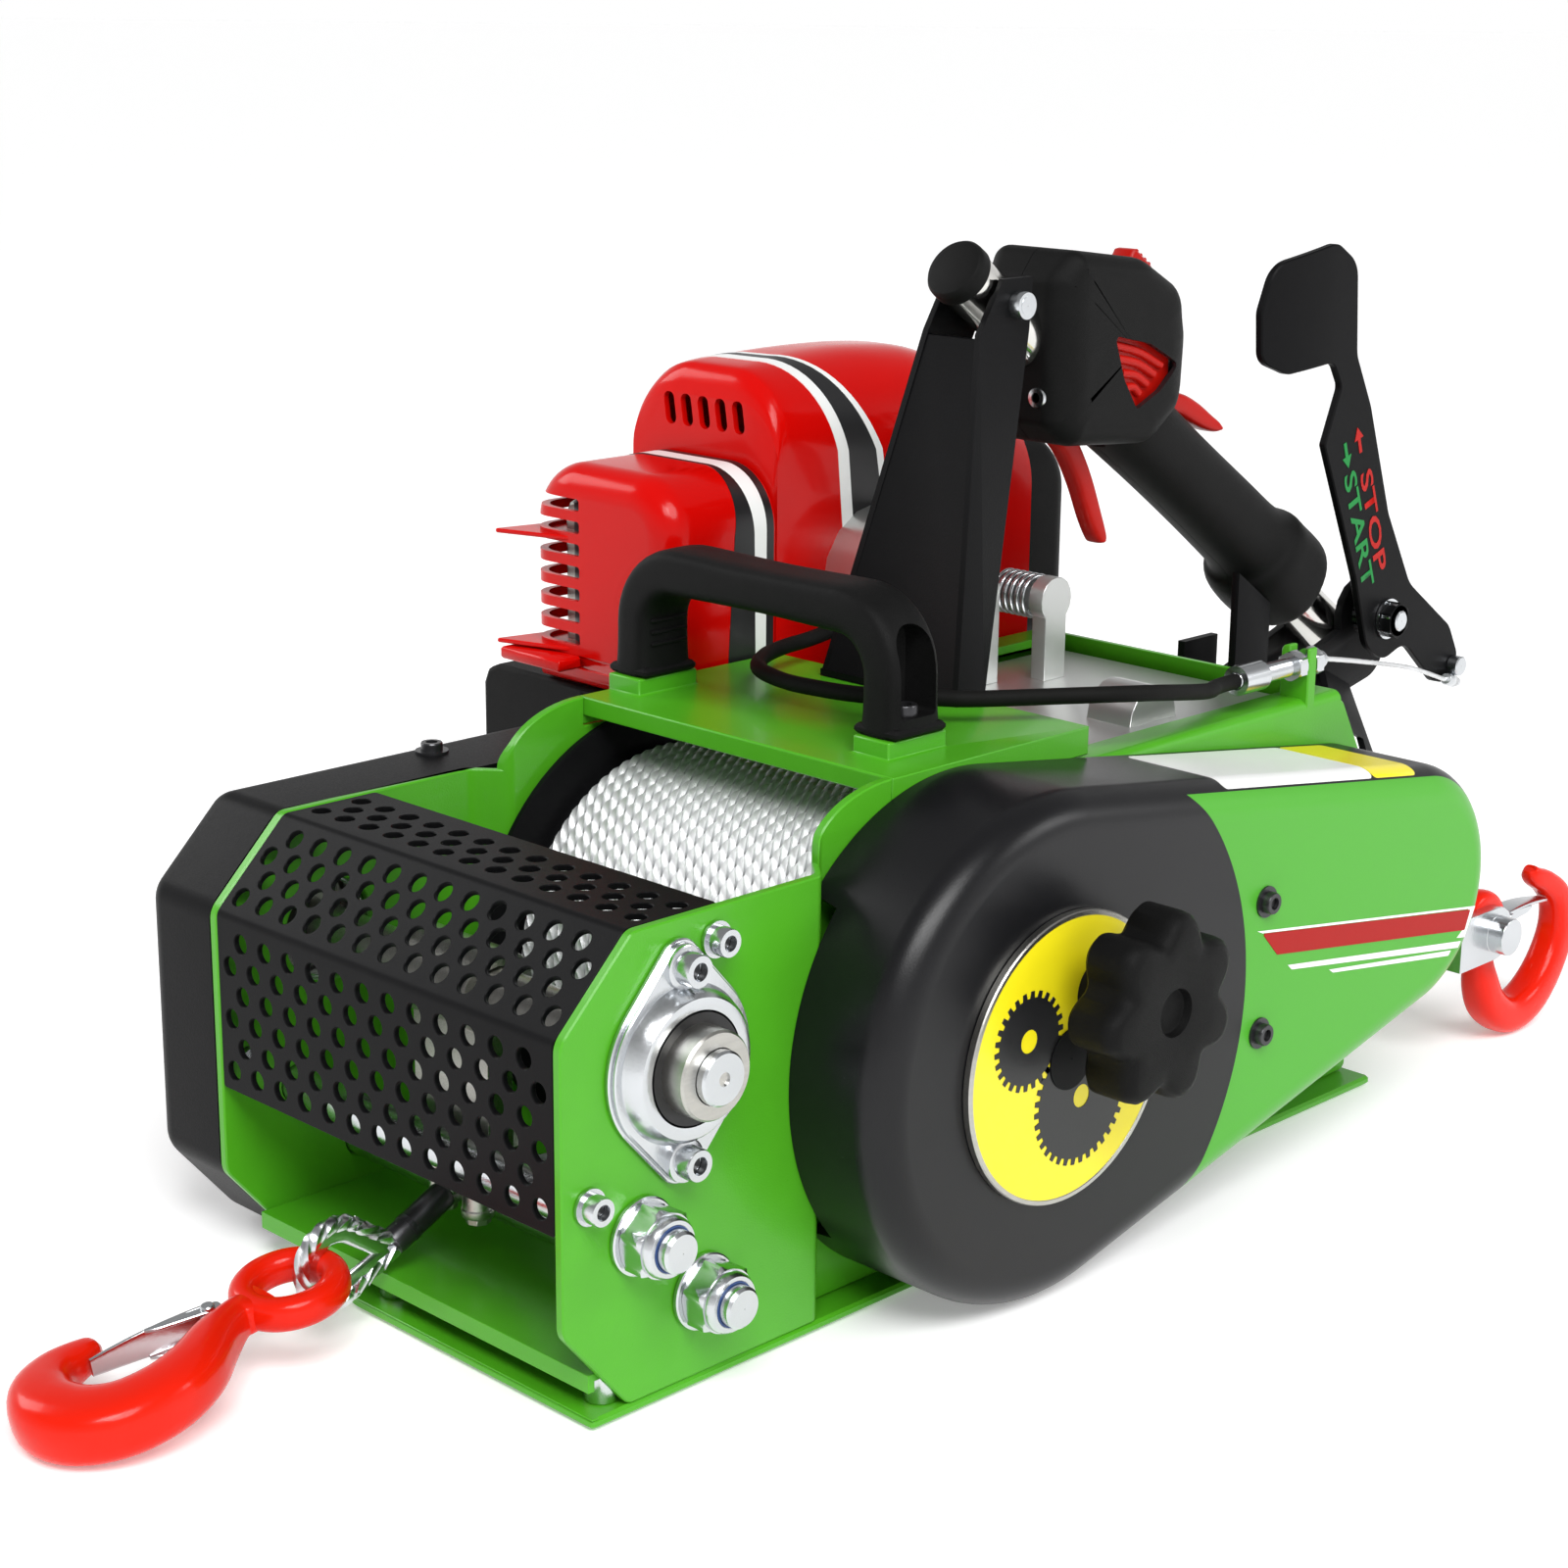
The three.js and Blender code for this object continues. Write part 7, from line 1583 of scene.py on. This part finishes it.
    def leaf(self, grow: float = 0.0) -> Array:
        """The pointed leaf that the stop switch fills, in side view."""
        loop = rounded([(373.5, 346.5, 1.5), (397, 341.5, 14), (418, 331, 1.5), (405.5, 321, 14),
                        (390, 314.4, 1.5), (380.5, 328, 20)], 8)
        loop = loop if area(loop) > 0 else loop[::-1]
        return offset(loop, -grow)

    def controls(self) -> None:
        """The trigger, its lock, the ribbed stop switch and the half-throttle button."""
        rows = spline(np.array([(0, 0, 0.5), (0.22, -0.2, 0.48), (0.4, -0.47, 0.46),
                                (0.55, -0.78, 0.42), (0.64, -0.95, 0.3), (0.66, -0.985, 0.12)])
                      * [58, 58, 9], 40)
        path = np.stack([360 + rows[:, 0], np.full(40, self.parting), 309 + rows[:, 1]], axis=1)
        trigger = Form("trigger_moulded")
        trigger.sweep(path, rows[:, 2] * 1.25, 4.9, Look.SWITCH, (0, 1, 0), 24, 3.2)
        trigger.done("throttle_trigger", angle=60)
        rows = spline([(153, 21, 2), (157, 25, 4.6), (165, 28.6, 5), (176, 30.6, 5),
                       (187, 32, 4), (194, 33.4, 2.8), (197, 34.1, 1)], 30)
        path = np.stack([self.tube.at(float(s), float(lift)) for s, lift in rows[:, :2]])
        lock = Form("throttle_lock_moulded")
        lock.sweep(path, 5.9, rows[:, 2], Look.SWITCH, self.tube.rise, 24, 3.5)
        lock.done("throttle_lock", angle=60)
        switch = Form("stop_switch_moulded")
        switch.plate(np.minimum(self.leaf(3.7), [418, NO_LIMIT]), 87.4, 89.7, Look.SWITCH, SIDE)
        left, right, low = np.array([[374, 345.8], [414.8, 331.7], [390.1, 315.4]])
        for share in (0.09, 0.3, 0.52, 0.74):
            ends = np.stack([left + (low - left) * share, right + (low - right) * share])
            ends += (ends.mean(axis=0) - ends) * 0.1
            arc = np.stack([ends[0], ends.mean(axis=0) + [0.7, 1.4], ends[1]])
            switch.sweep(SIDE.at(spline(arc, 12), 87.1), 2.0, 2.3, Look.SWITCH, (0, 1, 0), 14, 2.4)
        switch.done("stop_switch")
        button = Form("half_throttle_moulded")
        plane = self.button_plane()
        button.plate(rectangle(-8.5, 8.5, -6.5, 6.5, 3), -8, 6.5, Look.SWITCH, plane, bevel=1.2)
        for k in range(4):
            u = -5.4 + 3.6 * k
            button.plate(rectangle(u - 0.7, u + 0.7, -5.4, 5.4, 0.5), 6, 7.4, Look.SWITCH, plane)
        button.done("half_throttle_button")

    def build(self) -> None:
        """Makes the halves and the controls."""
        self.halves()
        self.controls()


@dataclass
class ClutchLever:
    """The long lever with its curved paddle, its bolt and the arrows on its neck."""

    y: float = 77.0
    sheet: float = 4.0
    pivot: Pair = (588, 193)
    clamp: Pair = (650, 160)
    paddle_line: float = 532
    arrow_slant: float = 19

    def paddle_curve(self, points: Array) -> Array:
        """Bends the paddle about an upright line, by the square of the distance past it."""
        past = np.clip(self.paddle_line - points[:, 0], 0, None) * (points[:, 2] > 300)
        points[:, 1] += 0.0026 * past**2
        return points

    def build(self) -> None:
        """Makes the lever, its fittings, the two arrows and the two words."""
        outline = rounded([(572, 181, 14), (588, 172, 12), (606, 178, 12), (634, 154, 10),
                           (650, 150, 7), (656, 164, 10), (646, 181, 12), (607, 208, 24),
                           (584, 246, 30), (563, 300, 24), (549, 325, 14), (545, 368, 13),
                           (528, 378, 12), (487, 370, 14), (480.5, 349, 12), (482, 326, 8),
                           (498, 319.5, 10), (530, 323, 6), (537.5, 311, 5), (526.5, 284.4, 3),
                           (559, 217, 26)], 8)
        form = Form("clutch_lever_cut")
        form.plate(outline, self.y, self.y + self.sheet, Look.BLACK, SIDE,
                   [circle(*self.pivot, 6, 24)], 0.6)
        seams = [(0, float(x)) for x in range(484, 534, 5)] + [(2, 300.0)]
        form.done("clutch_lever", seams=seams, shape=self.paddle_curve)
        fit = Form("lever_bolt")
        x, z = self.pivot
        out = (0, -1, 0)
        fit.lathe([(6.2, 0), (9.6, 0), (10, 0.4), (10, 1.5), (6.2, 1.5)], (x, self.y, z), out,
                  Look.ZINC, 36, True)
        hex_nut(fit, (x, self.y - 1.5, z), out, 8.6, 5.8)
        fit.lathe([(5, 6), (5, 8.2), (4.2, 8.8), (0.2, 8.8), (0.2, -14), (5, -14)],
                  (x, self.y, z), out, Look.ZINC, 32)
        fit.lathe([(5.1, 0), (8.8, 0), (9, 0.4), (9, 9.9), (5.1, 9.9)],
                  (x, self.y + 4.2, z), (0, 1, 0), Look.ZINC, 32, True)
        fit.done(body="clutch_lever")
        clamp = Form("wire_clamp")
        clamp.lathe([(4.6, 0), (5, 0.5), (5, 5.5), (4.4, 6), (0.2, 6), (0.2, 0)],
                    (self.clamp[0], self.y, self.clamp[1]), out, Look.ZINC, 28)
        clamp.lathe([(2.6, -7), (3.2, -6), (3.2, 6), (2.6, 7), (0.2, 7), (0.2, -7)],
                    (646, 75, 153), (0.87, 0.24, -0.27), Look.ZINC, 24)
        clamp.done(body="clutch_lever")
        arrows = Form("lever_arrows")
        for u, v, way, look in ((554.4, 283.8, 1, Look.SWITCH), (544.5, 278.3, -1, Look.LEAF)):
            flat = np.array([(-1.1, -6), (1.1, -6), (1.1, 1), (3.6, 1), (0, 7), (-3.6, 1),
                             (-1.1, 1)]) * [1, way]
            spun = turned(flat, math.radians(self.arrow_slant)) + [u, v]
            arrows.plate(spun, self.y - 0.25, self.y + 0.1, look, SIDE, bevel=0.04)
        arrows.done(body="clutch_lever")
        self.word("STOP", Look.SWITCH, (556.5, 267), (575.5, 216))
        self.word("START", Look.LEAF, (543, 267.5), (565.5, 209.5))

    def word(self, letters: str, look: Look, start: Pair, end: Pair) -> None:
        """Prints a word down the neck: its width runs from start to end and its height to the
        left of that, both scaled from the drawn letters.

        Args:
            letters: The word.
            look: Its ink.
            start: Lower corner of the first letter, in side view.
            end: Lower corner after the last letter.
        """
        drawn = bpy.data.curves.new(f"word_{letters}", "FONT")
        drawn.body, drawn.resolution_u, drawn.offset = letters, 3, 0.018
        item = placed(f"lever_word_{letters.lower()}", drawn)
        mesh = bpy.data.meshes.new_from_object(item)
        bpy.data.objects.remove(item)
        flat = np.empty(len(mesh.vertices) * 3)
        mesh.vertices.foreach_get("co", flat)
        flat = flat.reshape(-1, 3)
        flat -= flat.min(axis=0)
        run = np.array(end) - np.array(start)
        rise = unit(np.array([-run[1], run[0]])) * 10.0
        share = flat[:, :2] / flat[:, :2].max(axis=0)
        spots = np.array(start) + share[:, :1] * run + share[:, 1:] * rise
        place = (SIDE.at(spots, self.y - 0.2) - ORIGIN) / 1000
        mesh.vertices.foreach_set("co", place.ravel())
        mesh.materials.clear()
        mesh.materials.append(look.value.material())
        mesh.update()
        settle(placed(f"lever_word_{letters.lower()}", mesh), look, "clutch_lever")


@dataclass
class Cable:
    """The lever's cable: its sheath, the adjuster in the plate's tab and the bare wire."""

    route: tuple[Triple, ...] = (
        (384.1, 19, 205), (377, 19, 205), (368, 17, 205.5), (353, 12, 207), (313, 9, 210),
        (285, 19, 212), (248, 45, 212), (237, 57, 212), (219, 81, 212), (213, 104, 212),
        (213, 122, 212), (221, 143, 212), (238, 157, 212), (257, 164, 212), (275, 167, 212),
        (292, 168, 214), (309, 168, 219))
    raised_from: int = 4
    raised_by: float = 3.6
    lock_nuts: tuple[float, ...] = (423.9, 436.3)
    knurls: int = 14

    def build(self) -> None:
        """Makes the sheath, the adjuster and the wire, which turns with the lever at one end."""
        sheath = Form("cable_sheath_moulded")
        spots = np.array(self.route)
        spots[self.raised_from:] += [0, 0, self.raised_by]
        sheath.sweep(spline(spots, 150), 3.4, 3.4, Look.RUBBER, (0, 0, 1), 16)
        sheath.done("cable_sheath", angle=60)
        axis = (1, 0, 0)
        adjust = Form("cable_adjuster")
        adjust.lathe([(3.2, 0), (3.9, 0.6), (3.9, 62.4), (3.2, 63.2), (1.6, 63.3), (1.6, 0)],
                     (384.9, 19, 205), axis, Look.ZINC, 28, True)
        for k in range(self.knurls):
            adjust.lathe([(3.85, 0), (4.25, 0.45), (3.85, 0.9)], (404.4 + 1.25 * k, 19, 205), axis,
                         Look.ZINC, 20, True)
        adjust.lathe([(4, 0), (6.5, 0.3), (6.5, 17), (5.6, 18), (4, 18)], (384.8, 19, 205), axis,
                     Look.ZINC, 32, True)
        for x in self.lock_nuts:
            hex_nut(adjust, (x, 19, 205), axis, 7, 5.8)
        adjust.done("adjuster_barrel")
        wire = Form("cable_wire_drawn")
        path = spline([(448.3, 19, 205), (500, 33, 193), (580, 57, 173), (644.4, 75, 153)], 80)
        wire.strand(path, 1.25, Look.ROPE, 14, 12)
        item = wire.raw()
        smooth(item, 80)
        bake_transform(item)
        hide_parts("cable_wire")
        tail = Form("wire_tail")
        tail.strand(spline([(645, 75.2, 152.8), (657, 78.4, 149.8)], 20), 1.2, Look.ROPE, 14, 12)
        tail.lathe([(1.3, 0), (2.4, 0.3), (2.4, 7), (1.3, 7.4)], (652, 77, 151), (0.96, 0.26,
                   -0.24), Look.ZINC, 20, True)
        tail.done(body="clutch_lever")


# ---------------------------------------------------------------- engine


@dataclass
class Engine:
    """The small engine: moulded covers with printed bands, block, muffler, tank and starter."""

    near: float = 193.5
    far: float = 287.0
    low: float = 186.4
    wall: float = 2.6
    middle: float = 240.25
    starter: Pair = (345.0, 236.0)
    coils: int = 6
    slot_heights: Pair = (298.5, 313)
    slot_pitch: float = 11
    vents: tuple[int, int, int] = (197, 277, 10)
    stations: tuple[Triple, ...] = (
        (281.6, 313.0, 27.0), (283.4, 319.5, 30.0), (286.8, 324.6, 32.5), (292, 327, 33.6),
        (312, 329, 38.0), (340, 330.4, 42.0), (372, 329.8, 42.0), (402, 326.5, 42.0),
        (428, 317, 42.0), (454, 301, 42.0))

    def arch(self, top: float, radius: float, shrink: float = 0.0) -> Array:
        """The section across the engine: straight sides, round shoulders and a flat crown."""
        near, far = self.near + shrink, self.far - shrink
        low = self.low - (30 if shrink > 0 else 0)
        sides = np.linspace(low, top - shrink - radius, 10)
        right = [(far, z, 0) for z in sides[:-1]]
        left = [(near, z, 0) for z in sides[:-1][::-1]]
        return rounded([*right, (far, top - shrink, radius), (near, top - shrink, radius),
                        *left], 16)

    def hull(self, shrink: float = 0.0) -> Array:
        """Sections of the shroud from its front edge to its rear."""
        rows = spline(self.stations, 46)
        if shrink > 0:
            rows = rows[rows[:, 0] > rows[0, 0] + shrink] - [0, 0, 0.8 * shrink]
            rows[-1, 0] += 20
        return np.stack([FRONT.at(self.arch(top, radius, shrink), x) for x, top, radius in rows])

    def band(self, form: Form, rings: Array, low: Callable[[Array], Array],
             high: Callable[[Array], Array], look: Look, first: float = 0.0,
             last: float = 1.0) -> None:
        """A printed band: for each place round the section, the skin between two X limits.

        A point's height over the skin is a third of a millimetre, measured from the middle of
        the engine.

        Args:
            form: Takes the band.
            rings: Sections of the skin.
            low: Gives the band's first X from the share round the section.
            high: Gives its last X.
            look: The finish.
            first: Share where the band starts.
            last: Share where it ends.
        """
        count = rings.shape[1]
        picks = np.arange(int(first * (count - 1)), int(last * (count - 1)) + 1)
        share = picks / (count - 1)
        across = np.linspace(0, 1, 10)[:, None]
        x = low(share)[None, :] * (1 - across) + high(share)[None, :] * across
        place = np.zeros((*x.shape, 3))
        place[..., 0] = x
        for column, pick in enumerate(picks):
            for axis in (1, 2):
                place[:, column, axis] = np.interp(x[:, column], rings[:, pick, 0],
                                                   rings[:, pick, axis])
        away = place - np.array([0, 240.0, 236.0])
        away[..., 0] = 0
        away = unit(away)
        outer, inner = place + 0.3 * away, place - 0.4 * away
        loop = np.concatenate([outer, inner[::-1]])
        form.skin(loop.transpose(1, 0, 2), look)

    def shroud(self) -> None:
        """The tall cover, hollow below, with five slots in its front shoulder."""
        form = Form("engine_shroud_moulded")
        form.skin(self.hull(), Look.SHROUD)
        inner = Form("shroud_room")
        inner.skin(self.hull(self.wall), Look.SHROUD)
        low, high = self.slot_heights
        slots = [Form("slot").plate(rounded([(y - 4.6, low, 3), (y + 2.2, low, 3),
                                             (y + 4.6, high, 3), (y - 2.2, high, 3)], 5),
                                    275, 300, Look.SHROUD, FRONT, bevel=0.1)
                 for y in (self.middle - 22 + self.slot_pitch * k for k in range(5))]
        form.done("engine_shroud", cuts=[inner, *slots], angle=45)
        bands = Form("shroud_bands")
        rings = self.hull()
        lines = [lambda s: 292 + 60 * np.clip(s - 0.36, 0, 1),
                 lambda s: 298 + 62 * np.clip(s - 0.36, 0, 1),
                 lambda s: 298.5 + 104 * np.clip(s - 0.36, 0, 1) ** 1.05,
                 lambda s: 301 + 108 * np.clip(s - 0.36, 0, 1) ** 1.05]
        for low, high, look in zip(lines, lines[1:], (Look.WHITE, Look.INK_AND_SHADE, Look.WHITE)):
            self.band(bands, rings, low, high, look, 0.02, 0.98)
        bands.done(body="frame", angle=45)

    def muffler_cover(self) -> None:
        """The lower front cover, with slots round its far corner and two pointed fins."""
        arch = self.arch(286.8, 27.0)
        form = Form("muffler_cover_moulded")
        rings = pressed(arch, 280.4, 217.6, 14, 14, self.wall, FRONT, 12)
        form.skin(rings, Look.SHROUD)
        cuts = [Form("vent").block((205, 243.5), (252, 292), (z, z + 5.5), Look.SHROUD, 1)
                for z in range(*self.vents)]
        form.done("muffler_cover", cuts=cuts, angle=45)
        fins = Form("muffler_cover_fins")
        for z in (203.5, 253.5):
            fin = rounded([(218.5, 256, 1), (206, 296, 0.8), (256, 285.5, 1), (232, 266, 3)], 5)
            fins.plate(fin, z, z + 2, Look.SHROUD, TOP, bevel=0.5)
        fins.done(body="frame")
        bands = Form("muffler_cover_bands")
        outer = rings[len(rings) // 2:][::-1][:-1]
        outer = outer[np.argsort(outer[:, 0, 0])]
        lines = [lambda s: 264 - 26 * np.abs(s - 0.5), lambda s: 265 + 8 * np.abs(s - 0.5),
                 lambda s: 275 + 0 * s, lambda s: 279.5 + 0 * s]
        for low, high, look in zip(lines, lines[1:], (Look.INK_AND_SHADE, Look.WHITE, Look.INK_AND_SHADE)):
            self.band(bands, outer, low, high, look, 0.02, 0.98)
        bands.done(body="frame", angle=45)
        # Painted shade: a dark block inside the cover, so that the vent slots look shadowed.
        shadow_block = Form("vent_shade_block")
        shadow_block.block((228, 274), (200, 271), (191, 274), Look.DARK_AND_SHADE, 6)
        shadow_block.done(body="frame")

    def rear(self) -> None:
        """The air filter's cover and the recoil starter's housing."""
        loop = rounded([(198, 178.2, 14), (287, 178.2, 14), (287, 280, 26), (198, 280, 26)], 10)
        form = Form("air_filter_cover_moulded")
        form.skin(pressed(loop, 454.4, 490, 12, 12, 3, FRONT, 10), Look.PLASTIC)
        form.done("air_filter_cover", angle=45)
        ribs = Form("air_filter_ribs")
        for z in range(205, 265, 12):
            ribs.plate(rectangle(216, 269, z, z + 5, 2.4), 488, 491.2, Look.PLASTIC, FRONT,
                       bevel=0.8)
        ribs.done(body="frame")
        start = Form("starter_housing_moulded")
        u, v = self.starter
        start.lathe([(0.2, 0), (43, 0), (43, 20), (41.8, 25.6), (38.5, 29.6), (33, 32), (22, 33.2),
                     (21, 32.4), (20, 32.4), (19, 34), (0.2, 34)], (u, 287.3, v), (0, 1, 0),
                    Look.PLASTIC, 72)
        flat = np.array([(25.5, -2.2), (36.5, -3), (36.5, 3), (25.5, 2.2)])
        cuts = [Form("vent").plate(turned(flat, TAU * k / 12) + [u, v], 312, 330, Look.INK_AND_SHADE, SIDE,
                                   bevel=0.1) for k in range(12)]
        start.done("starter_housing", cuts=cuts, angle=40)
        boss = Form("starter_screws")
        for k in range(4):
            angle = TAU * (k + 0.5) / 4
            boss.lathe([(4.4, 0), (4.4, 3), (3.4, 4), (0.2, 4), (0.2, 0)],
                       (u + 38 * math.cos(angle), 311, v + 38 * math.sin(angle)), (0, 1, 0),
                       Look.ZINC, 24)
        boss.done(body="frame")

    def spring(self) -> None:
        """The spring on the clutch's plunger: wire wound at an even pitch."""
        turn = np.linspace(0, self.coils * TAU, self.coils * 44)
        path = np.stack([399 + 9.3 * np.cos(turn), 141.2 + 3.55 * turn / TAU,
                         221 + 9.3 * np.sin(turn)], axis=1)
        form = Form("tension_spring_wound")
        form.sweep(path, 1.2, 1.2, Look.ZINC, (0, 1, 0), 14)
        form.done("tension_spring", angle=60)

    def build(self) -> None:
        """Makes the covers, then dresses the metal parts under them."""
        self.muffler_cover()
        self.shroud()
        self.rear()
        self.spring()
        for source, look, edge in (("gearbox_housing", Look.CAST, 1.4),
                                   ("engine_block", Look.CAST, 0.8),
                                   ("muffler", Look.STEEL, 2.0), ("fuel_tank", Look.PLASTIC, 3.0)):
            dress(source, look, edge)


@dataclass
class Clevis:
    """The bolted block between the tongue and the anchor hook's eye."""

    bolt: Pair = (551, 60)

    def build(self) -> None:
        """Dresses the block and adds its bolt head and washer."""
        dress("anchor_clevis", Look.ZINC, 1.0)
        form = Form("clevis_washer")
        (x, z), out = self.bolt, (0, 1, 0)
        form.lathe([(7, 0), (13.5, 0), (14, 0.5), (14, 1.6), (7, 1.6)], (x, 17.2, z), out,
                   Look.ZINC, 36, True)
        hex_nut(form, (x, 18.8, z), out, 10, 8)
        form.lathe([(6, 0), (6, 11), (5, 12), (0.2, 12), (0.2, 0)], (x, 17, z), out, Look.ZINC, 28)
        form.done(body="frame")


# ---------------------------------------------------------------- the scene


@dataclass
class Studio:
    """Camera, pale floor and soft lights."""

    place: Triple = (-0.84596, -0.79411, 0.49310)
    right: Triple = (0.70580497, -0.70834489, 0.00931997)
    down: Triple = (-0.18383699, -0.19585163, -0.96324768)
    ahead: Triple = (0.68413691, 0.67815164, -0.26845304)
    lens: float = 66.53
    sky: Pair = (1.0, 0.28)
    sun: float = 2.0
    floor_glow: float = 0.24
    floor_reach: float = 40.0
    aim_height: float = 0.15
    fade: Pair = (0.06, 0.6)

    def camera(self) -> None:
        """Sets the camera in the place that was fitted to the photograph."""
        data = bpy.data.cameras.new("camera")
        data.sensor_width, data.lens = 36.0, self.lens
        data.clip_start, data.clip_end = 0.05, 30.0
        item = placed("camera", data)
        turn = Matrix([self.right, [-c for c in self.down], [-c for c in self.ahead]]).transposed()
        item.matrix_world = Matrix.Translation(self.place) @ turn.to_4x4()
        bpy.context.scene.camera = item

    def lamp(self, name: str, place: Triple, size: float,
             power: float) -> None:
        """Adds a square soft light that looks at the winch."""
        data = bpy.data.lights.new(name, "AREA")
        data.size, data.energy = size, power
        item = placed(name, data)
        item.location = place
        aim = Vector((0.0, 0.0, self.aim_height)) - Vector(place)
        item.rotation_euler = aim.to_track_quat("-Z", "Y").to_euler()

    def build(self) -> None:
        """Makes the floor, the world and the lights."""
        self.camera()
        mesh = bpy.data.meshes.new("floor")
        reach = self.floor_reach
        mesh.from_pydata([(-reach, -reach, 0), (reach, -reach, 0), (reach, reach, 0),
                          (-reach, reach, 0)], [], [(0, 1, 2, 3)])
        floor = placed("floor", mesh)
        pale = Finish("pale_floor", "frame_green", (0.92, 0.92, 0.92), 0.7, relief=0.0, vary=0.002)
        made = pale.material()
        fill(made.node_tree.nodes["Principled BSDF"],
             {"Emission Color": (1.0, 1.0, 1.0, 1.0), "Emission Strength": self.floor_glow})
        mesh.materials.append(made)
        world = bpy.data.worlds.new("studio")
        world.use_nodes = True
        tree = world.node_tree
        heading = node(tree, "TexCoord").outputs["Generated"]
        rise = node(tree, "SeparateXYZ", {0: heading}).outputs["Z"]
        fade = node(tree, "MapRange", {"Value": rise, "From Min": self.fade[0],
                                       "From Max": self.fade[1], "To Min": self.sky[0],
                                       "To Max": self.sky[1]})
        fill(tree.nodes["Background"], {"Strength": fade.outputs["Result"],
                                        "Color": (1.0, 1.0, 1.0, 1.0)})
        bpy.context.scene.world = world
        sun = bpy.data.lights.new("broad_light", "SUN")
        sun.energy, sun.angle = self.sun, math.radians(30)
        heading = Vector((0.35, 0.75, -0.9)).to_track_quat("-Z", "Y")
        placed("broad_light", sun).rotation_euler = heading.to_euler()
        self.lamp("key", (-1.6, -1.2, 2.2), 0.8, 22)
        self.lamp("fill", (1.8, -2.0, 1.3), 0.8, 12)
        self.lamp("far_side", (-0.8, 2.2, 1.5), 1.0, 16)
        bpy.context.scene.view_settings.view_transform = "Standard"


def main() -> None:
    """Builds every assembly in order."""
    logging.basicConfig(level=logging.INFO, format="%(message)s")
    Studio().build()
    builders = (Chassis(), Guard(), BeltCover(), FarCover(), Selector(), Drum(), Bearing(),
                CrossBolts(), RopeGuide(), ROPE_HOOK, ANCHOR_HOOK, Clevis(), CarryHandle(),
                Tube(), Grip(), ClutchLever(), Cable(), Engine())
    for builder in builders:
        builder.build()


if __name__ == "__main__":
    main()
